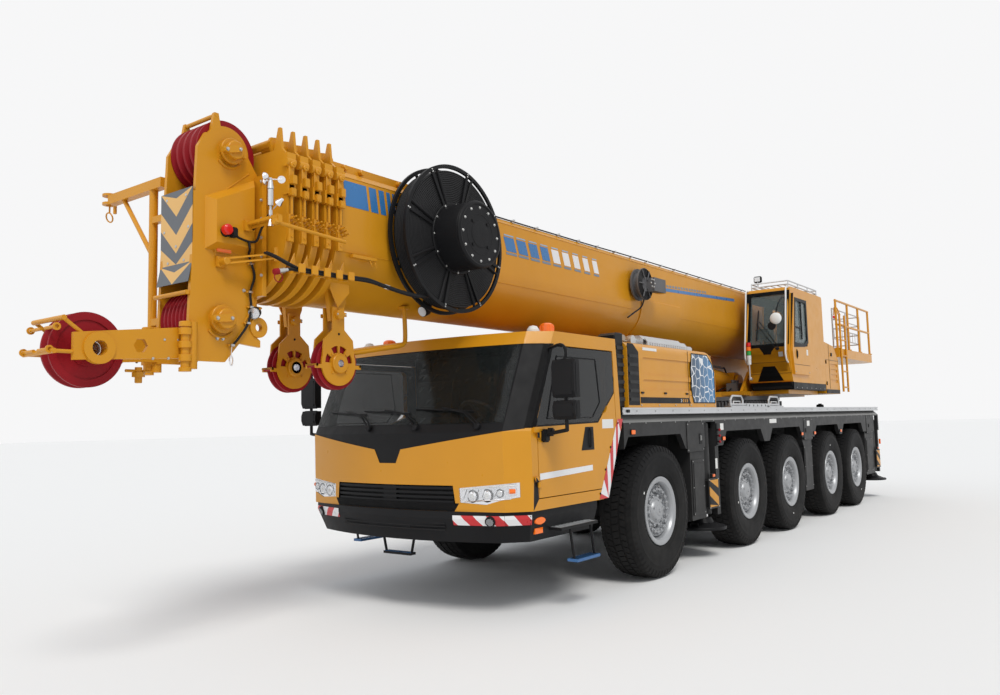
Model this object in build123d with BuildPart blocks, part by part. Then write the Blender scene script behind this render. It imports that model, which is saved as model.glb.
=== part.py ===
"""Five-axle mobile crane: carrier, driver's cab, slewing turntable and six-section telescopic boom.

Millimetres, +X forward, +Y to the crane's left, +Z up. The origin is on the ground, at the middle of
the crane's length and width.
"""

import os
from math import cos, pi, sin

from build123d import *

os.makedirs("parts", exist_ok=True)

# ---------------------------------------------------------------- driving dimensions
front_reach = 5610  # front axle to the tip of the nose sheave's rope guard
axle_spacing = (2530, 1670, 2065, 1600)
rear_overhang = 2015  # last axle to the back of the rear outrigger box
body_width = 2750  # over the tyres
tyre_radius = 683
tyre_width = 385
boom_half_width = 480
boom_height = 1040
section_step = 46  # each section is this much smaller on every side
fit_gap = 0.3  # seat of a fit: pin, slide, bearing

rear_reach = sum(axle_spacing) + rear_overhang
axle_1 = (front_reach + rear_reach) / 2 - front_reach
axles = [axle_1]
for spacing in axle_spacing:
    axles.append(axles[-1] - spacing)

# levels
frame_bottom = tyre_radius + 317
frame_top = frame_bottom + 500
deck_bottom = frame_top + 180
deck_top = deck_bottom + 70
ring_top = deck_top + 190
turret_floor = ring_top + 80  # top of the turntable's base plate
boom_bottom = turret_floor + 600
boom_top = boom_bottom + boom_height
boom_middle = boom_bottom + boom_half_width  # centre of the round lower half
pivot_z = boom_bottom + 430
body_top = boom_bottom - 200  # top of the driver's cab and of the engine hood

# widths, from the centre plane
deck_half = body_width / 2 - 45
wheel_y = (body_width - tyre_width) / 2  # middle of the tyre
frame_half = 480
cheek_inner = boom_half_width + 45
cheek_outer = cheek_inner + 45

# places along the crane
slew_x = axles[3] + 1015
pivot_x = slew_x - 1850
boom_back = pivot_x - 500
tail_rear = axle_1 - rear_reach + 60
head_front = axle_1 + front_reach - 890
boom_front = head_front - 1070

sides = (("left", 1), ("right", -1))


# ---------------------------------------------------------------- shapes used again and again
def span(side, low, high):
    """A stretch of y on one side of the crane: side is 1 on the left and -1 on the right."""
    return sorted((side * low, side * high))


def moved(points, x, z):
    """Points of an outline, measured from a place on the crane."""
    return [(x + across_x, z + up) for across_x, up in points]


def mirrored(points):
    """A closed outline from its left half."""
    return list(points) + [(-y, z) for y, z in reversed(points)]


def block(x, y, z, mode=Mode.ADD):
    """A box between two values on each axis."""
    middle = [(pair[0] + pair[1]) / 2 for pair in (x, y, z)]
    with Locations(Location(middle)):
        Box(x[1] - x[0], y[1] - y[0], z[1] - z[0], mode=mode)


def side_plate(points, y, mode=Mode.ADD, grow=0, corner=0):
    """A plate drawn in side view: its (x, z) outline, filled between two values of y."""
    with BuildSketch(Plane.XZ.offset(-y[1])) as outline:
        Polygon(*points, align=None)
        if grow:
            offset(amount=grow, kind=Kind.INTERSECTION)
        if corner:
            fillet(outline.vertices(), radius=corner)
    extrude(outline.sketch, amount=y[1] - y[0], mode=mode)


def front_plate(points, x, mode=Mode.ADD, grow=0):
    """A plate drawn in front view: its (y, z) outline, filled between two values of x."""
    with BuildSketch(Plane.YZ.offset(x[0])) as outline:
        Polygon(*points, align=None)
        if grow:
            offset(amount=grow, kind=Kind.INTERSECTION)
    extrude(outline.sketch, amount=x[1] - x[0], mode=mode)


def rod(start, end, radius, mode=Mode.ADD):
    """A round bar from one point to another."""
    axis = Vector(*end) - Vector(*start)
    with BuildSketch(Plane(origin=start, z_dir=axis)) as outline:
        Circle(radius)
    extrude(outline.sketch, amount=axis.length, mode=mode)


def disc(x, z, radius, y, mode=Mode.ADD):
    """A round disc whose axis runs across the crane."""
    rod((x, y[0], z), (x, y[1], z), radius, mode)


def across(points, x, z, mode=Mode.ADD):
    """A solid of revolution about an axis across the crane, from its (y, radius) outline."""
    with BuildSketch(Plane(origin=(x, 0, z), x_dir=(0, 1, 0), z_dir=(1, 0, 0))) as outline:
        Polygon(*points, align=None)
    revolve(outline.sketch, axis=Axis((x, 0, z), (0, 1, 0)), mode=mode)


def upright(points, x, y, mode=Mode.ADD):
    """A solid of revolution about an upright axis, from its (radius, z) outline."""
    with BuildSketch(Plane(origin=(x, y, 0), x_dir=(1, 0, 0), z_dir=(0, -1, 0))) as outline:
        Polygon(*points, align=None)
    revolve(outline.sketch, axis=Axis((x, y, 0), (0, 0, 1)), mode=mode)


def save(part, name):
    """Names a finished piece and writes it."""
    part.label = name
    export_step(part, "parts/" + name + ".step")


# ---------------------------------------------------------------- carrier frame and outrigger boxes
cab_bottom = frame_bottom - 100
box_bottom = frame_bottom - 450
box_height = 500
box_end = deck_half - 280  # half length of the outrigger box
beam_width = 240
beam_height = 300
beam_wall = 30
beam_bottom = box_bottom + 45
beam_stow = deck_half  # outer end of a stowed beam
beam_length = beam_stow + box_end - 10
channel_pitch = 290
channel_gap = 6
front_box = (axle_1 - 1580, axle_1 - 980)
rear_box = (axle_1 - rear_reach, axle_1 - rear_reach + 880)
girder_rear = rear_box[0] + 200
girder_front = axle_1 + 650
nose_front = axle_1 + 2150  # low part of the frame under the cab
nose_bottom = frame_bottom - 350
nose_top = cab_bottom - fit_gap
flange = 30
web_half = frame_half - 25
ring_radius = 850
engine_x = (axle_1 - 900, axle_1 + 430)
engine_half = 400
engine_z = (frame_bottom + 40, body_top - 170)
well_gap = 20

front_mid = (front_box[0] + front_box[1]) / 2
rear_mid = (rear_box[0] + rear_box[1]) / 2
outriggers = [
    # name, middle of its channel, side it slides out to
    ("front_left", front_mid - channel_pitch / 2, 1),
    ("front_right", front_mid + channel_pitch / 2, -1),
    ("rear_left", rear_mid - channel_pitch / 2, 1),
    ("rear_right", rear_mid + channel_pitch / 2, -1),
]

with BuildPart() as carrier_frame:
    # box girder with a flange above and below
    girder = [
        (frame_half, frame_bottom),
        (frame_half, frame_bottom + flange),
        (web_half, frame_bottom + flange),
        (web_half, frame_top - flange),
        (frame_half, frame_top - flange),
        (frame_half, frame_top),
    ]
    front_plate(mirrored(girder), (girder_rear, girder_front))
    side_plate(
        [
            (girder_front - 10, frame_bottom),
            (girder_front + 200, nose_bottom),
            (nose_front, nose_bottom),
            (nose_front, nose_top),
            (girder_front + 60, nose_top),
            (girder_front - 10, frame_top - 50),
        ],
        (-web_half, web_half),
    )
    for box in (front_box, rear_box):
        block(box, (-box_end, box_end), (box_bottom, box_bottom + box_height))
    # pedestal under the slew ring
    pedestal_top = deck_top + 20
    pedestal = [
        (0, frame_top),
        (ring_radius - 40, frame_top),
        (ring_radius - 120, pedestal_top),
        (0, pedestal_top),
    ]
    upright(pedestal, slew_x, 0)
    # well for the engine
    block(
        (engine_x[0] - well_gap, engine_x[1] + well_gap),
        (-engine_half - well_gap, engine_half + well_gap),
        (engine_z[0], frame_top),
        Mode.SUBTRACT,
    )
    # channels the beams slide in
    for name, middle, side in outriggers:
        half = beam_width / 2 + channel_gap
        block(
            (middle - half, middle + half),
            (-box_end, box_end),
            (beam_bottom - fit_gap, beam_bottom + beam_height + channel_gap),
            Mode.SUBTRACT,
        )
save(carrier_frame.part, "carrier_frame")

sleeve_radius = 115
sleeve_top = frame_top + 60
sleeve_bottom = beam_bottom - 90
jack_y = beam_stow - 150
jack_radius = 70
jack_top = sleeve_top - 160
pad_radius = 270
pad_bottom = 330
end_plate = 15

for name, middle, side in outriggers:
    jack = side * jack_y
    beam_x = (middle - beam_width / 2, middle + beam_width / 2)
    beam_z = (beam_bottom, beam_bottom + beam_height)
    with BuildPart() as beam:
        block(beam_x, span(side, beam_stow - beam_length, beam_stow), beam_z)
        block(
            (beam_x[0] + beam_wall, beam_x[1] - beam_wall),
            span(side, beam_stow - beam_length + beam_wall, jack_y - sleeve_radius - beam_wall),
            (beam_z[0] + beam_wall, beam_z[1] - beam_wall),
            Mode.SUBTRACT,
        )
        # plate on the beam's end
        block(
            (beam_x[0] - 20, beam_x[1] + 20),
            span(side, beam_stow, beam_stow + end_plate),
            (beam_z[0] - 25, beam_z[1] + 25),
        )
        # sleeve of the vertical jack
        rod((middle, jack, sleeve_bottom), (middle, jack, sleeve_top), sleeve_radius)
        bore_radius = jack_radius + fit_gap
        rod((middle, jack, sleeve_bottom), (middle, jack, sleeve_top - 60), bore_radius, Mode.SUBTRACT)
    save(beam.part, "outrigger_beam_" + name)

    foot = [
        (0, pad_bottom),
        (pad_radius, pad_bottom),
        (pad_radius, pad_bottom + 30),
        (pad_radius * 0.5, pad_bottom + 75),
        (pad_radius * 0.4, pad_bottom + 130),
        (jack_radius, pad_bottom + 130),
        (jack_radius, jack_top),
        (0, jack_top),
    ]
    with BuildPart() as leg:
        upright(foot, middle, jack)
    save(leg.part, "outrigger_jack_" + name)

# ---------------------------------------------------------------- engine, axles, knuckles, wheels
with BuildPart() as engine_block:
    block(engine_x, (-engine_half, engine_half), engine_z)
save(engine_block.part, "engine_block")

kingpin_y = wheel_y - 282.5
kingpin_radius = 62
stub_radius = 70
stub_end = kingpin_y + 160
axle_end = kingpin_y - 200
fork_tip = kingpin_y + 62
fork_half = 70
fork_plate = 30
knuckle_height = 300
fork_low = tyre_radius - knuckle_height / 2
fork_high = tyre_radius + knuckle_height / 2
strut_y = 380
link_y = 300

# half of an axle: (y, radius), from the wheel to the differential
axle_half = [(0, 210), (170, 210), (250, 110), (axle_end, 80), (axle_end, 0)]

with BuildPart() as axle_set:
    for number, x in enumerate(axles):
        across([(-y, radius) for y, radius in reversed(axle_half)] + axle_half[1:], x, tyre_radius)
        for side in (-1, 1):
            # suspension strut up to the frame
            rod((x, side * strut_y, tyre_radius), (x, side * strut_y, frame_bottom - 130), 45)
            rod((x, side * strut_y, frame_bottom - 150), (x, side * strut_y, frame_bottom), 65)
            # link back to its bracket under the frame
            y = span(side, link_y - 35, link_y + 35)
            block((x - 700, x - 580), y, (frame_bottom - 160, frame_bottom))
            rod((x, side * link_y, tyre_radius), (x - 640, side * link_y, frame_bottom - 90), 32)
            if number == 2:
                rod((x, side * (axle_end - 30), tyre_radius), (x, side * stub_end, tyre_radius), 80)
            else:
                y = span(side, axle_end - 30, axle_end + 30)
                block((x - 90, x + 90), y, (fork_low - fork_plate, fork_high + fork_plate))
                for z in (fork_low - fork_plate, fork_high):
                    fork_y = span(side, axle_end, fork_tip)
                    block((x - fork_half, x + fork_half), fork_y, (z, z + fork_plate))
save(axle_set.part, "axles")

# steered hub: (distance out from the kingpin, radius)
brake_drum = [
    (110, 0),
    (110, 205),
    (122, 215),
    (148, 215),
    (148, stub_radius),
    (160, stub_radius),
    (160, 0),
]

for number, x in enumerate(axles):
    if number == 2:
        continue
    for side_name, side in sides:
        pin_y = side * kingpin_y
        with BuildPart() as knuckle:
            rod((x, pin_y, fork_low + fit_gap), (x, pin_y, fork_high - fit_gap), kingpin_radius)
            rod((x, pin_y, tyre_radius), (x, side * (kingpin_y + 115), tyre_radius), stub_radius)
            across([(side * (kingpin_y + out), radius) for out, radius in brake_drum], x, tyre_radius)
        save(knuckle.part, "knuckle_" + str(number + 1) + "_" + side_name)

rim_radius = 300
rim_lip = 350
rim_edge = tyre_width / 2 - 22
bead = tyre_width / 2 - 39
barrel = rim_radius - 12
hub_back = stub_end - wheel_y + fit_gap
# rim, disc and planetary hub: (distance out from the tyre's middle, radius)
rim_outline = [
    (rim_edge, rim_radius),
    (rim_edge, rim_lip),
    (rim_edge - 14, rim_lip),
    (rim_edge - 20, rim_radius),
    (-rim_edge + 20, rim_radius),
    (-rim_edge + 14, rim_lip),
    (-rim_edge, rim_lip),
    (-rim_edge, barrel),
    (92, barrel),
    (92, 235),
    (52, 200),
    (52, 100),
    (hub_back, 100),
    (hub_back, 0),
    (160, 0),
    (160, 60),
    (148, 118),
    (120, 150),
    (120, 165),
    (72, 165),
    (72, 200),
    (112, 235),
    (112, barrel),
    (rim_edge, barrel),
]

for number, x in enumerate(axles):
    for side_name, side in sides:
        with BuildPart() as wheel:
            across([(side * (wheel_y + out), radius) for out, radius in rim_outline], x, tyre_radius)
            with BuildSketch(
                Plane(origin=(x, side * wheel_y, tyre_radius), x_dir=(0, 1, 0), z_dir=(1, 0, 0))
            ) as tyre_section:
                with BuildLine() as edge:
                    tread = tyre_width / 2 - 28
                    foot = (bead, rim_lip + 3)
                    ThreePointArc((-tread, tyre_radius - 18), (0, tyre_radius), (tread, tyre_radius - 18))
                    ThreePointArc((tread, tyre_radius - 18), (tyre_width / 2, tyre_radius - 160), foot)
                    Line(foot, (bead - 6, rim_radius + fit_gap))
                    Line((bead - 6, rim_radius + fit_gap), (6 - bead, rim_radius + fit_gap))
                    Line((6 - bead, rim_radius + fit_gap), (-bead, rim_lip + 3))
                    ThreePointArc(
                        (-bead, rim_lip + 3), (-tyre_width / 2, tyre_radius - 160), (-tread, tyre_radius - 18)
                    )
                make_face(edge.edges())
            revolve(tyre_section.sketch, axis=Axis((x, 0, tyre_radius), (0, 1, 0)))
        save(wheel.part, "wheel_" + str(number + 1) + "_" + side_name)

# ---------------------------------------------------------------- deck, skirts, hood, exhaust
deck_front = axle_1 + 700
deck_rear = rear_box[0] + 60
deck_recess = 12
edge_width = 60

hood_front = axle_1 + 550
hood_rear = axle_1 - 1670
hood_top = body_top
hood_wall = 40
hood_half = deck_half - 10
hood_roof = 120

with BuildPart() as deck:
    # plates between two raised edge sections
    inner = deck_half - edge_width
    half_section = [
        (deck_half, deck_bottom),
        (deck_half, deck_top),
        (inner, deck_top),
        (inner, deck_top - deck_recess),
    ]
    front_plate(mirrored(half_section), (deck_rear, deck_front))
    rod((slew_x, 0, deck_bottom), (slew_x, 0, deck_top), ring_radius + 50, Mode.SUBTRACT)
    block(
        (hood_rear + 100, hood_front - 100),
        (-deck_half + 300, deck_half - 300),
        (deck_bottom, deck_top),
        Mode.SUBTRACT,
    )
save(deck.part, "deck")

skirt_wall = 60
skirt_bottom = frame_bottom + 290
skirt_chamfer = 80
fender_bottom = frame_top - 40
cabinet_depth = 220
arch_low = 835  # half width of a wheel opening at the bottom and at the top
arch_high = 600
arch_bend = frame_bottom + 150
middle_34 = (axles[2] + axles[3]) / 2
cabinet_bottom = pad_bottom + 150
cabinets = [
    # rear end, front end
    (front_box[0] - 110, front_box[1] + 110),
    (middle_34 - 190, middle_34 + 270),
    (deck_rear, axles[4] - arch_low - 60),
]

with BuildPart() as side_skirts:
    skirt_x = (deck_rear, deck_front - 10)
    inner = deck_half - skirt_wall
    for side_name, side in sides:
        # side panel, sloping in at the top under the deck's edge
        panel = [
            (inner, skirt_bottom),
            (deck_half, skirt_bottom),
            (deck_half, deck_bottom - skirt_chamfer),
            (deck_half - skirt_chamfer, deck_bottom),
            (inner - skirt_chamfer, deck_bottom),
            (inner, deck_bottom - skirt_chamfer),
        ]
        front_plate([(side * y, z) for y, z in panel], skirt_x)
        # fender plate that ties the panel to the frame
        block(skirt_x, span(side, frame_half, deck_half - skirt_wall / 2), (fender_bottom, frame_top))
        for cabinet in cabinets:
            y = span(side, inner - cabinet_depth, deck_half - 20)
            block(cabinet, y, (cabinet_bottom, fender_bottom + 10))
    for x in axles:
        opening = [
            (x - arch_low, 0),
            (x - arch_low, arch_bend),
            (x - arch_high, fender_bottom),
            (x + arch_high, fender_bottom),
            (x + arch_low, arch_bend),
            (x + arch_low, 0),
        ]
        side_plate(opening, (-deck_half - 10, deck_half + 10), Mode.SUBTRACT)
    # room for the beams and jacks
    for name, middle, side in outriggers:
        block(
            (middle - beam_width / 2 - 45, middle + beam_width / 2 + 45),
            span(side, frame_half, deck_half + 10),
            (pad_bottom, sleeve_top + 20),
            Mode.SUBTRACT,
        )
save(side_skirts.part, "side_skirts")

with BuildPart() as engine_hood:
    hood_outline = [
        (hood_front, deck_top),
        (hood_front, hood_top),
        (hood_rear + 160, hood_top),
        (hood_rear, hood_top - 260),
        (hood_rear, deck_top),
    ]
    side_plate(hood_outline, (-hood_half, hood_half))
    fillet(engine_hood.edges().filter_by(Axis.X).group_by(Axis.Z)[-1], 90)
    block(
        (hood_rear + hood_wall, hood_front - hood_wall),
        (-hood_half + hood_wall, hood_half - hood_wall),
        (deck_top, hood_top - hood_roof - 180),
        Mode.SUBTRACT,
    )
    block(
        (hood_rear + hood_wall + 160, hood_front - hood_wall),
        (-hood_half + hood_roof, hood_half - hood_roof),
        (deck_top, hood_top - hood_roof),
        Mode.SUBTRACT,
    )
    for side_name, side in sides:
        # pressed panels in the side
        for rear, front, low, high in (
            (hood_rear + 560, hood_front - 330, hood_top - 330, hood_top - 150),
            (hood_rear + 560, hood_front - 330, deck_top + 190, hood_top - 380),
            (hood_rear + 90, hood_rear + 500, deck_top + 60, hood_top - 300),
        ):
            corners = [(rear, low), (front, low), (front, high), (rear, high)]
            side_plate(corners, span(side, hood_half - 12, hood_half + 5), Mode.SUBTRACT, corner=35)
        # air intake louvres behind the cab
        for number in range(6):
            low = deck_top + 60 + 88 * number
            block(
                (hood_front - 250, hood_front - 70),
                span(side, hood_half - hood_wall - 5, hood_half + 5),
                (low, low + 56),
                Mode.SUBTRACT,
            )
save(engine_hood.part, "engine_hood")

exhaust_y = hood_half - 440
muffler_x = (hood_rear + 230, hood_rear + 1250)
muffler_z = (hood_top + fit_gap, hood_top + 150)
with BuildPart() as exhaust:
    block(muffler_x, (exhaust_y - 130, exhaust_y + 130), muffler_z)
    chamfer(exhaust.edges().filter_by(Axis.X).group_by(Axis.Z)[-1], 45)
    # bent tailpipe
    rod((muffler_x[1], exhaust_y, hood_top + 75), (muffler_x[1] + 90, exhaust_y, hood_top + 75), 60)
    bend = (muffler_x[1] + 90, exhaust_y, hood_top + 75)
    with BuildLine() as pipe:
        ThreePointArc(bend, (bend[0] + 85, bend[1] + 35, bend[2]), (bend[0] + 120, bend[1] + 120, bend[2]))
    with BuildSketch(Plane(origin=bend, z_dir=(1, 0, 0))) as mouth:
        Circle(60)
    sweep(mouth.sketch, path=pipe.edges()[0])
save(exhaust.part, "exhaust")

tooth_count = 96
tooth_depth = 34
with BuildPart() as slew_ring:
    rod((slew_x, 0, deck_top + 20), (slew_x, 0, ring_top - 60), ring_radius - tooth_depth)
    rod((slew_x, 0, ring_top - 60), (slew_x, 0, ring_top), ring_radius + 10)
    # gear teeth around the lower ring
    rim_points = []
    for tooth in range(tooth_count):
        for share, radius in ((-0.28, 0), (-0.14, tooth_depth), (0.14, tooth_depth), (0.28, 0)):
            turn = 2 * pi * (tooth + share) / tooth_count
            reach = ring_radius - tooth_depth + radius
            rim_points.append((slew_x + reach * cos(turn), reach * sin(turn)))
    with BuildSketch(Plane.XY.offset(deck_top + 20)) as gear:
        Polygon(*rim_points, align=None)
    extrude(gear.sketch, amount=ring_top - 60 - deck_top - 20)
save(slew_ring.part, "slew_ring")

# ---------------------------------------------------------------- driver's cab
cab_wall = 60
cab_half = deck_half
cab_corner = 170
cab_belt = cab_bottom + 660
cab_top = body_top
# height, then ahead of axle 1: front on the centre line, front at the corner, rear
cab_levels = [
    (cab_bottom, 2600, 2440, 1120),
    (cab_belt, 2620, 2450, 730),
    (cab_top, 2200, 2060, 800),
]


def cab_block(inset):
    """The cab's form, a loft of three levels, set in by the same amount on all sides."""
    with BuildPart() as form:
        for number, (z, front, corner, rear) in enumerate(cab_levels):
            height = z + (inset, 0, -inset)[number]
            half = cab_half - inset
            x_rear = axle_1 + rear + inset
            x_front = axle_1 + front - inset
            x_corner = axle_1 + corner - inset
            with BuildSketch(Plane.XY.offset(height)):
                with BuildLine():
                    Polyline(
                        (x_corner, half - cab_corner),
                        (x_corner - cab_corner, half),
                        (x_rear, half),
                        (x_rear, -half),
                        (x_corner - cab_corner, -half),
                        (x_corner, -half + cab_corner),
                    )
                    ThreePointArc((x_corner, -half + cab_corner), (x_front, 0), (x_corner, half - cab_corner))
                make_face()
        loft(ruled=True)
    return form.part


def front_skin(outline, outer, inner, grow=0):
    """A piece of the cab's front skin: its (y, z) outline, between two depths below the surface."""
    with BuildPart(mode=Mode.PRIVATE) as piece:
        front_plate(outline, (axle_1 + 1500, axle_1 + 2800), grow=grow)
        add(cab_block(outer), mode=Mode.INTERSECT)
        add(cab_block(inner), mode=Mode.SUBTRACT)
    return piece.part


door_points = moved(
    [
        (2180, cab_bottom + 100),
        (2180, cab_belt + 80),
        (1900, cab_top - 130),
        (870, cab_top - 130),
        (840, cab_belt),
        (1150, cab_bottom + 100),
    ],
    axle_1,
    0,
)
door_window = moved(
    [
        (2100, cab_belt + 80),
        (1860, cab_top - 190),
        (1010, cab_top - 190),
        (1000, cab_belt + 160),
        (1250, cab_belt + 80),
    ],
    axle_1,
    0,
)
# dark glazed band around the side window
window_band = moved(
    [
        (2200, cab_belt + 30),
        (2200, cab_top - 120),
        (860, cab_top - 120),
        (860, cab_belt + 330),
        (1180, cab_belt + 50),
    ],
    axle_1,
    0,
)
door_gap = 8
band_depth = 4
handle_pocket = moved([(1270, -150), (1290, -40), (1370, -20), (1390, -150)], axle_1, cab_belt)
windscreen = mirrored([(cab_half - 270, cab_belt + 80), (cab_half - 370, cab_top - 120)])
# dark surround of the windscreen, with its point down the middle
cowl = mirrored(
    [
        (100, cab_belt - 260),
        (160, cab_belt - 140),
        (cab_half - 40, cab_belt + 20),
        (cab_half - 40, cab_top - 110),
    ]
)
grille_depth = 40
grille = mirrored([(720, cab_bottom + 60), (700, cab_bottom + 215)])
headlamp = [
    (770, cab_bottom + 75),
    (1000, cab_bottom + 60),
    (1120, cab_bottom + 95),
    (1255, cab_bottom + 120),
    (1255, cab_bottom + 240),
    (760, cab_bottom + 195),
]
hinge_x = axle_1 + 2196
hinge_y = cab_half + 14
hinge_levels = (cab_bottom + 190, cab_belt - 60)
hinge_height = 45
hinge_pin = 7

with BuildPart() as cab_shell:
    add(cab_block(0))
    add(cab_block(cab_wall), mode=Mode.SUBTRACT)
    add(front_skin(cowl, -5, band_depth), mode=Mode.SUBTRACT)
    add(front_skin(grille, -5, grille_depth), mode=Mode.SUBTRACT)
    front_plate(windscreen, (axle_1 + 1900, axle_1 + 2700), Mode.SUBTRACT)
    for side_name, side in sides:
        lamp = [(side * y, z) for y, z in headlamp]
        add(front_skin(lamp, -5, grille_depth), mode=Mode.SUBTRACT)
        wall = span(side, cab_half - 2 * cab_wall, cab_half + 10)
        side_plate(door_points, wall, Mode.SUBTRACT, grow=door_gap)
        for z in hinge_levels:
            y = span(side, cab_half - 5, hinge_y + 6)
            block((hinge_x, hinge_x + 55), y, (z + hinge_height + fit_gap, z + 2 * hinge_height))
            rod((hinge_x, side * hinge_y, z), (hinge_x, side * hinge_y, z + 2 * hinge_height), hinge_pin)
save(cab_shell.part, "cab_shell")

mirror_x = axle_1 + 2130
mirror_y = cab_half + 260
for side_name, side in sides:
    with BuildPart() as door:
        outside = span(side, cab_half - band_depth, cab_half + 5)
        side_plate(door_points, span(side, cab_half - cab_wall, cab_half))
        side_plate(window_band, outside, Mode.SUBTRACT)
        side_plate(door_window, span(side, cab_half - cab_wall, cab_half), Mode.SUBTRACT, corner=60)
        side_plate(handle_pocket, span(side, cab_half - 30, cab_half + 5), Mode.SUBTRACT)
        # grip across the handle's pocket
        grip = (axle_1 + 1325, side * (cab_half - 12))
        rod((*grip, cab_belt - 155), (*grip, cab_belt - 15), 9)
        for z in hinge_levels:
            block((hinge_x - 45, hinge_x - 17), span(side, cab_half - 5, hinge_y), (z, z + hinge_height))
            block((hinge_x - 20, hinge_x), span(side, cab_half + 1, hinge_y), (z, z + hinge_height))
            rod((hinge_x, side * hinge_y, z), (hinge_x, side * hinge_y, z + hinge_height), 2 * hinge_pin)
            rod(
                (hinge_x, side * hinge_y, z - 5),
                (hinge_x, side * hinge_y, z + hinge_height + 5),
                hinge_pin + fit_gap,
                Mode.SUBTRACT,
            )
        # mirror arm, wide-angle mirror and main mirror
        foot_y = side * (cab_half - 10)
        rod((mirror_x - 30, foot_y, cab_belt - 40), (mirror_x, side * mirror_y, cab_belt), 16)
        rod((mirror_x, side * mirror_y, cab_belt - 10), (mirror_x, side * mirror_y, cab_belt + 600), 16)
        for low, high in ((cab_belt + 90, cab_belt + 240), (cab_belt + 270, cab_belt + 580)):
            case = [
                (mirror_x - 40, low),
                (mirror_x + 25, low),
                (mirror_x + 45, low + 50),
                (mirror_x + 45, high - 50),
                (mirror_x + 25, high),
                (mirror_x - 40, high),
            ]
            side_plate(case, span(side, mirror_y - 110, mirror_y + 110))
    save(door.part, "door_" + side_name)

with BuildPart() as cab_interior:
    floor = cab_bottom + cab_wall
    seat_top = floor + 480
    width = 1150 - fit_gap
    block((axle_1 + 1180, axle_1 + 2300), (-width, width), (floor + fit_gap, floor + 90))
    for y in (-650, 650):
        seat = [(1220, floor + 90), (1700, floor + 90), (1740, seat_top), (1240, seat_top)]
        back = [(1180, seat_top - 60), (1310, seat_top - 20), (1210, seat_top + 650), (1090, seat_top + 650)]
        for outline in (seat, back):
            side_plate(moved(outline, axle_1, 0), (y - 250, y + 250))
    # dashboard, steering column and wheel
    dash = [
        (2100, floor + 90),
        (2330, floor + 90),
        (2330, floor + 600),
        (2180, floor + 680),
        (2020, floor + 560),
    ]
    side_plate(moved(dash, axle_1, 0), (-1100, 1100))
    column = (axle_1 + 2200, 650, floor + 590)
    rod(column, (column[0] - 130, 650, column[2] + 130), 30)
    with BuildSketch(Plane(origin=(column[0] - 115, 650, column[2] + 115), z_dir=(-1, 0, 1))) as wheel_face:
        Circle(225)
        Circle(195, mode=Mode.SUBTRACT)
        Rectangle(400, 36)
    extrude(wheel_face.sketch, amount=26)
save(cab_interior.part, "cab_interior")

bumper_bottom = nose_bottom - 10
bumper_rear = axle_1 + 1200
bumper_bow = 190  # how far the middle stands ahead of the corners
grille_bars = 4
with BuildPart() as bumper:
    for height, tuck in ((bumper_bottom, 60), (cab_bottom - 60, 0)):
        with BuildSketch(Plane.XY.offset(height)):
            half = cab_half - 30 - tuck
            corner_x = axle_1 + 2440 - tuck
            with BuildLine():
                Polyline(
                    (corner_x, half - cab_corner),
                    (corner_x - cab_corner, half),
                    (bumper_rear, half),
                    (bumper_rear, -half),
                    (corner_x - cab_corner, -half),
                    (corner_x, -half + cab_corner),
                )
                middle = (corner_x + bumper_bow, 0)
                ThreePointArc((corner_x, -half + cab_corner), middle, (corner_x, half - cab_corner))
            make_face()
    loft(ruled=True)
    extrude(bumper.faces().sort_by(Axis.Z)[-1], amount=60)
    hollow = (bumper_rear - 100, nose_front + 20)
    block(hollow, (-1000, 1000), (bumper_bottom - 10, cab_bottom), Mode.SUBTRACT)
    # bars across the grille opening, following the front
    bar_pitch = 155 / grille_bars
    for number in range(grille_bars):
        low = cab_bottom + 66 + bar_pitch * number
        bar = mirrored([(698, low), (698, low + 0.55 * bar_pitch)])
        add(front_skin(bar, 6, grille_depth - fit_gap))
    post = mirrored([(80, cab_bottom + 62), (80, cab_bottom + 213)])
    add(front_skin(post, 14, grille_depth - fit_gap))
    for side_name, side in sides:
        # step below the door, with its hanging rung
        tread_y = span(side, cab_half - 140, cab_half + 60)
        block((axle_1 + 1350, axle_1 + 1950), tread_y, (bumper_bottom + 70, bumper_bottom + 95))
        rung_y = side * (cab_half + 20)
        for x in (1420, 1760):
            rod((axle_1 + x, rung_y, bumper_bottom + 80), (axle_1 + x - 60, rung_y, 430), 12)
        block((axle_1 + 1340, axle_1 + 1720), span(side, cab_half - 40, cab_half + 70), (415, 440))
    # rung hanging below the front
    for y in (-190, 190):
        rod((axle_1 + 2480, y, bumper_bottom + 20), (axle_1 + 2480, y * 0.8, 500), 12)
    block((axle_1 + 2440, axle_1 + 2510), (-165, 165), (490, 512))
save(bumper.part, "bumper")

with BuildPart() as lamps:
    for side_name, side in sides:
        lamp = [(side * y, z) for y, z in headlamp]
        add(front_skin(lamp, 4, grille_depth - fit_gap, grow=-fit_gap))
        beacon_top = cab_top + 125
        beacon = [
            (0, cab_top + fit_gap),
            (85, cab_top + fit_gap),
            (80, cab_top + 30),
            (68, cab_top + 34),
            (64, beacon_top - 15),
            (40, beacon_top),
            (0, beacon_top),
        ]
        upright(beacon, axle_1 + 1530, side * 1020)
        dome = [(0, fit_gap), (60, fit_gap), (58, 40), (36, 72), (0, 82)]
        upright(moved(dome, 0, cab_top), axle_1 + 1800, side * 1050)
save(lamps.part, "lamps")

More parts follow.
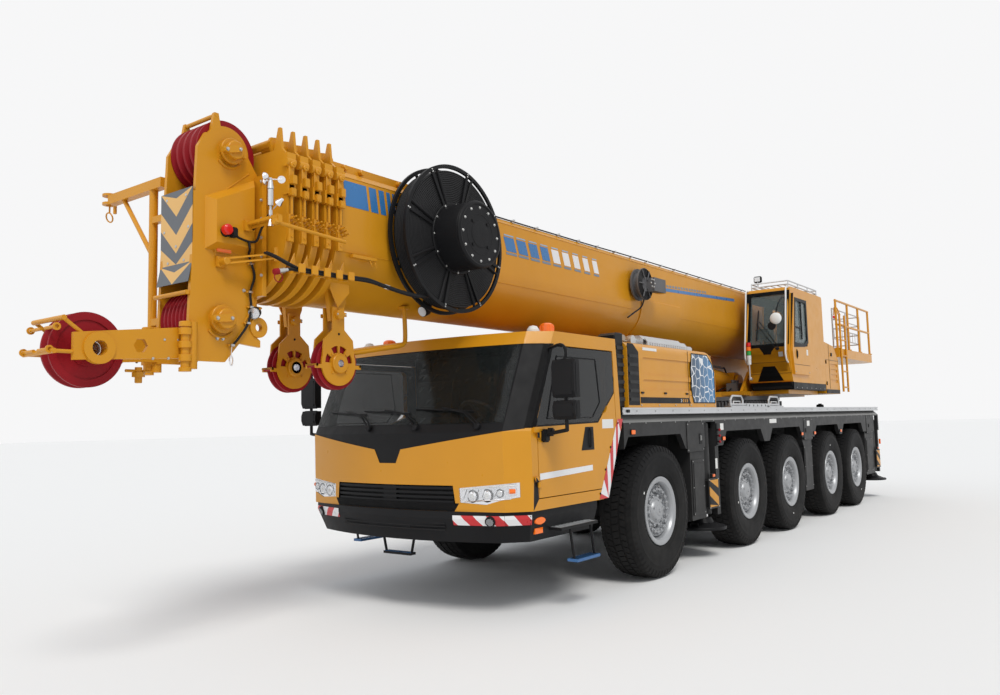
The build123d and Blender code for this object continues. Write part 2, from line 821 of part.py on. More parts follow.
# ---------------------------------------------------------------- turntable
# outline of a cheek: (behind the slewing axis, height)
cheek_points = [
    (690, turret_floor),
    (350, turret_floor + 310),
    (-450, turret_floor + 400),
    (-1450, pivot_z + 200),
    (-1700, pivot_z + 270),
    (-2000, pivot_z + 270),
    (-2250, pivot_z + 100),
    (-2450, pivot_z - 150),
]
tail_bottom = boom_bottom + 10
tail_top = tail_bottom + 260
drum_x = tail_rear + 1270
drum_z = pivot_z + 30
pivot_pin = 90
boss = cheek_outer + 60
pin_inner = boom_half_width - section_step + 8
slab_half = deck_half - 10
lift_foot = (slew_x - 50, turret_floor + 180)
lift_lug = (215, 260)
cab_bearer = (slew_x - 1050, slew_x + 450)

with BuildPart() as turntable:
    rod((slew_x, 0, ring_top + fit_gap), (slew_x, 0, turret_floor), ring_radius - 60)
    block((slew_x - 2250, slew_x + 750), (-620, 620), (ring_top + 20, turret_floor))
    cheek_outline = moved(cheek_points, slew_x, 0) + [
        (drum_x + 250, tail_top),
        (drum_x + 130, drum_z + 90),
        (drum_x - 130, drum_z + 90),
        (drum_x - 250, tail_top),
        (tail_rear, tail_top),
        (tail_rear, tail_bottom),
        (slew_x - 2800, tail_bottom),
        (slew_x - 2250, turret_floor),
    ]
    lift_bracket = [
        (lift_foot[0] - 220, turret_floor),
        (lift_foot[0] - 110, lift_foot[1] + 70),
        (lift_foot[0] - 50, lift_foot[1] + 110),
        (lift_foot[0] + 50, lift_foot[1] + 110),
        (lift_foot[0] + 110, lift_foot[1] + 70),
        (lift_foot[0] + 220, turret_floor),
    ]
    for side in (-1, 1):
        side_plate(cheek_outline, span(side, cheek_inner, cheek_outer))
        # rib along the cheek's upper edge
        edge = cheek_points[1:4]
        rib = [(x, z - 70) for x, z in edge] + [(x, z - 115) for x, z in reversed(edge)]
        side_plate(moved(rib, slew_x, 0), span(side, cheek_outer - 5, cheek_outer + 30))
        # boss and pin of the boom's foot, one short pin on each side
        disc(pivot_x, pivot_z, 190, span(side, cheek_outer, boss))
        disc(pivot_x, pivot_z, pivot_pin, span(side, pin_inner, boss + 15))
        side_plate(lift_bracket, span(side, *lift_lug))
    disc(lift_foot[0], lift_foot[1], 60, (-lift_lug[1], lift_lug[1]))
    # bearer of the operator's cab
    block(cab_bearer, (560, deck_half - 130), (ring_top + 20, turret_floor))
    # housing behind the operator's cab
    housing = [
        (slew_x - 1200, turret_floor - 40),
        (slew_x - 1200, turret_floor + 830),
        (slew_x - 1750, turret_floor + 780),
        (slew_x - 1990, turret_floor + 560),
        (slew_x - 2040, turret_floor - 40),
    ]
    side_plate(housing, (cheek_outer - 5, deck_half - 25))
    for number in range(4):
        low = turret_floor + 150 + 90 * number
        louvre = (slew_x - 1900, slew_x - 1500)
        block(louvre, (deck_half - 35, deck_half - 20), (low, low + 50), Mode.SUBTRACT)
save(turntable.part, "turntable")

slab_depth = 160
slab_front = slew_x - 2050
with BuildPart() as counterweight:
    for side in (-1, 1):
        slab = [
            (tail_rear + 90, side * (cheek_outer + fit_gap)),
            (tail_rear, side * (cheek_outer + fit_gap)),
            (tail_rear, side * (slab_half - 150)),
            (tail_rear + 150, side * slab_half),
            (slab_front, side * slab_half),
            (slab_front, side * (cheek_outer + fit_gap)),
        ]
        with BuildSketch(Plane.XY.offset(tail_bottom)) as plan:
            Polygon(*slab, align=None)
        extrude(plan.sketch, amount=slab_depth)
    inner = cheek_inner - fit_gap
    block((tail_rear, tail_rear + 600), (-inner, inner), (tail_bottom + 20, tail_bottom + 240))
save(counterweight.part, "counterweight")

drum_barrel = 230
drum_flange = 330
drum_half = 400
drum_shaft = cheek_inner - fit_gap
drum_side = [
    (0, drum_barrel),
    (drum_half, drum_barrel),
    (drum_half, drum_flange),
    (drum_half + 30, drum_flange),
    (drum_half + 30, 60),
    (drum_shaft, 60),
    (drum_shaft, 0),
]
with BuildPart() as winch_drum:
    across([(-y, radius) for y, radius in reversed(drum_side[1:])] + drum_side[1:], drum_x, drum_z)
save(winch_drum.part, "winch_drum")

rail_top = boom_top - 10
rail_y = slab_half - 30
rail_radius = 20
platform_floor = tail_bottom + slab_depth
platform_front = slew_x - 2070
post_count = 4
with BuildPart() as platform:
    rear = tail_rear + 170
    for number in range(post_count):
        x = platform_front - 30 + (rear - platform_front + 30) * number / (post_count - 1)
        rod((x, rail_y, platform_floor + fit_gap), (x, rail_y, rail_top), rail_radius)
        foot = [(0, fit_gap), (45, fit_gap), (45, 15), (0, 15)]
        upright(moved(foot, 0, platform_floor), x, rail_y)
    for z in (rail_top, (rail_top + platform_floor) / 2):
        rod((rear - rail_radius, rail_y, z), (platform_front - 30 + rail_radius, rail_y, z), rail_radius)
    # ladder
    ladder_y = slab_half + 18 + fit_gap
    ladder = (platform_front - 60, platform_front - 380)
    for x in ladder:
        rod((x, ladder_y, turret_floor), (x, ladder_y, rail_top - 250), 18)
    for z in range(round(turret_floor) + 80, round(rail_top) - 250, 280):
        rod((ladder[0], ladder_y, z), (ladder[1], ladder_y, z), 14)
save(platform.part, "platform")

# ---------------------------------------------------------------- operator's cab
room_front = slew_x + 630
room_rear = room_front - 1810
room_y = (cheek_outer + 70, deck_half - 20)
room_bottom = turret_floor + fit_gap
room_nose = turret_floor + 580
room_top = boom_top - 60
room_wall = 45
skirt_top = room_bottom + 110
room_outline = [
    (room_front - 80, skirt_top),
    (room_front + 40, room_nose),
    (room_front - 150, room_top),
    (room_rear, room_top),
    (room_rear, skirt_top),
]
room_inner = [
    (room_front - 80 - room_wall, skirt_top + room_wall),
    (room_front + 40 - room_wall, room_nose),
    (room_front - 150 - room_wall, room_top - room_wall),
    (room_rear + room_wall, room_top - room_wall),
    (room_rear + room_wall, skirt_top + room_wall),
]
slide_door = [
    (room_front - 90, room_bottom + 230),
    (room_front - 30, room_nose),
    (room_front - 200, room_top - 100),
    (room_front - 850, room_top - 100),
    (room_front - 850, room_bottom + 230),
]
door_glass = [
    (room_front - 130, room_nose + 100),
    (room_front - 250, room_top - 200),
    (room_front - 780, room_top - 200),
    (room_front - 780, room_nose + 100),
]
rear_glass = [
    (room_rear + 110, room_nose + 150),
    (room_rear + 110, room_top - 200),
    (room_rear + 620, room_top - 200),
    (room_rear + 620, room_nose + 100),
    (room_rear + 250, room_nose + 100),
]
with BuildPart() as operator_cab:
    side_plate(room_outline, room_y, corner=50)
    side_plate(room_inner, (room_y[0] + room_wall, room_y[1] - room_wall), Mode.SUBTRACT)
    # base under the cab
    base = [
        (room_front - 140, room_bottom),
        (room_front - 60, skirt_top + 5),
        (room_rear, skirt_top + 5),
        (room_rear, room_bottom),
    ]
    side_plate(base, (room_y[0] + 20, room_y[1] - 20))
    # windscreen, from the roof down to the knees
    glass_low = room_bottom + 280
    screen = [
        (room_y[0] + 60, glass_low + 80),
        (room_y[0] + 230, glass_low),
        (room_y[1] - 230, glass_low),
        (room_y[1] - 60, glass_low + 80),
        (room_y[1] - 60, room_top - 90),
        (room_y[0] + 60, room_top - 90),
    ]
    front_plate(screen, (room_front - 300, room_front + 100), Mode.SUBTRACT)
    # doorway, and the windows on the boom's side and behind
    doorway = span(1, room_y[1] - 2 * room_wall, room_y[1] + 10)
    side_plate([(x - 40, z) for x, z in slide_door], doorway, Mode.SUBTRACT)
    side_plate(door_glass, (room_y[0] - 10, room_y[0] + 2 * room_wall), Mode.SUBTRACT)
    side_plate(rear_glass, (room_y[0] - 10, room_y[0] + 2 * room_wall), Mode.SUBTRACT, corner=40)
    # seat and armrests
    seat_z = turret_floor + 480
    seat_y = (room_y[0] + 150, room_y[1] - 150)
    block((room_front - 1150, room_front - 700), seat_y, (skirt_top + room_wall, seat_z))
    back = [(-1250, seat_z - 40), (-1120, seat_z - 40), (-1180, seat_z + 650), (-1290, seat_z + 650)]
    side_plate(moved(back, room_front, 0), (room_y[0] + 160, room_y[1] - 160))
    # roof grille's frame and the grab rails at the front corners
    for y in (room_y[0] + 25, room_y[1] - 25):
        rod((room_front - 80, y, skirt_top + 100), (room_front + 90, y, room_nose), 12)
        rod((room_front + 90, y, room_nose), (room_front - 165, y, room_top - 30), 12)
save(operator_cab.part, "operator_cab")

with BuildPart() as operator_door:
    side_plate(slide_door, (room_y[1] + fit_gap, room_y[1] + 35))
    side_plate(door_glass, (room_y[1], room_y[1] + 40), Mode.SUBTRACT, corner=40)
save(operator_door.part, "operator_door")

# ---------------------------------------------------------------- boom
boom_wall = 14
boom_corner = 60
collar_pitch = 118
collar_depth = 70
collar_lip = 30
collar_half = boom_half_width + collar_lip
collar_top = boom_top + collar_lip
tube_back = boom_back + 60
tube_stagger = 60
lift_eye = (axle_1 - 1950, boom_bottom - 200)
lug_inner = 125
lug_outer = 165
boom_names = ["boom_base"] + ["boom_section_" + str(number) for number in range(2, 6)] + ["boom_head"]

# half width and top of each section
sections = []
for number in range(len(boom_names)):
    sections.append((boom_half_width - section_step * number, boom_top - section_step * number))


def boom_outline(half_width, top):
    """The boom's cross-section: flat top and sides, half-round below."""
    with BuildLine() as edge:
        Polyline(
            (half_width, boom_middle),
            (half_width, top - boom_corner),
            (half_width - boom_corner, top),
            (-half_width + boom_corner, top),
            (-half_width, top - boom_corner),
            (-half_width, boom_middle),
        )
        ThreePointArc((-half_width, boom_middle), (0, boom_middle - half_width), (half_width, boom_middle))
    make_face(edge.edges())


def section_sketch(x, half_width, top, inner=None):
    """A cross-section at x, less an inner one."""
    with BuildSketch(Plane.YZ.offset(x)) as outline:
        boom_outline(half_width, top)
    if inner is None:
        return outline.sketch
    with BuildSketch(Plane.YZ.offset(x)) as opening:
        boom_outline(*inner)
    return outline.sketch - opening.sketch


def boom_tube(number, back, front):
    """One hollow section of the boom, from back to front."""
    half, top = sections[number]
    extrude(section_sketch(back, half, top, (half - boom_wall, top - boom_wall)), amount=front - back)


def boom_collar(number, x):
    """The head plate of a section, with the pads, fins and rope roller it carries."""
    half, top = sections[number + 1]
    opening = (half + fit_gap, top + fit_gap)
    body = section_sketch(x - collar_depth, collar_half - 12, collar_top - 12, opening)
    extrude(body, amount=collar_depth)
    extrude(section_sketch(x - 24, collar_half, collar_top, opening), amount=24)
    for side in (-1, 1):
        # tall fin on the upper corner
        fin = [(-150, -5), (-60, -5), (-78, 160), (-102, 160)]
        fin = [(side * (collar_half + y), collar_top + z) for y, z in fin]
        front_plate(fin, (x - 22, x))
        # pad adjusters down the side
        side_y = span(side, collar_half - 30, collar_half + 22)
        for low, high in ((boom_top - 90, boom_top - 20), (boom_top - 330, boom_top - 230)):
            block((x - 64, x + 12), side_y, (low, high))
        rod((x - 64, side * collar_half, boom_top - 90), (x + 20, side * collar_half, boom_top - 90), 34)
        # lug that holds the roller
        lug = [(-62, -5), (-62, 70), (-34, 108), (14, 100), (28, 66), (0, -5)]
        side_plate(moved(lug, x, collar_top), span(side, 320, 345))
    disc(x - 14, collar_top + 66, 32, (-321, 321))


reel_x = boom_front - 1200
reel_z = boom_middle + 140
reel_y = boom_half_width + 40
reel_radius = 650
reel_stub = 90
reel_seat = reel_y + 120
yoke_x = boom_front - 180
yoke_y = (-270, 270)
yoke_radius = 205
yoke_z = boom_bottom - 490
yoke_pin_z = boom_bottom - 100
yoke_pin = 25
small_reel = (axle_1 - 1300, boom_middle + 200)

with BuildPart() as boom_base:
    boom_tube(0, boom_back, boom_front)
    boom_collar(0, boom_front)
    # closed foot
    extrude(section_sketch(boom_back, *sections[0]), amount=40)
    # saddle plate around the belly above the lift cylinder
    saddle = (lift_eye[0] - 640, lift_eye[0] + 500)
    extrude(section_sketch(saddle[0], boom_half_width + 12, boom_middle + 100), amount=saddle[1] - saddle[0])
    belly = boom_bottom + 25
    lug = [
        (lift_eye[0] - 420, belly),
        (lift_eye[0] - 110, lift_eye[1] - 90),
        (lift_eye[0] - 50, lift_eye[1] - 125),
        (lift_eye[0] + 50, lift_eye[1] - 125),
        (lift_eye[0] + 110, lift_eye[1] - 90),
        (lift_eye[0] + 420, belly),
    ]
    for side in (-1, 1):
        disc(pivot_x, pivot_z, 230, span(side, pin_inner, boom_half_width + 30))
        side_plate(lug, span(side, lug_inner, lug_outer))
        disc(lift_eye[0], lift_eye[1], 75, span(side, lug_inner - 10, lug_outer + 35))
    # reel's stub, and the small hose drum with its bracket
    disc(reel_x, reel_z, reel_stub, (boom_half_width - 5, reel_seat))
    across(
        [
            (boom_half_width - 5, 0),
            (boom_half_width - 5, 60),
            (boom_half_width + 40, 60),
            (boom_half_width + 40, 200),
            (boom_half_width + 60, 200),
            (boom_half_width + 60, 150),
            (boom_half_width + 130, 150),
            (boom_half_width + 130, 200),
            (boom_half_width + 150, 200),
            (boom_half_width + 150, 0),
        ],
        *small_reel,
    )
    block(
        (small_reel[0] - 360, small_reel[0] - 40),
        (boom_half_width + 149, boom_half_width + 250),
        (small_reel[1] - 90, small_reel[1] + 80),
    )
    # rail along the top behind the collar, and the lifting lug
    rail_side = (boom_half_width - 170, boom_half_width - 90)
    block((boom_front - 1500, boom_front - 60), rail_side, (boom_top - 5, boom_top + 75))
    lifting = [(-70, -5), (-30, 120), (30, 120), (50, -5)]
    side_plate(moved(lifting, axle_1 - 1340, boom_top), (-15, 15))
    # brackets of the two hanging sheaves
    for y in yoke_y:
        bracket = [
            (yoke_x - 150, boom_bottom + 280),
            (yoke_x - 110, boom_bottom),
            (yoke_x - 45, yoke_pin_z - 50),
            (yoke_x + 45, yoke_pin_z - 50),
            (yoke_x + 100, boom_bottom + 280),
        ]
        side_plate(bracket, (y - 20, y + 20))
        disc(yoke_x, yoke_pin_z, yoke_pin + fit_gap, (y - 30, y + 30), Mode.SUBTRACT)
    # the inside, clear for the next section
    half, top = sections[0]
    inside = section_sketch(boom_back + 40, half - boom_wall, top - boom_wall)
    extrude(inside, amount=boom_front - collar_depth - boom_back - 40, mode=Mode.SUBTRACT)
    for side in (-1, 1):
        disc(pivot_x, pivot_z, 230, span(side, pin_inner, boom_half_width - 5))
    disc(pivot_x, pivot_z, pivot_pin + fit_gap, (-boss, boss), Mode.SUBTRACT)
save(boom_base.part, "boom_base")

for number in range(1, len(boom_names) - 1):
    front = boom_front + collar_pitch * number
    with BuildPart() as section:
        boom_tube(number, tube_back + tube_stagger * number, front)
        boom_collar(number, front)
    save(section.part, boom_names[number])

# ---------------------------------------------------------------- boom head
head_half = 200
head_wall = 30
head_rear = boom_front + 4 * collar_pitch + 20
sheave_radius = 240
pin_radius = 45
nose_pin_radius = 60
nose_bore = 48
top_pin = (head_front - 325, boom_top - 20)
low_pin = (head_front - 260, boom_bottom - 210)
nose_pin = (axle_1 + front_reach - 286, boom_bottom - 460)
head_points = [
    (0, -510),
    (-70, 1010),
    (-130, 1120),
    (-400, 1150),
    (-570, 900),
    (-570, -320),
    (-600, -340),
    (-600, -390),
    (-420, -370),
    (-300, -510),
]
# reinforcement on the outside of a head plate
gusset = [(-130, 280), (-130, 660), (-540, 860), (-540, 280)]
arm_points = [(-60, -500), (60, -500), (760, -540), (760, -370), (60, -290), (-60, -290)]
guard_y = head_half - 15
guard_radius = 12
cross_radius = 16

with BuildPart() as boom_head:
    boom_tube(5, tube_back + tube_stagger * 5, head_rear + 30)
    plate_y = (head_half - head_wall, head_half)
    for side in (-1, 1):
        plate = span(side, *plate_y)
        side_plate(moved(head_points, head_front, boom_bottom), plate)
        disc(top_pin[0] + 20, top_pin[1], 185, plate)
        # tapered box on the plate's outside
        outer = Plane(origin=(0, side * (head_half - 1), 0), x_dir=(-side, 0, 0), z_dir=(0, side, 0))
        with BuildSketch(outer) as box_outline:
            Polygon(*[(-side * x, z) for x, z in moved(gusset, head_front, boom_bottom)], align=None)
        extrude(box_outline.sketch, amount=75, taper=32)
        # pin caps with their locking plates
        for x, z in (top_pin, low_pin):
            cap = [
                (head_half - 5, 0),
                (head_half - 5, 90),
                (head_half + 14, 90),
                (head_half + 14, 66),
                (head_half + 40, 66),
                (head_half + 40, 0),
            ]
            across([(side * y, radius) for y, radius in cap], x, z)
            block((x - 105, x + 25), span(side, head_half + 30, head_half + 62), (z - 34, z + 34))
        # ear at the lower rear, with its bore
        ear_x, ear_z = head_front - 580, boom_bottom - 244
        disc(ear_x, ear_z, 75, span(side, head_half - head_wall, head_half + 12))
        # arm of the nose sheave
        side_plate(moved(arm_points, head_front, boom_bottom), plate)
        disc(*nose_pin, 100, span(side, head_half - head_wall, head_half + 15))
        # upright hinge pin at the arm's root
        hinge = (head_front - 20, side * (head_half + 20))
        rod((*hinge, nose_pin[1] - 110), (*hinge, nose_pin[1] + 210), 40)
        # lug and guard bars of the nose sheave
        for start, end in (
            ((nose_pin[0] + 60, nose_pin[1] + 60), (nose_pin[0] + 215, nose_pin[1] + 175)),
            ((nose_pin[0] + 60, nose_pin[1] - 30), (axle_1 + front_reach - cross_radius, nose_pin[1] - 30)),
        ):
            y = side * guard_y
            rod((start[0], y, start[1]), (end[0], y, end[1]), guard_radius)
        # lug of the top guard bar
        guard_lug = [(60, 120), (150, 120), (122, 268), (88, 268)]
        side_plate(moved(guard_lug, *top_pin), plate)
    # closing plate that ties the tube to the head's plates
    front_plate(mirrored([(300, boom_bottom - 20), (300, boom_top - 160)]), (head_rear, head_rear + 40))
    # striped plate at the front
    striped = mirrored([(head_half, boom_bottom + 80), (head_half, boom_bottom + 680)])
    front_plate(striped, (head_front - 60, head_front - 40))
    # lacing plates between the head plates
    block((head_rear, head_front - 100), (-head_half, head_half), (boom_bottom + 330, boom_bottom + 350))
    for pin in (top_pin, low_pin):
        disc(*pin, pin_radius, (-head_half, head_half))
    for x, z in (
        (nose_pin[0] + 215, nose_pin[1] + 175),
        (axle_1 + front_reach - cross_radius, nose_pin[1] - 30),
        (top_pin[0] + 105, top_pin[1] + 252),
        (low_pin[0] + 262, low_pin[1] + 170),
    ):
        disc(x, z, cross_radius, (-guard_y - cross_radius, guard_y + cross_radius))
    # short arms that hold the lower guard bar
    for side in (-1, 1):
        arm_z = low_pin[1] + 170
        arm_y = span(side, guard_y - 10, guard_y + 10)
        block((head_front - 40, low_pin[0] + 262), arm_y, (arm_z - 14, arm_z + 14))
    # bores of the ears and hollow pin of the nose sheave
    disc(ear_x, ear_z, 30, (-head_half - 20, head_half + 20), Mode.SUBTRACT)
    disc(*nose_pin, nose_pin_radius, (-head_half - 15, head_half + 15))
    disc(*nose_pin, nose_bore, (-head_half - 20, head_half + 20), Mode.SUBTRACT)
    # six-sided hole through the nose arms
    hole = (head_front + 330, boom_bottom - 430)
    with BuildSketch(Plane.XZ.offset(-head_half - 10)) as six_sided:
        with Locations(hole):
            RegularPolygon(50, 6)
    extrude(six_sided.sketch, amount=2 * head_half + 20, mode=Mode.SUBTRACT)
    # folded bracket on the right side: post, cross beam and braces
    post_x, post_y = head_front - 170, -head_half - 330
    post_z = (boom_bottom - 230, boom_top - 160)
    beam_end = post_y - 620
    rod((post_x, post_y, post_z[0]), (post_x, post_y, post_z[1]), 32)
    block((post_x - 35, post_x + 35), (beam_end, post_y + 150), (post_z[1] - 40, post_z[1] + 35))
    brace_z = post_z[0] + 560
    braces = ((post_z[0] + 60, brace_z, post_y), (brace_z, post_z[1] - 20, beam_end + 180))
    for foot_z, top_z, far_y in braces:
        rod((post_x, post_y, foot_z), (post_x, far_y, top_z), 18)
    for z in (post_z[0] + 30, post_z[1] - 300):
        block((post_x - 25, post_x + 25), (post_y, -head_half + 5), (z, z + 50))
save(boom_head.part, "boom_head")


def grooved(y, radius, bore, grooves):
    """The outline of rope sheaves side by side on one pin, as (y, radius)."""
    pitch = (y[1] - y[0]) / grooves
    points = [(y[0], bore), (y[0], radius)]
    for number in range(grooves):
        left = y[0] + pitch * number
        points.append((left + pitch * 0.15, radius))
        points.append((left + pitch * 0.42, radius - pitch * 0.6))
        points.append((left + pitch * 0.58, radius - pitch * 0.6))
        points.append((left + pitch * 0.85, radius))
    return points + [(y[1], radius), (y[1], bore)]


# ---------------------------------------------------------------- sheaves and cable reel
pack_half = head_half - head_wall - 4
for name, pin, y, bore, grooves in (
    ("top_sheaves", top_pin, (-pack_half, pack_half), pin_radius, 4),
    ("bottom_sheaves", low_pin, (-pack_half, pack_half), pin_radius, 7),
    ("front_sheave", nose_pin, (-55, 55), nose_pin_radius, 1),
):
    with BuildPart() as pack:
        across(grooved(y, sheave_radius, bore + fit_gap, grooves), *pin)
        # dished sides between hub and rim
        dish = (bore + 45, sheave_radius - 50)
        for near, far in ((y[0] - 1, y[0] + 9), (y[1] - 9, y[1] + 1)):
            across([(near, dish[0]), (near, dish[1]), (far, dish[1]), (far, dish[0])], *pin, Mode.SUBTRACT)
    save(pack.part, name)


def sector(x, z, inner, outer, start, end):
    """Corners of a fan-shaped window around (x, z), its angles in twelfths of a turn."""
    turns = [2 * pi * (start + (end - start) * share) / 12 for share in (0, 0.5, 1)]
    ring = [(x + outer * cos(turn), z + outer * sin(turn)) for turn in turns]
    return ring + [(x + inner * cos(turn), z + inner * sin(turn)) for turn in reversed(turns)]


yoke_plate = (45, 60)  # from the middle of a sheave
yoke_disc = 175
with BuildPart() as hanging_sheaves:
    for y in yoke_y:
        for side in (-1, 1):
            near, far = sorted((y + side * yoke_plate[0], y + side * yoke_plate[1]))
            neck = [
                (-60, yoke_pin_z - yoke_z + 60),
                (-60, 270),
                (-150, 190),
                (-165, 60),
                (165, 60),
                (150, 190),
                (60, 270),
                (60, yoke_pin_z - yoke_z + 60),
            ]
            side_plate(moved(neck, yoke_x, yoke_z), (near, far))
            disc(yoke_x, yoke_z, yoke_disc, (near, far))
            disc(yoke_x, yoke_z, 62, sorted((y + side * yoke_plate[0], y + side * 85)))
            # arm that carries the rope guards
            block((yoke_x - 235, yoke_x + 235), (near, far), (yoke_z - 40, yoke_z - 10))
            for start in (0.1, 1.85, 3.15, 4.9):
                window = sector(yoke_x, yoke_z, 88, 142, start, start + 1.0)
                side_plate(window, (near - 1, far + 1), Mode.SUBTRACT)
        for x in (yoke_x - 225, yoke_x + 225):
            disc(x, yoke_z - 25, 9, (y - yoke_plate[1], y + yoke_plate[1]))
        across(
            [(y + out, radius) for out, radius in grooved((-38, 38), yoke_radius, 0, 1)], yoke_x, yoke_z
        )
        disc(yoke_x, yoke_z, 45, (y - 85, y + 85))
        disc(yoke_x, yoke_z, 30, (y - 90, y + 90), Mode.SUBTRACT)
        disc(yoke_x, yoke_pin_z, yoke_pin, (y - 85, y + 85))
save(hanging_sheaves.part, "hanging_sheaves")

reel_ring = 32
reel_hub = 290
reel_end = reel_y + 460
cable_faces = (reel_y + 25, reel_y + 175)
spoke_count = 8
with BuildPart() as cable_reel:
    body = [
        (reel_y, reel_stub + fit_gap),
        (reel_y, reel_hub),
        (cable_faces[0], reel_hub),
        (cable_faces[0], reel_radius - 54),
        (cable_faces[1], reel_radius - 54),
        (cable_faces[1], reel_hub),
        (reel_end - 25, reel_hub),
        (reel_end, reel_hub - 25),
        (reel_end, 0),
        (reel_seat + 1, 0),
        (reel_seat + 1, reel_stub + fit_gap),
    ]
    across(body, reel_x, reel_z)
    for near, far in ((reel_y, cable_faces[0]), (cable_faces[1], cable_faces[1] + 25)):
        lip = reel_radius - reel_ring
        across([(near, lip), (near, reel_radius), (far, reel_radius), (far, lip)], reel_x, reel_z)
        for number in range(spoke_count):
            turn = 2 * pi * (number + 0.5) / spoke_count
            inner, outer = reel_hub - 20, reel_radius - reel_ring / 2
            y = (near + far) / 2
            rod(
                (reel_x + inner * cos(turn), y, reel_z + inner * sin(turn)),
                (reel_x + outer * cos(turn), y, reel_z + outer * sin(turn)),
                12,
            )
save(cable_reel.part, "cable_reel")

# ---------------------------------------------------------------- lift cylinder
foot_point = (lift_foot[0], 0, lift_foot[1])
lift_vector = Vector(lift_eye[0] - lift_foot[0], 0, lift_eye[1] - lift_foot[1])
lift_length = lift_vector.length
lift_plane = Plane(origin=foot_point, x_dir=lift_vector, z_dir=(0, -1, 0))
barrel_length = lift_length - 337
barrel_radius = 165
barrel_bore = 135
gland = 60
lift_rod_radius = 105
eye_half = lug_inner - 15


def along_lift(points):
    """A solid of revolution about the lift cylinder, from its (distance from the foot, radius) outline."""
    with BuildSketch(lift_plane) as outline:
        Polygon(*points, align=None)
    revolve(outline.sketch, axis=Axis(foot_point, lift_vector))


with BuildPart() as lift_barrel:
    along_lift(
        [
            (60, 0),
            (60, barrel_radius - 15),
            (180, barrel_radius),
            (barrel_length - 150, barrel_radius),
            (barrel_length - 150, barrel_radius + 10),
            (barrel_length, barrel_radius + 10),
            (barrel_length, lift_rod_radius + fit_gap),
            (barrel_length - gland, lift_rod_radius + fit_gap),
            (barrel_length - gland, barrel_bore),
            (200, barrel_bore),
            (200, 0),
        ]
    )
    disc(lift_foot[0], lift_foot[1], 160, (10 - lift_lug[0], lift_lug[0] - 10))
    disc(lift_foot[0], lift_foot[1], 60 + fit_gap, (-lift_lug[0], lift_lug[0]), Mode.SUBTRACT)
save(lift_barrel.part, "lift_barrel")

with BuildPart() as lift_rod:
    along_lift(
        [
            (250, 0),
            (250, barrel_bore - 1),
            (310, barrel_bore - 1),
            (310, lift_rod_radius),
            (lift_length, lift_rod_radius),
            (lift_length, 0),
        ]
    )
    disc(lift_eye[0], lift_eye[1], 150, (-eye_half, eye_half))
    disc(lift_eye[0], lift_eye[1], 60, (-eye_half - 5, eye_half + 5), Mode.SUBTRACT)
save(lift_rod.part, "lift_rod")
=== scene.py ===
"""Looks of the five-axle mobile crane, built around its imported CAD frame.

Metres, +X forward, +Y to the crane's left, +Z up, as in the CAD model.
"""

import random
from math import cos, pi, radians, sin, sqrt

import bmesh
import bpy
from mathutils import Matrix, Vector
from mathutils.bvhtree import BVHTree


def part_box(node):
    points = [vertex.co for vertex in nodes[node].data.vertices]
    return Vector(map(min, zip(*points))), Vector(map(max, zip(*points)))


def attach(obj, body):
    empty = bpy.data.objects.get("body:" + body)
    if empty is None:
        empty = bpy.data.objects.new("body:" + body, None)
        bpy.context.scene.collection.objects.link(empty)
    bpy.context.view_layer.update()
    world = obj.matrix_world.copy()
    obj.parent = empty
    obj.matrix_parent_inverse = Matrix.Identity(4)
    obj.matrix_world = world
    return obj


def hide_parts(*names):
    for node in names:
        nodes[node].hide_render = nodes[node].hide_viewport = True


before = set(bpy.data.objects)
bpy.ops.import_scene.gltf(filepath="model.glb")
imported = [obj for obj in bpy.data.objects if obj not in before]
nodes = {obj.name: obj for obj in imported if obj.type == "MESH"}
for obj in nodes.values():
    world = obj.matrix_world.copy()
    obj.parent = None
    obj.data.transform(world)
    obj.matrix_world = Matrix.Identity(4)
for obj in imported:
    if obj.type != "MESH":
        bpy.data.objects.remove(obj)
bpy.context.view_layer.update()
scene = bpy.context.scene
random.seed(5)


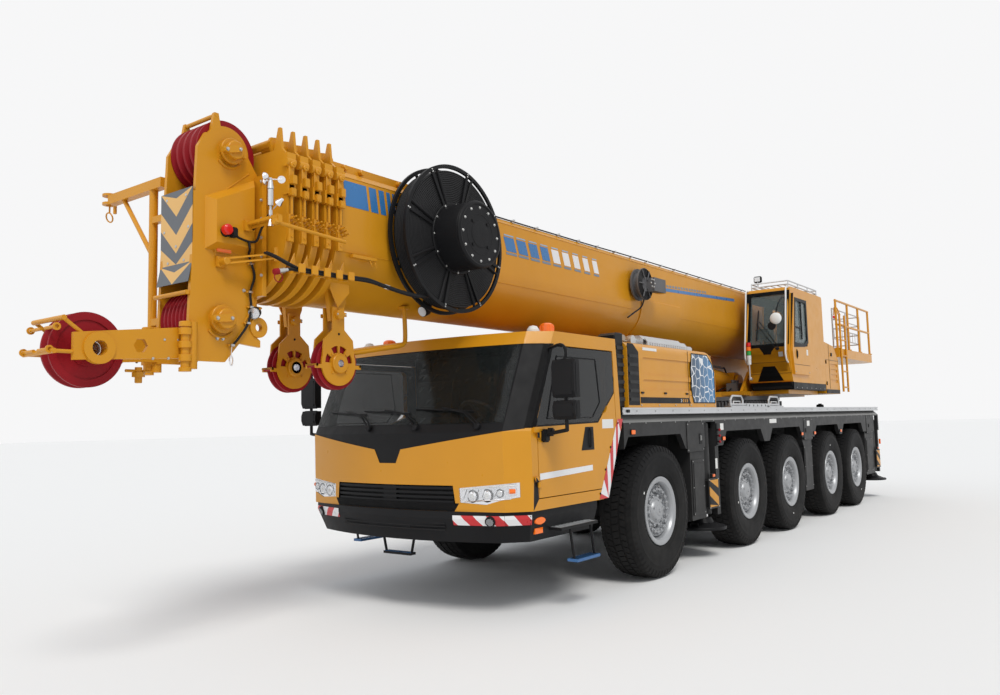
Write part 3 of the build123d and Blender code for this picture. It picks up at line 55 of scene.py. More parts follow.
# ---------------------------------------------------------------- materials
def material(
    name, colour, rough=0.4, metal=0.0, coat=0.0, spread=0.08, scale=1.6, bump=0.0, grain=90.0, dust=0.0,
    dust_top=1.6, alpha=1.0, glow=0.0, specular=0.5, pattern=None,
):
    """A finish whose colour varies softly, with a fine grain, and dust towards the ground."""
    made = bpy.data.materials.new(name)
    made.use_nodes = True
    tree = made.node_tree
    shader = tree.nodes["Principled BSDF"]
    shader.inputs["Metallic"].default_value = metal
    shader.inputs["Coat Weight"].default_value = coat
    shader.inputs["Coat Roughness"].default_value = 0.08
    shader.inputs["Specular IOR Level"].default_value = specular
    if alpha < 1:
        shader.inputs["Alpha"].default_value = alpha
    if glow:
        shader.inputs["Emission Color"].default_value = (*colour, 1)
        shader.inputs["Emission Strength"].default_value = glow
    link = tree.links.new
    place = tree.nodes.new("ShaderNodeTexCoord").outputs["Object"]

    def noise(size, detail=3.0):
        node = tree.nodes.new("ShaderNodeTexNoise")
        node.inputs["Scale"].default_value = size
        node.inputs["Detail"].default_value = detail
        link(place, node.inputs["Vector"])
        return node.outputs["Fac"]

    def spread_to(value, low, high, start=0.25, end=0.75):
        node = tree.nodes.new("ShaderNodeMapRange")
        for key, number in (("From Min", start), ("From Max", end), ("To Min", low), ("To Max", high)):
            node.inputs[key].default_value = number
        link(value, node.inputs["Value"])
        return node.outputs["Result"]

    def mixed(factor, first, second):
        node = tree.nodes.new("ShaderNodeMix")
        node.data_type = "RGBA"
        for socket, value in ((node.inputs[6], first), (node.inputs[7], second)):
            if isinstance(value, tuple):
                socket.default_value = (*value, 1)
            else:
                link(value, socket)
        link(factor, node.inputs["Factor"])
        return node.outputs[2]

    def times(first, second):
        node = tree.nodes.new("ShaderNodeMath")
        node.operation = "MULTIPLY"
        link(first, node.inputs[0])
        link(second, node.inputs[1])
        return node.outputs[0]

    dark = tuple(part * (1 - spread) for part in colour)
    light = tuple(min(1.0, part * (1 + spread)) for part in colour)
    shade = mixed(spread_to(noise(scale), 0.0, 1.0), dark, light)
    if pattern:
        shade = pattern(tree, place, mixed)
    if dust:
        height = tree.nodes.new("ShaderNodeSeparateXYZ")
        link(place, height.inputs[0])
        low = spread_to(height.outputs["Z"], dust, 0.0, 0.0, dust_top)
        cover = times(low, spread_to(noise(scale * 4, 5.0), 0.25, 1.0, 0.3, 0.7))
        shade = mixed(cover, shade, (0.36, 0.33, 0.29))
    link(shade, shader.inputs["Base Color"])
    link(
        spread_to(noise(scale * 6, 4.0), max(0.02, rough - 0.05), min(1.0, rough + 0.08)),
        shader.inputs["Roughness"],
    )
    if bump:
        relief = tree.nodes.new("ShaderNodeBump")
        relief.inputs["Strength"].default_value = bump
        relief.inputs["Distance"].default_value = 0.002
        link(noise(grain, 2.0), relief.inputs["Height"])
        link(relief.outputs["Normal"], shader.inputs["Normal"])
    return made


YELLOW = (0.60, 0.262, 0.010)
yellow = material(
    "yellow_gloss", YELLOW, 0.32, coat=0.12, specular=0.32, spread=0.04, bump=0.05, grain=120, dust=0.04,
    dust_top=1.1,
)
boom_yellow = material(
    "yellow_boom", YELLOW, 0.38, coat=0.08, specular=0.3, spread=0.045, bump=0.12, grain=60
)
dark = material(
    "dark_grey_paint", (0.022, 0.022, 0.0225), 0.46, spread=0.12, bump=0.1, dust=0.03, dust_top=1.4,
    specular=0.2,
)
edge_grey = material(
    "grey_edge_paint", (0.2, 0.2, 0.195), 0.45, spread=0.1, bump=0.1, dust=0.05, dust_top=1.9
)
black = material("black_satin_paint", (0.011, 0.011, 0.012), 0.42, spread=0.15, bump=0.08, specular=0.12)
frit = material("black_glass_edge", (0.008, 0.008, 0.009), 0.5, spread=0.1, specular=0.15)
plastic = material(
    "black_moulded_plastic", (0.012, 0.012, 0.013), 0.55, spread=0.15, bump=0.4, grain=500, dust=0.02,
    specular=0.15,
)
underside = material(
    "chassis_black_paint", (0.012, 0.012, 0.012), 0.6, spread=0.3, bump=0.3, dust=0.03, dust_top=1.3,
    specular=0.15,
)
aluminium = material(
    "brushed_aluminium", (0.56, 0.57, 0.58), 0.36, metal=0.85, spread=0.08, bump=0.15, grain=200
)
rim_silver = material(
    "rim_silver_paint", (0.36, 0.37, 0.385), 0.36, metal=0.4, spread=0.06, bump=0.08, dust=0.04
)
nut_steel = material("zinc_plated_steel", (0.5, 0.5, 0.49), 0.3, metal=0.9, spread=0.15)
chrome = material("hard_chrome", (0.8, 0.8, 0.82), 0.12, metal=1.0, spread=0.02)
red = material("sheave_red_nylon", (0.27, 0.008, 0.014), 0.42, spread=0.1, bump=0.15, specular=0.18)
rubber = material(
    "tyre_rubber_black", (0.0085, 0.0085, 0.009), 0.68, spread=0.2, bump=0.5, grain=160, dust=0.025,
    dust_top=0.5, specular=0.14,
)
hose = material("hose_rubber", (0.012, 0.012, 0.013), 0.5, spread=0.2, bump=0.3, grain=300, specular=0.2)
cable_black = material("cable_jacket", (0.014, 0.014, 0.015), 0.4, spread=0.2, specular=0.2)
grey_iron = material("cast_iron_grey", (0.1, 0.1, 0.105), 0.6, spread=0.2, bump=0.5, grain=140)
white = material("white_paint", (0.74, 0.74, 0.72), 0.35, spread=0.03)
label_white = material("blank_label", (0.72, 0.72, 0.7), 0.4, spread=0.03)
red_film = material("red_reflective_film", (0.55, 0.02, 0.025), 0.3, spread=0.06, bump=0.2, grain=400)
white_film = material("white_reflective_film", (0.75, 0.75, 0.76), 0.3, spread=0.03, bump=0.2, grain=400)
orange_lens = material("orange_lens", (0.85, 0.16, 0.01), 0.12, spread=0.1, glow=0.12)
red_lens = material("red_lens", (0.6, 0.01, 0.01), 0.12, spread=0.1, glow=0.08)
green_lens = material("green_lens", (0.03, 0.35, 0.06), 0.12, spread=0.1, glow=0.05)
clear_lens = material("clear_lens", (0.8, 0.82, 0.84), 0.04, spread=0.02, alpha=0.28)
reflector = material("lamp_reflector", (0.8, 0.8, 0.82), 0.12, metal=1.0, spread=0.05)
glass = material("tinted_glass", (0.02, 0.024, 0.024), 0.03, spread=0.05, alpha=0.6, specular=0.45)
dark_glass = material(
    "dark_tinted_glass", (0.010, 0.012, 0.013), 0.03, spread=0.05, alpha=0.75, specular=0.45
)
pale_glass = material("pale_tinted_glass", (0.20, 0.26, 0.26), 0.03, spread=0.05, alpha=0.42, specular=0.6)
mirror = material("mirror_glass", (0.75, 0.77, 0.8), 0.03, metal=1.0, spread=0.02)
blue = material("blue_film", (0.03, 0.16, 0.4), 0.28, spread=0.06)
pale_blue = material("pale_blue_film", (0.3, 0.42, 0.55), 0.3, spread=0.08)
rung_blue = material("blue_step_paint", (0.03, 0.12, 0.3), 0.4, spread=0.1)
trim = material("cab_trim_plastic", (0.05, 0.048, 0.046), 0.6, spread=0.1, bump=0.3, grain=300)
seat_cloth = material("seat_cloth", (0.06, 0.055, 0.05), 0.9, spread=0.15, bump=0.8, grain=500)
rope_steel = material("wire_rope", (0.2, 0.19, 0.18), 0.5, metal=0.6, spread=0.25, bump=0.6, grain=260)


# ---------------------------------------------------------------- mesh helpers
class Piece:
    """One visible piece: shapes are added to it, then done() makes the object and puts it on its body."""

    def __init__(self, name, body, slot, *finishes):
        self.name, self.body, self.slot = name, body, slot
        self.finishes = finishes
        self.mesh = bmesh.new()

    def _paint(self, faces, finish):
        for face in faces:
            face.material_index = finish

    def solid(self, rings, finish=0, ends=True):
        """Skin over rings of points that all have the same count."""
        rows = [[self.mesh.verts.new(point) for point in ring] for ring in rings]
        faces = []
        for low, high in zip(rows, rows[1:]):
            for number in range(len(low)):
                after = (number + 1) % len(low)
                faces.append(self.mesh.faces.new((low[number], low[after], high[after], high[number])))
        if ends:
            faces.append(self.mesh.faces.new(list(reversed(rows[0]))))
            faces.append(self.mesh.faces.new(rows[-1]))
        self._paint(faces, finish)
        return faces

    def box(self, x, y, z, bevel=0.0, finish=0):
        """A box between two values on each axis."""
        x, y, z = sorted(x), sorted(y), sorted(z)
        corners = [(x[0], y[0]), (x[1], y[0]), (x[1], y[1]), (x[0], y[1])]
        faces = self.solid([[(a, b, level) for a, b in corners] for level in z], finish)
        if bevel:
            edges = {edge for face in faces for edge in face.edges}
            bmesh.ops.bevel(
                self.mesh, geom=list(edges), offset=bevel, segments=2, affect="EDGES", material=finish
            )

    def plate(self, outline, axis, low, high, bevel=0.0, finish=0):
        """An outline of two coordinates, filled between two values on the third axis."""

        def at(point, value):
            spot = list(point)
            spot.insert("xyz".index(axis), value)
            return tuple(spot)

        faces = self.solid([[at(point, value) for point in outline] for value in (low, high)], finish)
        if bevel:
            edges = {edge for face in faces[-2:] for edge in face.edges}
            bmesh.ops.bevel(
                self.mesh, geom=list(edges), offset=bevel, segments=1, affect="EDGES", material=finish
            )

    def rod(self, start, end, radius, sides=16, finish=0, tip=None, chamfer=0.0):
        """A round bar; tip is the radius at its end, chamfer breaks the edge there."""
        start, end = Vector(start), Vector(end)
        along = (end - start).normalized()
        first = along.orthogonal().normalized()
        second = along.cross(first)
        tip = radius if tip is None else tip
        stations = [(start, radius), (end, tip)]
        if chamfer:
            stations = [(start, radius), (end - along * chamfer, tip), (end, tip - chamfer)]
        self.solid(
            [
                [
                    spot + (first * cos(2 * pi * n / sides) + second * sin(2 * pi * n / sides)) * size
                    for n in range(sides)
                ]
                for spot, size in stations
            ],
            finish,
        )

    def lathe(self, outline, centre, axis="y", sides=48, finish=0, closed=False):
        """An outline of (distance along the axis, radius), turned about it."""
        centre = Vector(centre)
        order = "xyz".index(axis)
        along, first, second = (
            Vector([float(index == (order + turn) % 3) for index in range(3)]) for turn in range(3)
        )
        columns = []
        for number in range(sides):
            turn = 2 * pi * number / sides
            out = first * cos(turn) + second * sin(turn)
            columns.append(
                [self.mesh.verts.new(centre + along * step + out * radius) for step, radius in outline]
            )
        faces = []
        count = len(outline)
        for number in range(sides):
            here, there = columns[number], columns[(number + 1) % sides]
            for row in range(count if closed else count - 1):
                after = (row + 1) % count
                faces.append(self.mesh.faces.new((here[row], here[after], there[after], there[row])))
        self._paint(faces, finish)
        return faces

    def tube(self, points, radius, sides=8, finish=0, steps=6, smooth=True):
        """A hose or bent bar through the points."""
        points = [Vector(point) for point in points]
        path = []
        if smooth and len(points) > 2:
            for number in range(len(points) - 1):
                before = points[max(number - 1, 0)]
                here, there = points[number], points[number + 1]
                after = points[min(number + 2, len(points) - 1)]
                for step in range(steps):
                    t = step / steps
                    path.append(
                        0.5
                        * (
                            2 * here + (there - before) * t
                            + (2 * before - 5 * here + 4 * there - after) * t * t
                            + (3 * here - before - 3 * there + after) * t**3
                        )
                    )
            path.append(points[-1])
        else:
            path = points
        rings = []
        across = None
        for number, spot in enumerate(path):
            along = (path[min(number + 1, len(path) - 1)] - path[max(number - 1, 0)]).normalized()
            across = along.orthogonal() if across is None else across - along * across.dot(along)
            across.normalize()
            other = along.cross(across)
            rings.append(
                [
                    spot + (across * cos(2 * pi * n / sides) + other * sin(2 * pi * n / sides)) * radius
                    for n in range(sides)
                ]
            )
        self.solid(rings, finish)

    def bolt(self, spot, axis, size=0.012, finish=0, washer=True):
        """A six-sided bolt head on its washer, standing on the spot along the axis."""
        spot, axis = Vector(spot), Vector(axis).normalized()
        if washer:
            self.rod(spot, spot + axis * size * 0.25, size * 1.25, 12, finish)
        self.rod(spot, spot + axis * size, size, 6, finish, chamfer=size * 0.15)

    def done(self, angle=35):
        """The object, shaded smooth between faces that meet at a small angle."""
        bmesh.ops.recalc_face_normals(self.mesh, faces=self.mesh.faces)
        data = bpy.data.meshes.new(self.name)
        self.mesh.to_mesh(data)
        self.mesh.free()
        for finish in self.finishes:
            data.materials.append(finish)
        data.shade_smooth()
        data.set_sharp_from_angle(angle=radians(angle))
        made = bpy.data.objects.new(self.name, data)
        scene.collection.objects.link(made)
        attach(made, self.body)
        return made


def centre(node):
    """The middle of a CAD node's box."""
    low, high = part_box(node)
    return (low + high) / 2


def spokes(count, start=0.0, axis="y"):
    """Unit directions round a circle across an axis, from a start angle."""
    first, second = Vector((1, 0, 0)), Vector((0, 0, 1) if axis == "y" else (0, 1, 0))
    turns = [start + 2 * pi * number / count for number in range(count)]
    return [first * cos(turn) + second * sin(turn) for turn in turns]


def washer(piece, middle, axis, span, radii, sides, finish=0):
    """A round band between two places along an axis and two radii."""
    (low, high), (inner, outer) = span, radii
    outline = [(low, inner), (high, inner), (high, outer), (low, outer)]
    piece.lathe(outline, middle, axis, sides, finish, closed=True)


def handle(piece, start, end, rise, radius, sides, finish):
    """A bar that rises from its start, runs level and comes down to its end."""
    start, end, up_by = Vector(start), Vector(end), Vector((0, 0, rise))
    piece.tube([start, start + up_by, end + up_by, end], radius, sides, finish, smooth=False)


def dome(piece, spot, out, depth, radius, steps, sides, finish, tip):
    """A rounded cup that bulges along a direction; tip is the least radius at its end."""
    for step in range(steps):
        near, far = pi / 2 * step / steps, pi / 2 * (step + 1) / steps
        start, end = spot + out * depth * sin(near), spot + out * depth * sin(far)
        piece.rod(start, end, radius * cos(near), sides, finish, tip=max(tip, radius * cos(far)))


skins = {}


def skin(node):
    """The surface of a CAD node, to lay other pieces on."""
    if node not in skins:
        data = nodes[node].data
        skins[node] = BVHTree.FromPolygons([v.co for v in data.vertices], [p.vertices for p in data.polygons])
    return skins[node]


def within(corners, u, v):
    """The point at u along and v across a patch with four corners."""
    a, b, c, d = corners
    return (a * (1 - u) + b * u) * (1 - v) + (d * (1 - u) + c * u) * v


def patch(corners, parts, place):
    """Rows of the points that place() gives over a patch with four corners."""
    corners = [Vector(corner) for corner in corners]
    return [
        [place(within(corners, step / parts[0], level / parts[1])) for step in range(parts[0] + 1)]
        for level in range(parts[1] + 1)
    ]


def weave(piece, rows, finish=0):
    """Faces between rows of points."""
    grid = [[piece.mesh.verts.new(spot) for spot in row] for row in rows]
    faces = [
        piece.mesh.faces.new((low[n], low[n + 1], high[n + 1], high[n]))
        for low, high in zip(grid, grid[1:])
        for n in range(len(low) - 1)
    ]
    for face in faces:
        face.material_index = finish
    return faces


def pane(piece, rows, thickness=0.004, finish=0):
    """A curved pane from rows of points, given its thickness inwards."""
    bmesh.ops.solidify(piece.mesh, geom=weave(piece, rows, finish), thickness=thickness)


def pressed(node, spot, towards, lift, start=0.5, reach=10.0):
    """The point at a lift over a CAD surface that a ray along towards meets, or None."""
    hit, normal, _, _ = skin(node).ray_cast(spot - towards * start, towards, reach)
    if hit is None:
        return None
    return hit + (normal if normal.dot(towards) < 0 else -normal) * lift


def paint(node, finish, *rules):
    """Gives a CAD node its finish, and others to faces that a rule picks by middle and normal."""
    data = nodes[node].data
    data.materials.clear()
    for made in (finish, *(rule[0] for rule in rules)):
        data.materials.append(made)
    for face in data.polygons:
        face.material_index = 0
        for number, (_, test) in enumerate(rules):
            if test(face.center, face.normal):
                face.material_index = number + 1


# ---------------------------------------------------------------- places, read from the CAD frame
AXLES = [centre(f"wheel_{number}_left").x for number in range(1, 6)]
AXLE_1 = AXLES[0]
TYRE = centre("wheel_1_left")
TYRE_RADIUS = TYRE.z
DECK_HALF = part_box("deck")[1].y
DECK_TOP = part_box("deck")[1].z
CAB_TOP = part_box("cab_shell")[1].z
CAB_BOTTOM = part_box("cab_shell")[0].z
SLEW_X = centre("slew_ring").x
SIDES = (("left", 1), ("right", -1))

# ---------------------------------------------------------------- camera, light and floor
# fitted to the photo: where the camera stands, how it is turned, and its focal length in picture widths
CAMERA = Vector((AXLE_1 + 7.913, 5.260, 1.642))
FOCAL = 825.54 / 1000
YAW, PITCH, ROLL = radians(216.888), radians(5.131), radians(-1.414)
forward = Vector((cos(PITCH) * cos(YAW), cos(PITCH) * sin(YAW), sin(PITCH)))
right = forward.cross(Vector((0, 0, 1))).normalized()
up = right.cross(forward)
right, up = cos(ROLL) * right + sin(ROLL) * up, -sin(ROLL) * right + cos(ROLL) * up
lens = bpy.data.cameras.new("camera")
lens.sensor_width = 36
lens.lens = FOCAL * lens.sensor_width
lens.clip_end = 400
camera = bpy.data.objects.new("camera", lens)
camera.matrix_world = Matrix(
    (
        (right.x, up.x, -forward.x, CAMERA.x), (right.y, up.y, -forward.y, CAMERA.y),
        (right.z, up.z, -forward.z, CAMERA.z), (0, 0, 0, 1),
    )
)
scene.collection.objects.link(camera)
scene.camera = camera
scene.view_settings.view_transform = "Standard"


def seen_as(tree, colour, other):
    """Mixes in a plain colour for what the camera sees directly, in glossy surfaces or through glass."""
    path = tree.nodes.new("ShaderNodeLightPath")
    total = None
    for ray in ("Is Camera Ray", "Is Glossy Ray", "Is Transmission Ray"):
        if total is None:
            total = path.outputs[ray]
            continue
        both = tree.nodes.new("ShaderNodeMath")
        both.operation = "MAXIMUM"
        tree.links.new(total, both.inputs[0])
        tree.links.new(path.outputs[ray], both.inputs[1])
        total = both.outputs[0]
    plain = tree.nodes.new("ShaderNodeBackground")
    plain.inputs["Color"].default_value = (*colour, 1)
    mix = tree.nodes.new("ShaderNodeMixShader")
    tree.links.new(total, mix.inputs[0])
    tree.links.new(other, mix.inputs[1])
    tree.links.new(plain.outputs[0], mix.inputs[2])
    return mix.outputs[0]


world = bpy.data.worlds.new("studio")
scene.world = world
world.use_nodes = True
ambient = world.node_tree.nodes["Background"]
ambient.inputs["Color"].default_value = (0.93, 0.96, 1.0, 1)
ambient.inputs["Strength"].default_value = 0.55
world.node_tree.links.new(
    seen_as(world.node_tree, (0.93, 0.93, 0.935), ambient.outputs[0]),
    world.node_tree.nodes["World Output"].inputs["Surface"],
)


def lamp(name, towards, strength, angle, colour=(1, 1, 1)):
    """A soft distant light that shines along a direction."""
    light = bpy.data.lights.new(name, "SUN")
    light.energy, light.angle, light.color = strength, radians(angle), colour
    made = bpy.data.objects.new(name, light)
    made.rotation_euler = Vector(towards).to_track_quat("-Z", "Y").to_euler()
    scene.collection.objects.link(made)


lamp("key", (-0.45, -0.62, -0.95), 1.75, 22, (1.0, 0.985, 0.95))
lamp("front_fill", (-1.0, 0.25, -0.35), 0.45, 60)

floor_mesh = bmesh.new()
bmesh.ops.create_circle(floor_mesh, cap_ends=True, segments=96, radius=160)
floor_data = bpy.data.meshes.new("floor")
floor_mesh.to_mesh(floor_data)
floor = bpy.data.objects.new("floor", floor_data)
scene.collection.objects.link(floor)
floor_paint = bpy.data.materials.new("pale_floor")
floor_paint.use_nodes = True
floor_shader = floor_paint.node_tree.nodes["Principled BSDF"]
floor_shader.inputs["Base Color"].default_value = (0.88, 0.88, 0.88, 1)
floor_shader.inputs["Roughness"].default_value = 0.85
floor_shader.inputs["Specular IOR Level"].default_value = 0.1
floor_data.materials.append(floor_paint)


# ---------------------------------------------------------------- finishes of the CAD nodes
paint("carrier_frame", underside)
paint("axles", underside)
paint("engine_block", grey_iron)
paint("deck", underside, (aluminium, lambda spot, normal: abs(spot.y) > DECK_HALF - 0.07))
paint(
    "side_skirts", dark,
    (edge_grey, lambda spot, normal: normal.z > 0.4 and abs(normal.y) > 0.4 and spot.z > DECK_TOP - 0.2),
)
hood_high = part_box("engine_hood")[1]


def on_grilles(spot, normal):
    """Faces of the hood's air grilles, on both flanks behind the cab."""
    return (
        hood_high.x - 0.26 < spot.x < hood_high.x - 0.06 and DECK_HALF - 0.1 < abs(spot.y) < DECK_HALF - 0.015
        and spot.z < hood_high.z - 0.05 and abs(normal.y) < 0.99
    )


paint("engine_hood", yellow, (black, on_grilles))
paint("exhaust", aluminium)
paint("slew_ring", grey_iron)
paint("turntable", yellow)
paint("counterweight", yellow)
paint("platform", yellow)
paint("winch_drum", yellow)
for side_name, _ in SIDES:
    for end in ("front", "rear"):
        paint(f"outrigger_beam_{end}_{side_name}", dark)
        paint(f"outrigger_jack_{end}_{side_name}", chrome, (black, lambda spot, normal: spot.z < 0.47))
    for number in (1, 2, 4, 5):
        paint(f"knuckle_{number}_{side_name}", underside)
    for number in range(1, 6):
        paint(f"wheel_{number}_{side_name}", rubber)
for name in ("boom_section_2", "boom_section_3", "boom_section_4", "boom_section_5", "boom_head"):
    paint(name, boom_yellow)
for name in ("top_sheaves", "bottom_sheaves", "front_sheave"):
    paint(name, red)
paint("lift_barrel", yellow)
paint("lift_rod", chrome)


# ---------------------------------------------------------------- wheels
def tyre_mesh():
    """The tyre about its own middle, outer side towards +Y: carcass, shoulder lugs and tread ribs."""
    tyre = Piece("tyre", "carrier", "tyre_rubber", rubber, white)
    top = TYRE_RADIUS - 0.001
    groove = top - 0.016
    half = 0.1925
    # (y, radius) of the carcass, from the inner bead over the tread to the outer bead
    wall = [
        (0.142, 0.301), (0.150, 0.335), (0.158, 0.352), (0.170, 0.372), (0.178, 0.400), (0.1795, 0.406),
        (0.1815, 0.406), (0.186, 0.440), (0.1915, 0.480), (half, 0.520), (0.1915, 0.556), (0.1925, 0.560),
        (0.190, 0.566), (0.187, 0.600), (0.180, 0.632), (0.168, groove - 0.006),
    ]
    floor_line = [(0.150, groove), (0.105, groove + 0.002), (0.05, groove + 0.003), (0.0, groove + 0.003)]
    outer = wall + floor_line
    outline = outer + [(-y, radius) for y, radius in reversed(outer[:-1])]
    tyre.lathe(outline, (0, 0, 0), "y", 96)
    # tread blocks: shoulder lugs and three zigzag rows between; each row's place, width, shift and length
    pitch_count = 60
    pitch = 2 * pi / pitch_count
    tread = (
        (-0.146, 0.052, 0.0, 0.70), (-0.082, 0.056, 0.5, 0.80), (0.0, 0.074, 0.15, 0.84),
        (0.082, 0.056, 0.5, 0.80), (0.146, 0.052, 0.0, 0.70),
    )
    for number in range(pitch_count):
        for row, (y, width, shift, length) in enumerate(tread):
            rings = []
            for sink, shrink in ((0.022, 1.0), (0.0, 0.9)):
                ring = []
                for half, step in ((-0.5, -0.5), (-0.5, 0.5), (0.5, 0.5), (0.5, -0.5)):
                    skew = 0.22 * half * (1 if row % 2 else -1)
                    around = pitch * (number + shift + step * length + skew)
                    radius = top - 0.018 * (abs(y + width * half) / 0.165) ** 2 - sink
                    ring.append((radius * sin(around), y + width * half * shrink, radius * cos(around)))
                rings.append(ring)
            tyre.solid(rings)
    # lugs that run down the shoulder
    for number in range(pitch_count):
        for side in (-1, 1):
            rings = []
            for y, radius, half_turn in ((0.172, 0.663, 0.32), (0.1865, 0.628, 0.26), (0.1885, 0.606, 0.2)):
                ring = []
                for step, out in ((-1, 0.0), (1, 0.0), (1, -0.012), (-1, -0.012)):
                    around = pitch * (number + step * half_turn)
                    ring.append((radius * sin(around), side * (y + out), radius * cos(around)))
                rings.append(ring)
            tyre.solid(rings)
    # balance dash on the outer wall
    dash = [(0.44, 196), (0.44, 199), (0.455, 199), (0.455, 196)]
    dash = [(radius * sin(radians(turn)), radius * cos(radians(turn))) for radius, turn in dash]
    tyre.plate(dash, "y", 0.180, 0.1925, finish=1)
    return tyre


def rim_mesh():
    """Steel rim with its disc, wheel nuts, planetary hub and hub bolts."""
    rim = Piece("rim", "carrier", "bare_aluminium", rim_silver, nut_steel, underside)
    outline = [
        (0.150, 0.288), (0.166, 0.300), (0.170, 0.320), (0.176, 0.338), (0.174, 0.349), (0.166, 0.352),
        (0.160, 0.349), (0.157, 0.330), (0.150, 0.302), (0.110, 0.296), (0.070, 0.286), (0.03, 0.284),
        (-0.12, 0.290), (-0.150, 0.302), (-0.157, 0.330), (-0.170, 0.350), (-0.172, 0.338), (-0.160, 0.290),
        (-0.10, 0.276), (0.04, 0.272), (0.08, 0.27), (0.118, 0.262), (0.126, 0.252), (0.118, 0.243),
        (0.100, 0.236), (0.100, 0.190), (0.08, 0.182), (0.06, 0.175), (0.06, 0.168), (0.05, 0.168),
        (0.05, 0.262), (0.10, 0.275), (0.140, 0.283),
    ]
    rim.lathe(outline, (0, 0, 0), "y", 64, closed=True)
    # hub: flange, bell and cap
    hub = [
        (0.03, 0.0), (0.03, 0.172), (0.088, 0.172), (0.094, 0.166), (0.094, 0.150), (0.112, 0.146),
        (0.118, 0.140), (0.118, 0.122), (0.136, 0.112), (0.148, 0.098), (0.153, 0.078), (0.153, 0.058),
        (0.158, 0.052), (0.160, 0.044), (0.160, 0.0),
    ]
    rim.lathe(hub, (0, 0, 0), "y", 48)
    # wheel nuts on their studs, hub bolts and cap screws: count, ring radius, start, then one part of each
    for count, ring, start, low, high, radius, sides, chamfer in (
        (20, 0.219, 0.0, 0.098, 0.112, 0.024, 12, 0.003), (20, 0.219, 0.0, 0.110, 0.143, 0.0195, 6, 0.006),
        (20, 0.219, 0.0, 0.14, 0.152, 0.0105, 8, 0.003), (10, 0.150, 0.5, 0.094, 0.122, 0.0185, 8, 0.005),
        (5, 0.105, 0.0, 0.144, 0.154, 0.009, 6, 0.0),
    ):
        for out in spokes(count, pi / 2 - 2 * pi * start / count):
            foot = out * ring + Vector((0, low, 0))
            rim.rod(foot, foot + Vector((0, high - low, 0)), radius, sides, 0, chamfer=chamfer)
    rim.rod((0, 0.157, 0.0), (0, 0.168, 0.0), 0.018, 6, 0, chamfer=0.003)
    # valve
    rim.tube([(0.0, 0.13, 0.268), (0.0, 0.155, 0.262), (0.0, 0.168, 0.24)], 0.004, 6, 1)
    # brake drum behind the disc
    rim.lathe([(-0.11, 0.0), (-0.11, 0.262), (0.046, 0.262), (0.046, 0.0)], (0, 0, 0), "y", 48, 2)
    return rim


tyre_piece, rim_piece = tyre_mesh(), rim_mesh()
wheel_meshes = []
for piece in (tyre_piece, rim_piece):
    made = piece.done(angle=32)
    wheel_meshes.append(made.data)
    bpy.data.objects.remove(made)
for number in range(1, 6):
    for side_name, side in SIDES:
        name = f"wheel_{number}_{side_name}"
        for kind, data, slot in zip(("tyre", "rim"), wheel_meshes, ("tyre_rubber", "bare_aluminium")):
            spin = Matrix.Rotation(random.uniform(0, 2 * pi), 4, "Y")
            face = Matrix.Rotation(0 if side > 0 else pi, 4, "Z")
            if kind == "tyre":
                # each tyre is turned differently, in its mesh, so that its own box stays upright
                data = data.copy()
                data.transform(spin)
            part = bpy.data.objects.new(f"{kind}_{number}_{side_name}", data)
            scene.collection.objects.link(part)
            part.matrix_world = Matrix.Translation(centre(name)) @ face
            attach(part, name)
            if kind == "tyre":
                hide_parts(name)


# ---------------------------------------------------------------- driver's cab
CAB_HALF = DECK_HALF
BELT = CAB_BOTTOM + 0.66


def cab_front(y, z, depth=0.0):
    """x of the cab's front skin at a point of its front view."""
    if z > BELT:
        share = (z - BELT) / (CAB_TOP - BELT)
        front, corner = 2.620 - 0.420 * share, 2.450 - 0.390 * share
    else:
        share = (z - CAB_BOTTOM) / (BELT - CAB_BOTTOM)
        front, corner = 2.600 + 0.020 * share, 2.440 + 0.010 * share
    half = CAB_HALF - 0.170
    if abs(y) > half:
        x = corner - (abs(y) - half)
    else:
        rise = front - corner
        bend = (half * half + rise * rise) / (2 * rise)
        x = front - bend + sqrt(bend * bend - y * y)
    return AXLE_1 + x - depth


def front_patch(piece, corners, depth, thickness, parts=(24, 10), finish=0):
    """A pane that follows the cab's front, from its four (y, z) corners."""
    rows = patch(corners, parts, lambda spot: (cab_front(*spot, depth), *spot))
    pane(piece, rows, thickness, finish)


def distinct(points, apart):
    """The points without those that fall on an earlier one."""
    kept = []
    for spot in points:
        if all((spot - other).length > apart for other in kept):
            kept.append(spot)
    return kept


def striped(piece, node, corners, towards, count, slant, lift=0.0035, parts=4):
    """Slanting bands of the first two finishes over a CAD surface, cut off square at the ends."""
    corners = [Vector(corner) for corner in corners]
    towards = Vector(towards).normalized()
    levels = 8
    for number in range(-4, count + 4):
        rows = []
        for level in range(levels + 1):
            v = level / levels
            row = []
            for step in range(parts + 1):
                u = (number + step / parts) / count + slant * (v - 0.5)
                row.append(pressed(node, within(corners, min(1.0, max(0.0, u)), v), towards, lift, 0.2, 0.5))
            rows.append(row)
        for low, high in zip(rows, rows[1:]):
            for step in range(parts):
                quad = [low[step], low[step + 1], high[step + 1], high[step]]
                if None in quad:
                    continue
                if (quad[1] - quad[0]).length < 1e-5 and (quad[2] - quad[3]).length < 1e-5:
                    continue
                points = distinct(quad, 1e-5)
                if len(points) > 2:
                    face = piece.mesh.faces.new([piece.mesh.verts.new(spot) for spot in points])
                    face.material_index = number % 2


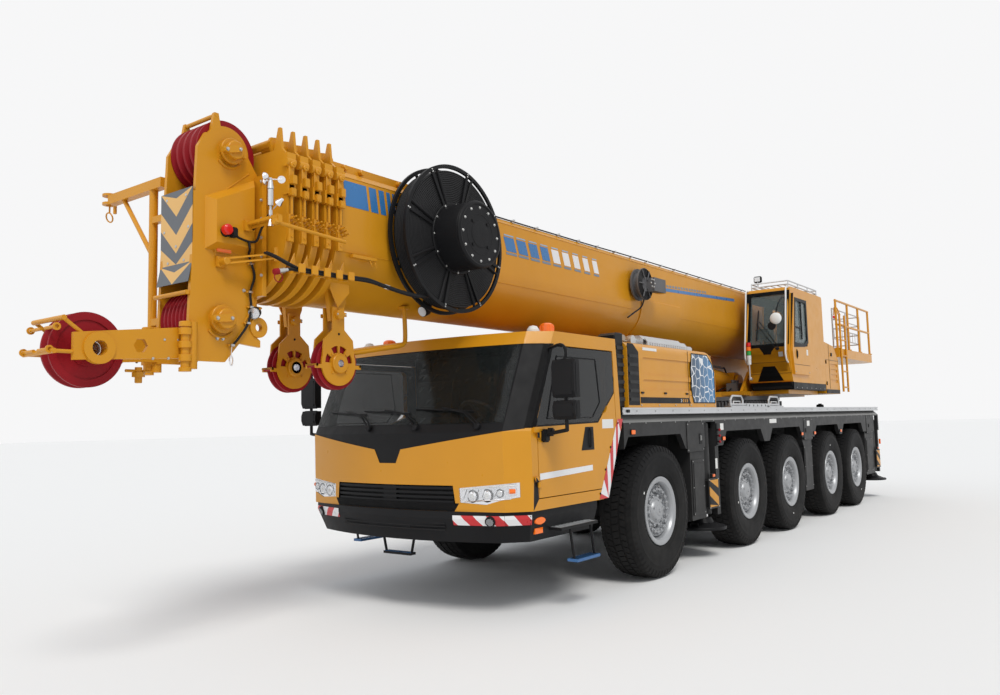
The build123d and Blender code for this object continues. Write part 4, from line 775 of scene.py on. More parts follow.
def bands(piece, corners, count, slant, finishes=(0, 1), thick=0.002, point=False):
    """Flat warning stripes on a four-cornered plate; point folds each band into a V."""
    corners = [Vector(corner) for corner in corners]
    out = (corners[1] - corners[0]).cross(corners[3] - corners[0]).normalized() * thick
    columns = 2 if point else 1
    for column in range(columns):
        for number in range(-6, count + 6):
            outline = []
            for u, edge in ((0.0, number), (1.0, number), (1.0, number + 1), (0.0, number + 1)):
                lean = slant * (1 - u if column else u) if point else slant * u
                v = min(1.0, max(0.0, (edge + lean) / count))
                outline.append(within(corners, (column + u) / columns, v))
            outline = distinct(outline, 1e-4)
            if len(outline) > 2:
                piece.solid([outline, [spot + out for spot in outline]], finishes[number % 2])


def in_cowl(spot, normal):
    """Faces of the cab's recess round the windscreen."""
    return (
        spot.x > AXLE_1 + 1.95 and abs(spot.y) < CAB_HALF - 0.035 and spot.z > CAB_BOTTOM + 0.36
        and spot.z < CAB_TOP - 0.1 and cab_front(spot.y, spot.z) - spot.x > 0.0012
    )


def in_grille(spot, normal):
    """Faces of the pockets of the grille and the headlamps."""
    return spot.z < CAB_BOTTOM + 0.26 and spot.z > CAB_BOTTOM + 0.05 and cab_front(
        spot.y, spot.z
    ) - spot.x > 0.004 and spot.x > AXLE_1 + 2.0


def on_tread(spot, normal):
    """Upper faces of the entry step's treads."""
    level = 0.70 < spot.z < 0.74 and normal.z > 0.9
    return level and abs(spot.y) > CAB_HALF - 0.145 and spot.x < AXLE_1 + 1.96


def on_rungs(spot, normal):
    """The hanging rungs, and the upper face of the one in the middle."""
    return (0.41 < spot.z < 0.445 and abs(spot.y) > 1.2) or (0.485 < spot.z < 0.515 and normal.z > 0.9)


def cab_inside(spot, normal):
    """Faces of the inner walls."""
    return abs(spot.y) < CAB_HALF - 0.055 and spot.z < CAB_TOP - 0.05 and spot.x < cab_front(
        spot.y, spot.z
    ) - 0.055


paint("cab_shell", yellow, (frit, in_cowl), (plastic, in_grille), (trim, cab_inside))
paint(
    "cab_interior", trim,
    (seat_cloth, lambda spot, normal: spot.x < AXLE_1 + 1.8 and spot.z > CAB_BOTTOM + 0.2),
)
paint("bumper", black, (aluminium, on_tread), (rung_blue, on_rungs))
paint(
    "lamps", orange_lens, (reflector, lambda spot, normal: spot.z < 1.3),
    (black, lambda spot, normal: CAB_TOP - 0.01 < spot.z < CAB_TOP + 0.032 and spot.x < AXLE_1 + 1.65),
    (white, lambda spot, normal: spot.z > 2 and spot.x > AXLE_1 + 1.65),
)

glass_top, glass_low = CAB_TOP - 0.118, BELT + 0.075
windscreen = Piece("windscreen", "carrier", "dark_paint", glass)
front_patch(
    windscreen, ((-1.15, glass_low), (1.15, glass_low), (1.14, glass_top), (-1.14, glass_top)), 0.0008,
    0.0028, (40, 12),
)
windscreen.done()

surround = Piece("windscreen_surround", "carrier", "black_paint", frit, plastic, black)
# the mirror over the middle
surround.rod((AXLE_1 + 2.02, 0.0, CAB_TOP - 0.17), (AXLE_1 + 2.02, 0.0, CAB_TOP - 0.30), 0.012, 8, 1)
# dark corner posts between the windscreen and the side windows
for side in (-1, 1):
    z_low, z_high, steps = BELT + 0.025, CAB_TOP - 0.112, 8
    rows = []
    for step in range(steps + 1):
        z = z_low + (z_high - z_low) * step / steps
        share = (z - BELT) / (CAB_TOP - BELT)
        corner_x = AXLE_1 + 2.450 - 0.390 * share - 0.17
        door_x = AXLE_1 + 2.195 - 0.29 * max(0.0, (z - BELT - 0.08)) / 0.65
        rows.append(
            [
                (cab_front(1.286, z) + 0.0015, side * 1.287, z),
                (corner_x + 0.0018, side * (CAB_HALF + 0.0018), z), (door_x, side * (CAB_HALF + 0.002), z),
            ]
        )
    pane(surround, rows, -0.0015 * side, 0)
surround.done()

# wipers: arm, blade and pivot cap
wipers = Piece("wipers", "carrier", "black_paint", black)
for foot_y, tip_y, blade in ((-0.243, -0.80, 0.30), (0.328, -0.255, 0.30), (0.94, 0.45, 0.30)):
    foot_z, tip_z = BELT + 0.045, BELT + 0.205
    foot = Vector((cab_front(foot_y, foot_z) + 0.012, foot_y, foot_z))
    knee_y, knee_z = foot_y - 0.13, BELT + 0.165
    knee = Vector((cab_front(knee_y, knee_z) + 0.05, knee_y, knee_z))
    middle_y = (foot_y + tip_y) / 2 - 0.12
    middle = Vector((cab_front(middle_y, tip_z) + 0.03, middle_y, tip_z + 0.005))
    wipers.rod(foot - Vector((0.02, 0, 0)), foot + Vector((0.018, 0, 0.006)), 0.026, 16, chamfer=0.005)
    wipers.tube([foot, knee, middle], 0.009, 6, smooth=False)
    wipers.tube(
        [foot + Vector((0, 0.03, 0.012)), knee + Vector((0, 0.04, 0.0)), middle + Vector((0, 0.03, 0))],
        0.006, 6, smooth=False,
    )
    start_y, end_y = middle_y + blade, middle_y - blade
    blade_points = []
    for step in range(9):
        y = start_y + (end_y - start_y) * step / 8
        z = tip_z - 0.03 + 0.035 * step / 8
        blade_points.append((cab_front(y, z) + 0.012, y, z))
    wipers.tube(blade_points, 0.008, 6)
    wipers.tube([(x + 0.012, y, z) for x, y, z in blade_points[1:-1]], 0.006, 6)
wipers.done()

# side windows and their printed edges, on the doors
for side_name, side in SIDES:
    door = f"door_{side_name}"

    def on_mirror(spot, normal):
        return abs(spot.y) > CAB_HALF + 0.016 and spot.x > AXLE_1 + 2.0 and spot.z > BELT - 0.05

    def in_band(spot, normal):
        return CAB_HALF - 0.0045 < abs(spot.y) < CAB_HALF - 0.001 and spot.z > BELT

    def in_pocket(spot, normal):
        return (
            AXLE_1 + 1.262 < spot.x < AXLE_1 + 1.395 and BELT - 0.158 < spot.z < BELT - 0.012
            and CAB_HALF - 0.04 < abs(spot.y) < CAB_HALF - 0.0005
        )

    def inner_face(spot, normal):
        return abs(spot.y) < CAB_HALF - 0.045

    paint(door, yellow, (frit, in_band), (plastic, on_mirror), (black, in_pocket), (trim, inner_face))
    window = Piece(f"door_window_{side_name}", door, "dark_paint", dark_glass, black)
    y = CAB_HALF - 0.0032
    # pane over the whole dark band, inside its recess
    outline = [
        (2.19, BELT + 0.045), (2.19, BELT + 0.08), (1.905, CAB_TOP - 0.135), (0.875, CAB_TOP - 0.135),
        (0.865, BELT + 0.34), (1.185, BELT + 0.065),
    ]
    window.plate([(AXLE_1 + x, z) for x, z in outline], "y", side * y, side * (y + 0.0024), finish=0)
    # frame of the opening pane
    frame_points = [
        (2.03, BELT + 0.10), (1.86, CAB_TOP - 0.22), (1.20, CAB_TOP - 0.22), (1.14, BELT + 0.24),
        (1.28, BELT + 0.10),
    ]
    ring = [(AXLE_1 + x, side * (y + 0.003), z) for x, z in frame_points]
    window.tube(ring + ring[:1], 0.007, 6, finish=1, smooth=False)
    window.done()
    trim_piece = Piece(f"door_fittings_{side_name}", door, "black_paint", mirror, plastic, label_white, black)
    # dark bowl round the handle, and the grip across it
    y = side * (CAB_HALF + 0.0004)
    trim_piece.plate(
        [(3.625, 1.365), (3.40, 1.365), (3.41, 1.575), (3.55, 1.575)], "y", y, y + side * 0.0016, 0, 3
    )
    trim_piece.tube(
        [
            (3.475, y, 1.395), (3.475, y + side * 0.014, 1.41), (3.475, y + side * 0.014, 1.54),
            (3.475, y, 1.555),
        ],
        0.009, 8, 1,
    )
    m_x = AXLE_1 + 2.09 - 0.0015
    # mirrors: the glass and the rounded backs, then the feet of their arm
    for back, front, near, far, low, high, bevel, finish in (
        (m_x - 0.004, m_x, 0.165, 0.355, 0.105, 0.225, 0.001, 0),
        (m_x - 0.004, m_x, 0.165, 0.355, 0.29, 0.56, 0.001, 0),
        (m_x + 0.006, m_x + 0.088, 0.147, 0.373, 0.085, 0.245, 0.028, 1),
        (m_x + 0.006, m_x + 0.088, 0.147, 0.373, 0.265, 0.585, 0.028, 1),
        (AXLE_1 + 2.06, AXLE_1 + 2.14, 0.0, 0.05, -0.1, 0.01, 0.012, 1),
        (AXLE_1 + 2.06, AXLE_1 + 2.12, 0.04, 0.10, -0.05, 0.02, 0.012, 1),
    ):
        ys = (side * (CAB_HALF + near), side * (CAB_HALF + far))
        trim_piece.box((back, front), ys, (BELT + low, BELT + high), bevel, finish)
    # bent arm over the mirrors
    arm_y = side * (CAB_HALF + 0.26)
    trim_piece.tube(
        [
            (AXLE_1 + 2.12, arm_y, BELT + 0.58), (AXLE_1 + 2.12, arm_y, BELT + 0.67),
            (AXLE_1 + 2.09, side * (CAB_HALF + 0.19), BELT + 0.715),
            (AXLE_1 + 1.98, side * (CAB_HALF + 0.004), BELT + 0.70),
        ],
        0.013, 8, finish=3,
    )
    trim_piece.done()

# headlamps
for side_name, side in SIDES:
    lamp_piece = Piece(
        f"headlamp_{side_name}", "carrier", "lamp_plastic", reflector, clear_lens, black, orange_lens, white
    )

    def skin_point(y, z, depth):
        return Vector((cab_front(y, z, depth), side * y, z))

    for y, z, size in (
        (0.88, CAB_BOTTOM + 0.128, 0.044), (1.01, CAB_BOTTOM + 0.135, 0.046), (1.12, CAB_BOTTOM + 0.155, 0.03)
    ):
        out = Vector((1, side * 0.12, 0)).normalized()
        spot = skin_point(y, z, 0.004)
        lamp_piece.rod(spot - out * 0.004, spot + out * 0.003, size * 1.2, 24, 2)
        lamp_piece.rod(spot + out * 0.001, spot + out * 0.006, size, 24, 0, tip=size * 0.8)
        lamp_piece.rod(spot + out * 0.004, spot + out * 0.010, size * 0.55, 20, 4, tip=size * 0.4)
    # daylight strip along the upper edge, and the indicator at the outer end
    for y, wide, z, rise, parts, depth, radius, sides, finish in (
        (0.80, 0.42, 0.188, 0.030, 12, -0.001, 0.007, 6, 4),
        (0.80, 0.40, 0.082, 0.028, 12, -0.001, 0.005, 6, 0), (1.19, 0.035, 0.17, 0.0, 4, 0.0, 0.020, 8, 3),
    ):
        shares = [step / parts for step in range(parts + 1)]
        strip = [skin_point(y + wide * share, CAB_BOTTOM + z + rise * share, depth) for share in shares]
        lamp_piece.tube(strip, radius, sides, finish=finish)
    for number in range(7):
        y = 0.80 + 0.055 * number
        spot = skin_point(y, CAB_BOTTOM + 0.108 + 0.004 * number, 0.003)
        lamp_piece.tube(
            [spot, skin_point(y + 0.03, CAB_BOTTOM + 0.185, 0.003)], 0.0022, 4, finish=2, smooth=False
        )
    # clear cover
    cover = [
        (0.77, CAB_BOTTOM + 0.078), (1.245, CAB_BOTTOM + 0.125), (1.245, CAB_BOTTOM + 0.236),
        (0.766, CAB_BOTTOM + 0.192),
    ]
    rows = patch(cover, (16, 4), lambda spot: skin_point(*spot, -0.009))
    pane(lamp_piece, rows, 0.002, 1)
    lamp_piece.done()

# films, plates and lamps on the cab's outside
films = Piece(
    "cab_films", "carrier", "lamp_plastic", white_film, red_film, orange_lens, black, clear_lens, label_white,
    plastic,
)
for side in (-1, 1):
    low, high = CAB_BOTTOM - 0.112, CAB_BOTTOM - 0.03
    for (x0, y0), (x1, y1), count, slant, towards in (
        ((2.6, 0.70), (2.6, 1.144), 4, -0.17, (-1, 0, 0)),
        ((2.434, 1.155), (2.274, 1.315), 2, -0.32, (-1, -side, 0)),
    ):
        corners = [(x0, y0, low), (x1, y1, low), (x1, y1, high), (x0, y0, high)]
        corners = [(AXLE_1 + x, side * y, z) for x, y, z in corners]
        striped(films, "bumper", corners, towards, count, slant)
    # round fog lamp
    hit, normal, _, _ = skin("bumper").ray_cast(
        Vector((AXLE_1 + 3.2, side * 1.03, CAB_BOTTOM - 0.075)), Vector((-1, 0, 0))
    )
    if hit:
        films.rod(hit - normal * 0.01, hit + normal * 0.02, 0.045, 24, 6, chamfer=0.006)
        films.rod(hit + normal * 0.015, hit + normal * 0.023, 0.034, 24, 4, chamfer=0.004)
    # side lamps on the panel before the step
    for x, z, wide, tall, round_end in ((4.27, 0.81, 0.075, 0.03, True), (4.26, 0.725, 0.06, 0.025, False)):
        hit, normal, _, _ = skin("bumper").ray_cast(Vector((x, side * 1.8, z)), Vector((0, -side, 0)))
        if hit is None:
            continue
        count = 16 if round_end else 4
        turn = 0 if round_end else pi / 4
        grow = 1.0 if round_end else 1.35
        outline = [
            (
                x + wide * grow * cos(2 * pi * n / count + turn),
                z + tall * grow * sin(2 * pi * n / count + turn),
            )
            for n in range(count)
        ]
        films.plate(outline, "y", hit.y - side * 0.008, hit.y + side * 0.014, 0.003, 2)
films.done()

for side_name, side in SIDES:
    door_film = Piece(
        f"door_stripe_{side_name}", f"door_{side_name}", "lamp_plastic", white_film, label_white
    )
    corners = [(4.30, 1.148), (3.44, 1.178), (3.44, 1.228), (4.30, 1.202)]
    inwards = Vector((0, -side, 0))
    corners = [(x, side * 1.5, z) for x, z in corners]
    weave(
        door_film, patch(corners, (12, 1), lambda spot: pressed(f"door_{side_name}", spot, inwards, 0.0015))
    )
    y = side * CAB_HALF
    door_film.plate(
        [(3.24, 1.555), (3.03, 1.555), (3.03, 1.640), (3.24, 1.640)], "y", y, y + side * 0.0012, 0, 1
    )
    door_film.done()
    shell_film = Piece(
        f"cab_side_films_{side_name}", "carrier", "lamp_plastic", white_film, red_film, label_white, black
    )
    # striped plate along the cab's sloping rear edge
    y = side * (DECK_HALF + 0.0005)
    corners = [(3.17, 0.905), (3.335, 0.905), (2.944, 1.64), (2.842, 1.64)]
    bands(shell_film, [(x, y, z) for x, z in corners], 6, 2.4, (0, 1), 0.003 * -side)
    for x, z in ((3.32, 0.955), (3.21, 1.17), (3.10, 1.375), (2.945, 1.60)):
        shell_film.rod((x, y, z), (x, y + side * 0.006, z), 0.010, 10, 3)
    shell_film.done()

roof = Piece("cab_roof_fittings", "carrier", "black_paint", black, yellow, orange_lens, hose)
for side in (-1, 1):
    # ribs of the flashing beacon and its cable
    for out in spokes(12, axis="z"):
        foot = Vector((AXLE_1 + 1.53, side * 1.02, CAB_TOP + 0.035)) + out * 0.066
        roof.rod(foot, foot + Vector((0, 0, 0.065)), 0.004, 6, 2)
    roof.tube(
        [
            (AXLE_1 + 1.45, side * 1.02, CAB_TOP + 0.015), (AXLE_1 + 1.36, side * 1.0, CAB_TOP + 0.012),
            (AXLE_1 + 1.28, side * 1.03, CAB_TOP + 0.006),
        ],
        0.008, 6, 3,
    )
    roof.box(
        (AXLE_1 + 1.72, AXLE_1 + 1.88), (side * 0.98, side * 1.12), (CAB_TOP - 0.001, CAB_TOP + 0.006), 0.002,
        1,
    )
roof.box((AXLE_1 + 1.0, AXLE_1 + 1.06), (-1.1, 1.1), (CAB_TOP, CAB_TOP + 0.018), 0.004, 1)
roof.done()

# slats under the grille, the number plate's blank holder, the tow eyes and the steps' treads
nose = Piece("front_fittings", "carrier", "black_paint", plastic, black, grey_iron, aluminium)
for number in range(5):
    z = CAB_BOTTOM - 0.045 - 0.028 * number
    across = [-0.62 + 1.24 * step / 20 for step in range(21)]
    nose.tube([(cab_front(y, CAB_BOTTOM) + 0.006, y, z) for y in across], 0.006, 5, smooth=False)
nose.box((AXLE_1 + 2.555, AXLE_1 + 2.60), (-0.26, 0.26), (0.745, 0.865), 0.006, 1)
# black panel that joins the grille to the bumper
front_patch(
    nose,
    (
        (-0.71, CAB_BOTTOM + 0.001), (0.71, CAB_BOTTOM + 0.001), (0.755, CAB_BOTTOM + 0.068),
        (-0.755, CAB_BOTTOM + 0.068),
    ),
    -0.002, 0.003, (24, 1),
)
for y in (-0.42, 0.42):
    nose.box((AXLE_1 + 2.36, AXLE_1 + 2.52), (y - 0.03, y + 0.03), (0.655, 0.70), 0.008, 2)
# chequered treads on the steps
for side in (-1, 1):
    for row in range(4):
        for number in range(20):
            x = AXLE_1 + 1.37 + 0.029 * number
            y = side * (CAB_HALF - 0.115 + 0.045 * row)
            turn = 0.012 if (row + number) % 2 else -0.012
            nose.tube(
                [(x - 0.009, y - turn, 0.7355), (x + 0.009, y + turn, 0.7355)], 0.0022, 4, 3, smooth=False
            )
    for number in range(9):
        x = AXLE_1 + 1.36 + 0.042 * number
        nose.rod((x, side * (CAB_HALF - 0.03), 0.4405), (x, side * (CAB_HALF + 0.06), 0.4405), 0.004, 5, 1)
nose.done()


# ---------------------------------------------------------------- boom head
HEAD_SIDE = 0.2
TOP_PIN, LOW_PIN, NOSE_PIN = centre("top_sheaves"), centre("bottom_sheaves"), centre("front_sheave")


def pin_cap(piece, spot, side, radius, turn, finish=0):
    """Round pin end with a locking bar and its two bolts, standing out along Y."""
    spot, out = Vector(spot), Vector((0, side, 0))
    piece.rod(spot, spot + out * 0.02, radius * 1.12, 32, finish, chamfer=0.004)
    piece.rod(spot + out * 0.018, spot + out * 0.062, radius * 0.8, 32, finish, chamfer=0.006)
    along = Vector((cos(turn), 0, sin(turn)))
    other = along.cross(out)
    corner = []
    for step, rise in ((-0.5, 1.0), (1.35, 0.55), (1.35, -0.3), (1.0, -0.72), (-0.4, -0.55)):
        corner.append(spot + along * radius * step + other * radius * 0.42 * rise + out * 0.045)
    piece.solid([corner, [place + out * 0.035 for place in corner]], finish)
    for step in (-0.25, 1.05):
        piece.bolt(spot + along * radius * step + out * 0.08, out, 0.011, 1)


head = Piece("boom_head_fittings", "boom_head", "yellow_paint", boom_yellow, nut_steel, black, chrome)
for side in (-1, 1):
    y = side * (HEAD_SIDE + 0.03)
    pin_cap(head, (TOP_PIN.x, y, TOP_PIN.z), side, 0.085, radians(-12))
    pin_cap(head, (LOW_PIN.x, y, LOW_PIN.z), side, 0.09, radians(-4))
    # curved locking strips round the pins
    for pin, radius in ((TOP_PIN, 0.115), (LOW_PIN, 0.125)):
        arc = [
            (pin.x + radius * sin(t), side * (HEAD_SIDE + 0.006), pin.z - radius * cos(t))
            for t in [radians(-50 + 10 * n) for n in range(11)]
        ]
        head.tube(arc, 0.010, 6, smooth=False)
    # weld beads along the gusset's edges and the plate's rear edge
    for points in (((6.64, 2.86), (6.64, 3.29), (6.36, 3.52)), ((6.40, 2.40), (6.30, 2.55), (6.30, 2.82))):
        head.tube([(x, side * (HEAD_SIDE + 0.001), z) for x, z in points], 0.006, 6, smooth=False)
    # row of bolts beside the head's rear flange
    for number in range(6):
        head.bolt((6.325, side * 0.302, 2.75 + 0.14 * number), (0, side, 0), 0.010, 1)
    # eyelets and bolts on the nose arm
    for x, z in ((7.10, 2.112), (6.99, 2.118), (6.92, 2.245), (7.02, 2.24)):
        head.bolt((x, side * 0.196, z), (0, side, 0), 0.009, 1)
    # hinge pin of the nose arm with its heads and sleeves
    for low, high, radius, chamfer in (
        (2.055, 2.345, 0.030, 0.004), (2.335, 2.37, 0.042, 0.006), (2.03, 2.06, 0.042, 0.006),
        (2.10, 2.145, 0.044, 0), (2.19, 2.235, 0.044, 0), (2.28, 2.325, 0.044, 0),
    ):
        head.rod((6.888, side * 0.232, low), (6.888, side * 0.232, high), radius, 16, chamfer=chamfer)
# spindle under the nose
head.rod((7.12, 0.06, 2.06), (7.12, 0.06, 1.955), 0.024, 12, chamfer=0.004)
head.rod((7.12, 0.06, 2.025), (7.12, 0.06, 1.995), 0.042, 6)
head.rod((7.04, 0.06, 2.035), (7.21, 0.06, 2.035), 0.010, 8)
# guard bars with eyelets round the front sheave
for side in (-1, 1):
    for along, rise in ((0.245, 0.12), (0.285, -0.02)):
        x, z = NOSE_PIN.x + along, NOSE_PIN.z + rise
        head.rod((x, side * 0.03, z), (x, side * 0.165, z), 0.011, 10)
        washer(head, (x, side * 0.17, z), "y", (-0.006, 0.006), (0.012, 0.024), 16)
    head.lathe(
        [(-0.012, 0.045), (0.012, 0.045), (0.016, 0.060), (0.012, 0.075), (-0.012, 0.075)],
        (NOSE_PIN.x, side * 0.118, NOSE_PIN.z), "y", 32, 3, closed=True,
    )
# bracket's fork and ring on the far side
for z in (3.475, 3.545):
    washer(head, (6.685, -1.185, z), "z", (-0.009, 0.009), (0.028, 0.056), 24)
head.rod((6.685, -1.10, 3.44), (6.685, -1.10, 3.38), 0.014, 10, chamfer=0.003)
ring = [
    (6.685 + 0.045 * sin(t) * 0.3, -1.185 + 0.045 * cos(t), 3.365 + 0.036 * sin(t))
    for t in [2 * pi * n / 16 for n in range(17)]
]
head.tube(ring, 0.006, 6, smooth=False)
head.rod((6.685, -1.185, 3.40), (6.685, -1.185, 3.47), 0.007, 8)
head.done()

# chevron plate on the front, its folded lower part and its screws
chevron = Piece(
    "chevron_plate", "boom_head", "yellow_paint",
    material("pale_yellow_film", (0.72, 0.42, 0.13), 0.35, spread=0.04, bump=0.2, grain=300),
    material("grey_blue_film", (0.1, 0.11, 0.125), 0.35, spread=0.06, bump=0.2, grain=300), nut_steel,
)
FRONT = 6.818
half = 0.196
bands(
    chevron, [(FRONT, -half, 2.80), (FRONT, half, 2.80), (FRONT, half, 3.33), (FRONT, -half, 3.33)], 4, -1.4,
    (0, 1), 0.003, True,
)
bands(
    chevron,
    [(FRONT + 0.03, -half, 2.655), (FRONT + 0.03, half, 2.655), (FRONT, half, 2.80), (FRONT, -half, 2.80)], 1,
    -1.4, (1, 0), 0.003, True,
)
for y, z in (
    (-0.12, 3.28), (0.12, 3.28), (-0.15, 3.05), (0.15, 3.05), (0.0, 2.93), (-0.1, 2.82), (0.1, 2.82)
):
    chevron.rod((FRONT + 0.002, y, z), (FRONT + 0.007, y, z), 0.011, 12, 2, chamfer=0.002)
chevron.done()

# hazard lamp, reflector, hose and cable on the side plate
side_kit = Piece(
    "boom_head_electrics", "boom_head", "lamp_plastic", plastic, red_lens, orange_lens, cable_black,
    boom_yellow, nut_steel, red, chrome, clear_lens,
)
y = HEAD_SIDE
on_box = y + 0.074
side_kit.rod((6.61, on_box, 3.03), (6.61, on_box + 0.03, 3.03), 0.04, 20, 0)
side_kit.rod((6.625, on_box + 0.03, 3.035), (6.625, on_box + 0.075, 3.035), 0.038, 20, 1, chamfer=0.012)
side_kit.box((6.54, 6.59), (on_box, on_box + 0.06), (2.99, 3.06), 0.008, 0)
side_kit.box((6.505, 6.655), (y, y + 0.012), (2.885, 2.95), 0.003, 4)
side_kit.box((6.52, 6.64), (y + 0.012, y + 0.022), (2.892, 2.942), 0.004, 2)
side_kit.tube(
    [
        (6.55, on_box + 0.03, 3.01), (6.50, on_box + 0.02, 2.995), (6.41, on_box + 0.012, 2.985),
        (6.36, on_box + 0.02, 3.0), (6.35, on_box + 0.04, 3.05), (6.345, on_box + 0.07, 3.10),
        (6.33, on_box + 0.09, 3.13),
    ],
    0.009, 8, 3,
)
side_kit.tube(
    [
        (6.42, on_box + 0.012, 2.985), (6.41, on_box + 0.01, 2.93), (6.38, y + 0.03, 2.90),
        (6.355, y + 0.022, 2.85),
    ],
    0.009, 8, 3,
)
side_kit.tube(
    [
        (6.35, y + 0.022, 2.84), (6.325, y + 0.022, 2.75), (6.36, y + 0.022, 2.625), (6.352, y + 0.022, 2.52),
        (6.378, y + 0.022, 2.40), (6.446, y + 0.022, 2.30), (6.512, y + 0.022, 2.226),
    ],
    0.009, 8, 3,
)
for x, z in ((6.35, 2.84), (6.361, 2.63), (6.352, 2.52), (6.378, 2.40), (6.512, 2.23)):
    side_kit.box((x - 0.015, x + 0.015), (y, y + 0.034), (z - 0.008, z + 0.008), 0.002, 5)
    side_kit.rod((x + 0.022, y, z), (x + 0.022, y + 0.02, z), 0.008, 8, 4)
# shackle that hangs from the cable's end
side_kit.tube([(6.515, y + 0.022, 2.22), (6.52, y + 0.022, 2.18), (6.52, y + 0.022, 2.15)], 0.004, 6, 7)
for step in (-0.014, 0.014):
    side_kit.tube(
        [
            (6.52 + step * 0.4, y + 0.022, 2.155), (6.52 + step, y + 0.022, 2.125),
            (6.52 + step * 0.6, y + 0.022, 2.095), (6.52, y + 0.022, 2.085),
        ],
        0.005, 6, 7,
    )
# folding link beside the head, with its fork
side_kit.rod((6.60, y + 0.02, 2.82), (6.60, y + 0.09, 2.82), 0.028, 14, 4, chamfer=0.004)
side_kit.box((6.56, 6.64), (y, y + 0.025), (2.78, 2.86), 0.004, 4)
for level in (2.80, 2.835):
    link = [
        (6.615, y + 0.055, level), (6.585, y + 0.085, level), (6.24, y + 0.20, level + 0.07),
        (6.255, y + 0.165, level + 0.07),
    ]
    side_kit.solid([[Vector(corner) + Vector((0, 0, thick)) for corner in link] for thick in (0, 0.012)], 4)
side_kit.rod((6.25, y + 0.18, 2.85), (6.25, y + 0.18, 2.955), 0.026, 12, 4, chamfer=0.004)
# lower bolts and the work lamp behind the plate
for x, z in ((6.62, 2.275), (6.575, 2.275), (6.40, 2.64)):
    side_kit.bolt((x, y, z), (0, 1, 0), 0.011, 5)
side_kit.rod((6.30, y + 0.01, 2.49), (6.335, y + 0.035, 2.475), 0.04, 16, 0, tip=0.045)
side_kit.rod((6.335, y + 0.035, 2.475), (6.343, y + 0.041, 2.471), 0.042, 16, 8)
side_kit.rod((6.33, y + 0.032, 2.477), (6.337, y + 0.037, 2.474), 0.038, 16, 7)
side_kit.tube([(6.29, y - 0.01, 2.53), (6.27, y + 0.03, 2.52), (6.31, y + 0.06, 2.505)], 0.006, 6, 4)
side_kit.done()

# anemometer on its arm
gauge = Piece("anemometer", "boom_head", "bare_aluminium", aluminium, chrome, boom_yellow, cable_black)
gx, gy = 6.44, 0.56
gauge.box((6.40, 6.46), (HEAD_SIDE + 0.06, 0.30), (3.06, 3.14), 0.004, 2)
gauge.box((6.415, 6.445), (0.26, 0.60), (3.10, 3.128), 0.004, 2)
gauge.box((6.412, 6.40), (0.26, 0.60), (3.08, 3.128), 0.001, 2)
# long pin that hangs from the arm's end and reaches back beside the collars
gauge.box((6.405, 6.455), (0.59, 0.655), (3.055, 3.125), 0.008, 2)
gauge.rod((6.47, 0.632, 3.072), (6.44, 0.632, 3.070), 0.026, 6, 2, chamfer=0.004)
gauge.rod((6.44, 0.632, 3.068), (5.80, 0.632, 3.028), 0.014, 12, 2, chamfer=0.004)
for low, high, radius, sides, tip, chamfer in (
    (3.12, 3.20, 0.008, 10, None, 0), (3.20, 3.32, 0.020, 16, None, 0.004), (3.32, 3.38, 0.024, 16, 0.016, 0),
    (3.38, 3.40, 0.010, 10, None, 0),
):
    gauge.rod((gx, gy, low), (gx, gy, high), radius, sides, 0, tip, chamfer)
for arm in spokes(3, radians(20), "z"):
    hub = Vector((gx, gy, 3.39))
    gauge.rod(hub, hub + arm * 0.075, 0.004, 6, 0)
    dome(gauge, hub + arm * 0.075, Vector((-arm.y, arm.x, 0)), 0.028, 0.028, 4, 14, 1, 0.002)
gauge.rod((gx, gy + 0.03, 3.17), (gx, gy + 0.11, 3.21), 0.004, 6, 0)
gauge.rod((gx, gy + 0.09, 3.20), (gx, gy + 0.13, 3.22), 0.028, 14, 1, tip=0.012)
gauge.rod((gx, gy, 3.165), (gx, gy, 3.13), 0.014, 10, 0)
gauge.rod((gx, gy, 3.05), (gx, gy, 3.10), 0.022, 14, 1, tip=0.010)
gauge.tube(
    [
        (gx, gy - 0.02, 3.25), (gx - 0.05, gy - 0.05, 3.23), (gx - 0.07, gy - 0.10, 3.18),
        (gx - 0.06, gy - 0.18, 3.12), (gx - 0.06, gy - 0.28, 3.08),
    ],
    0.006, 6, 3,
)
gauge.done()

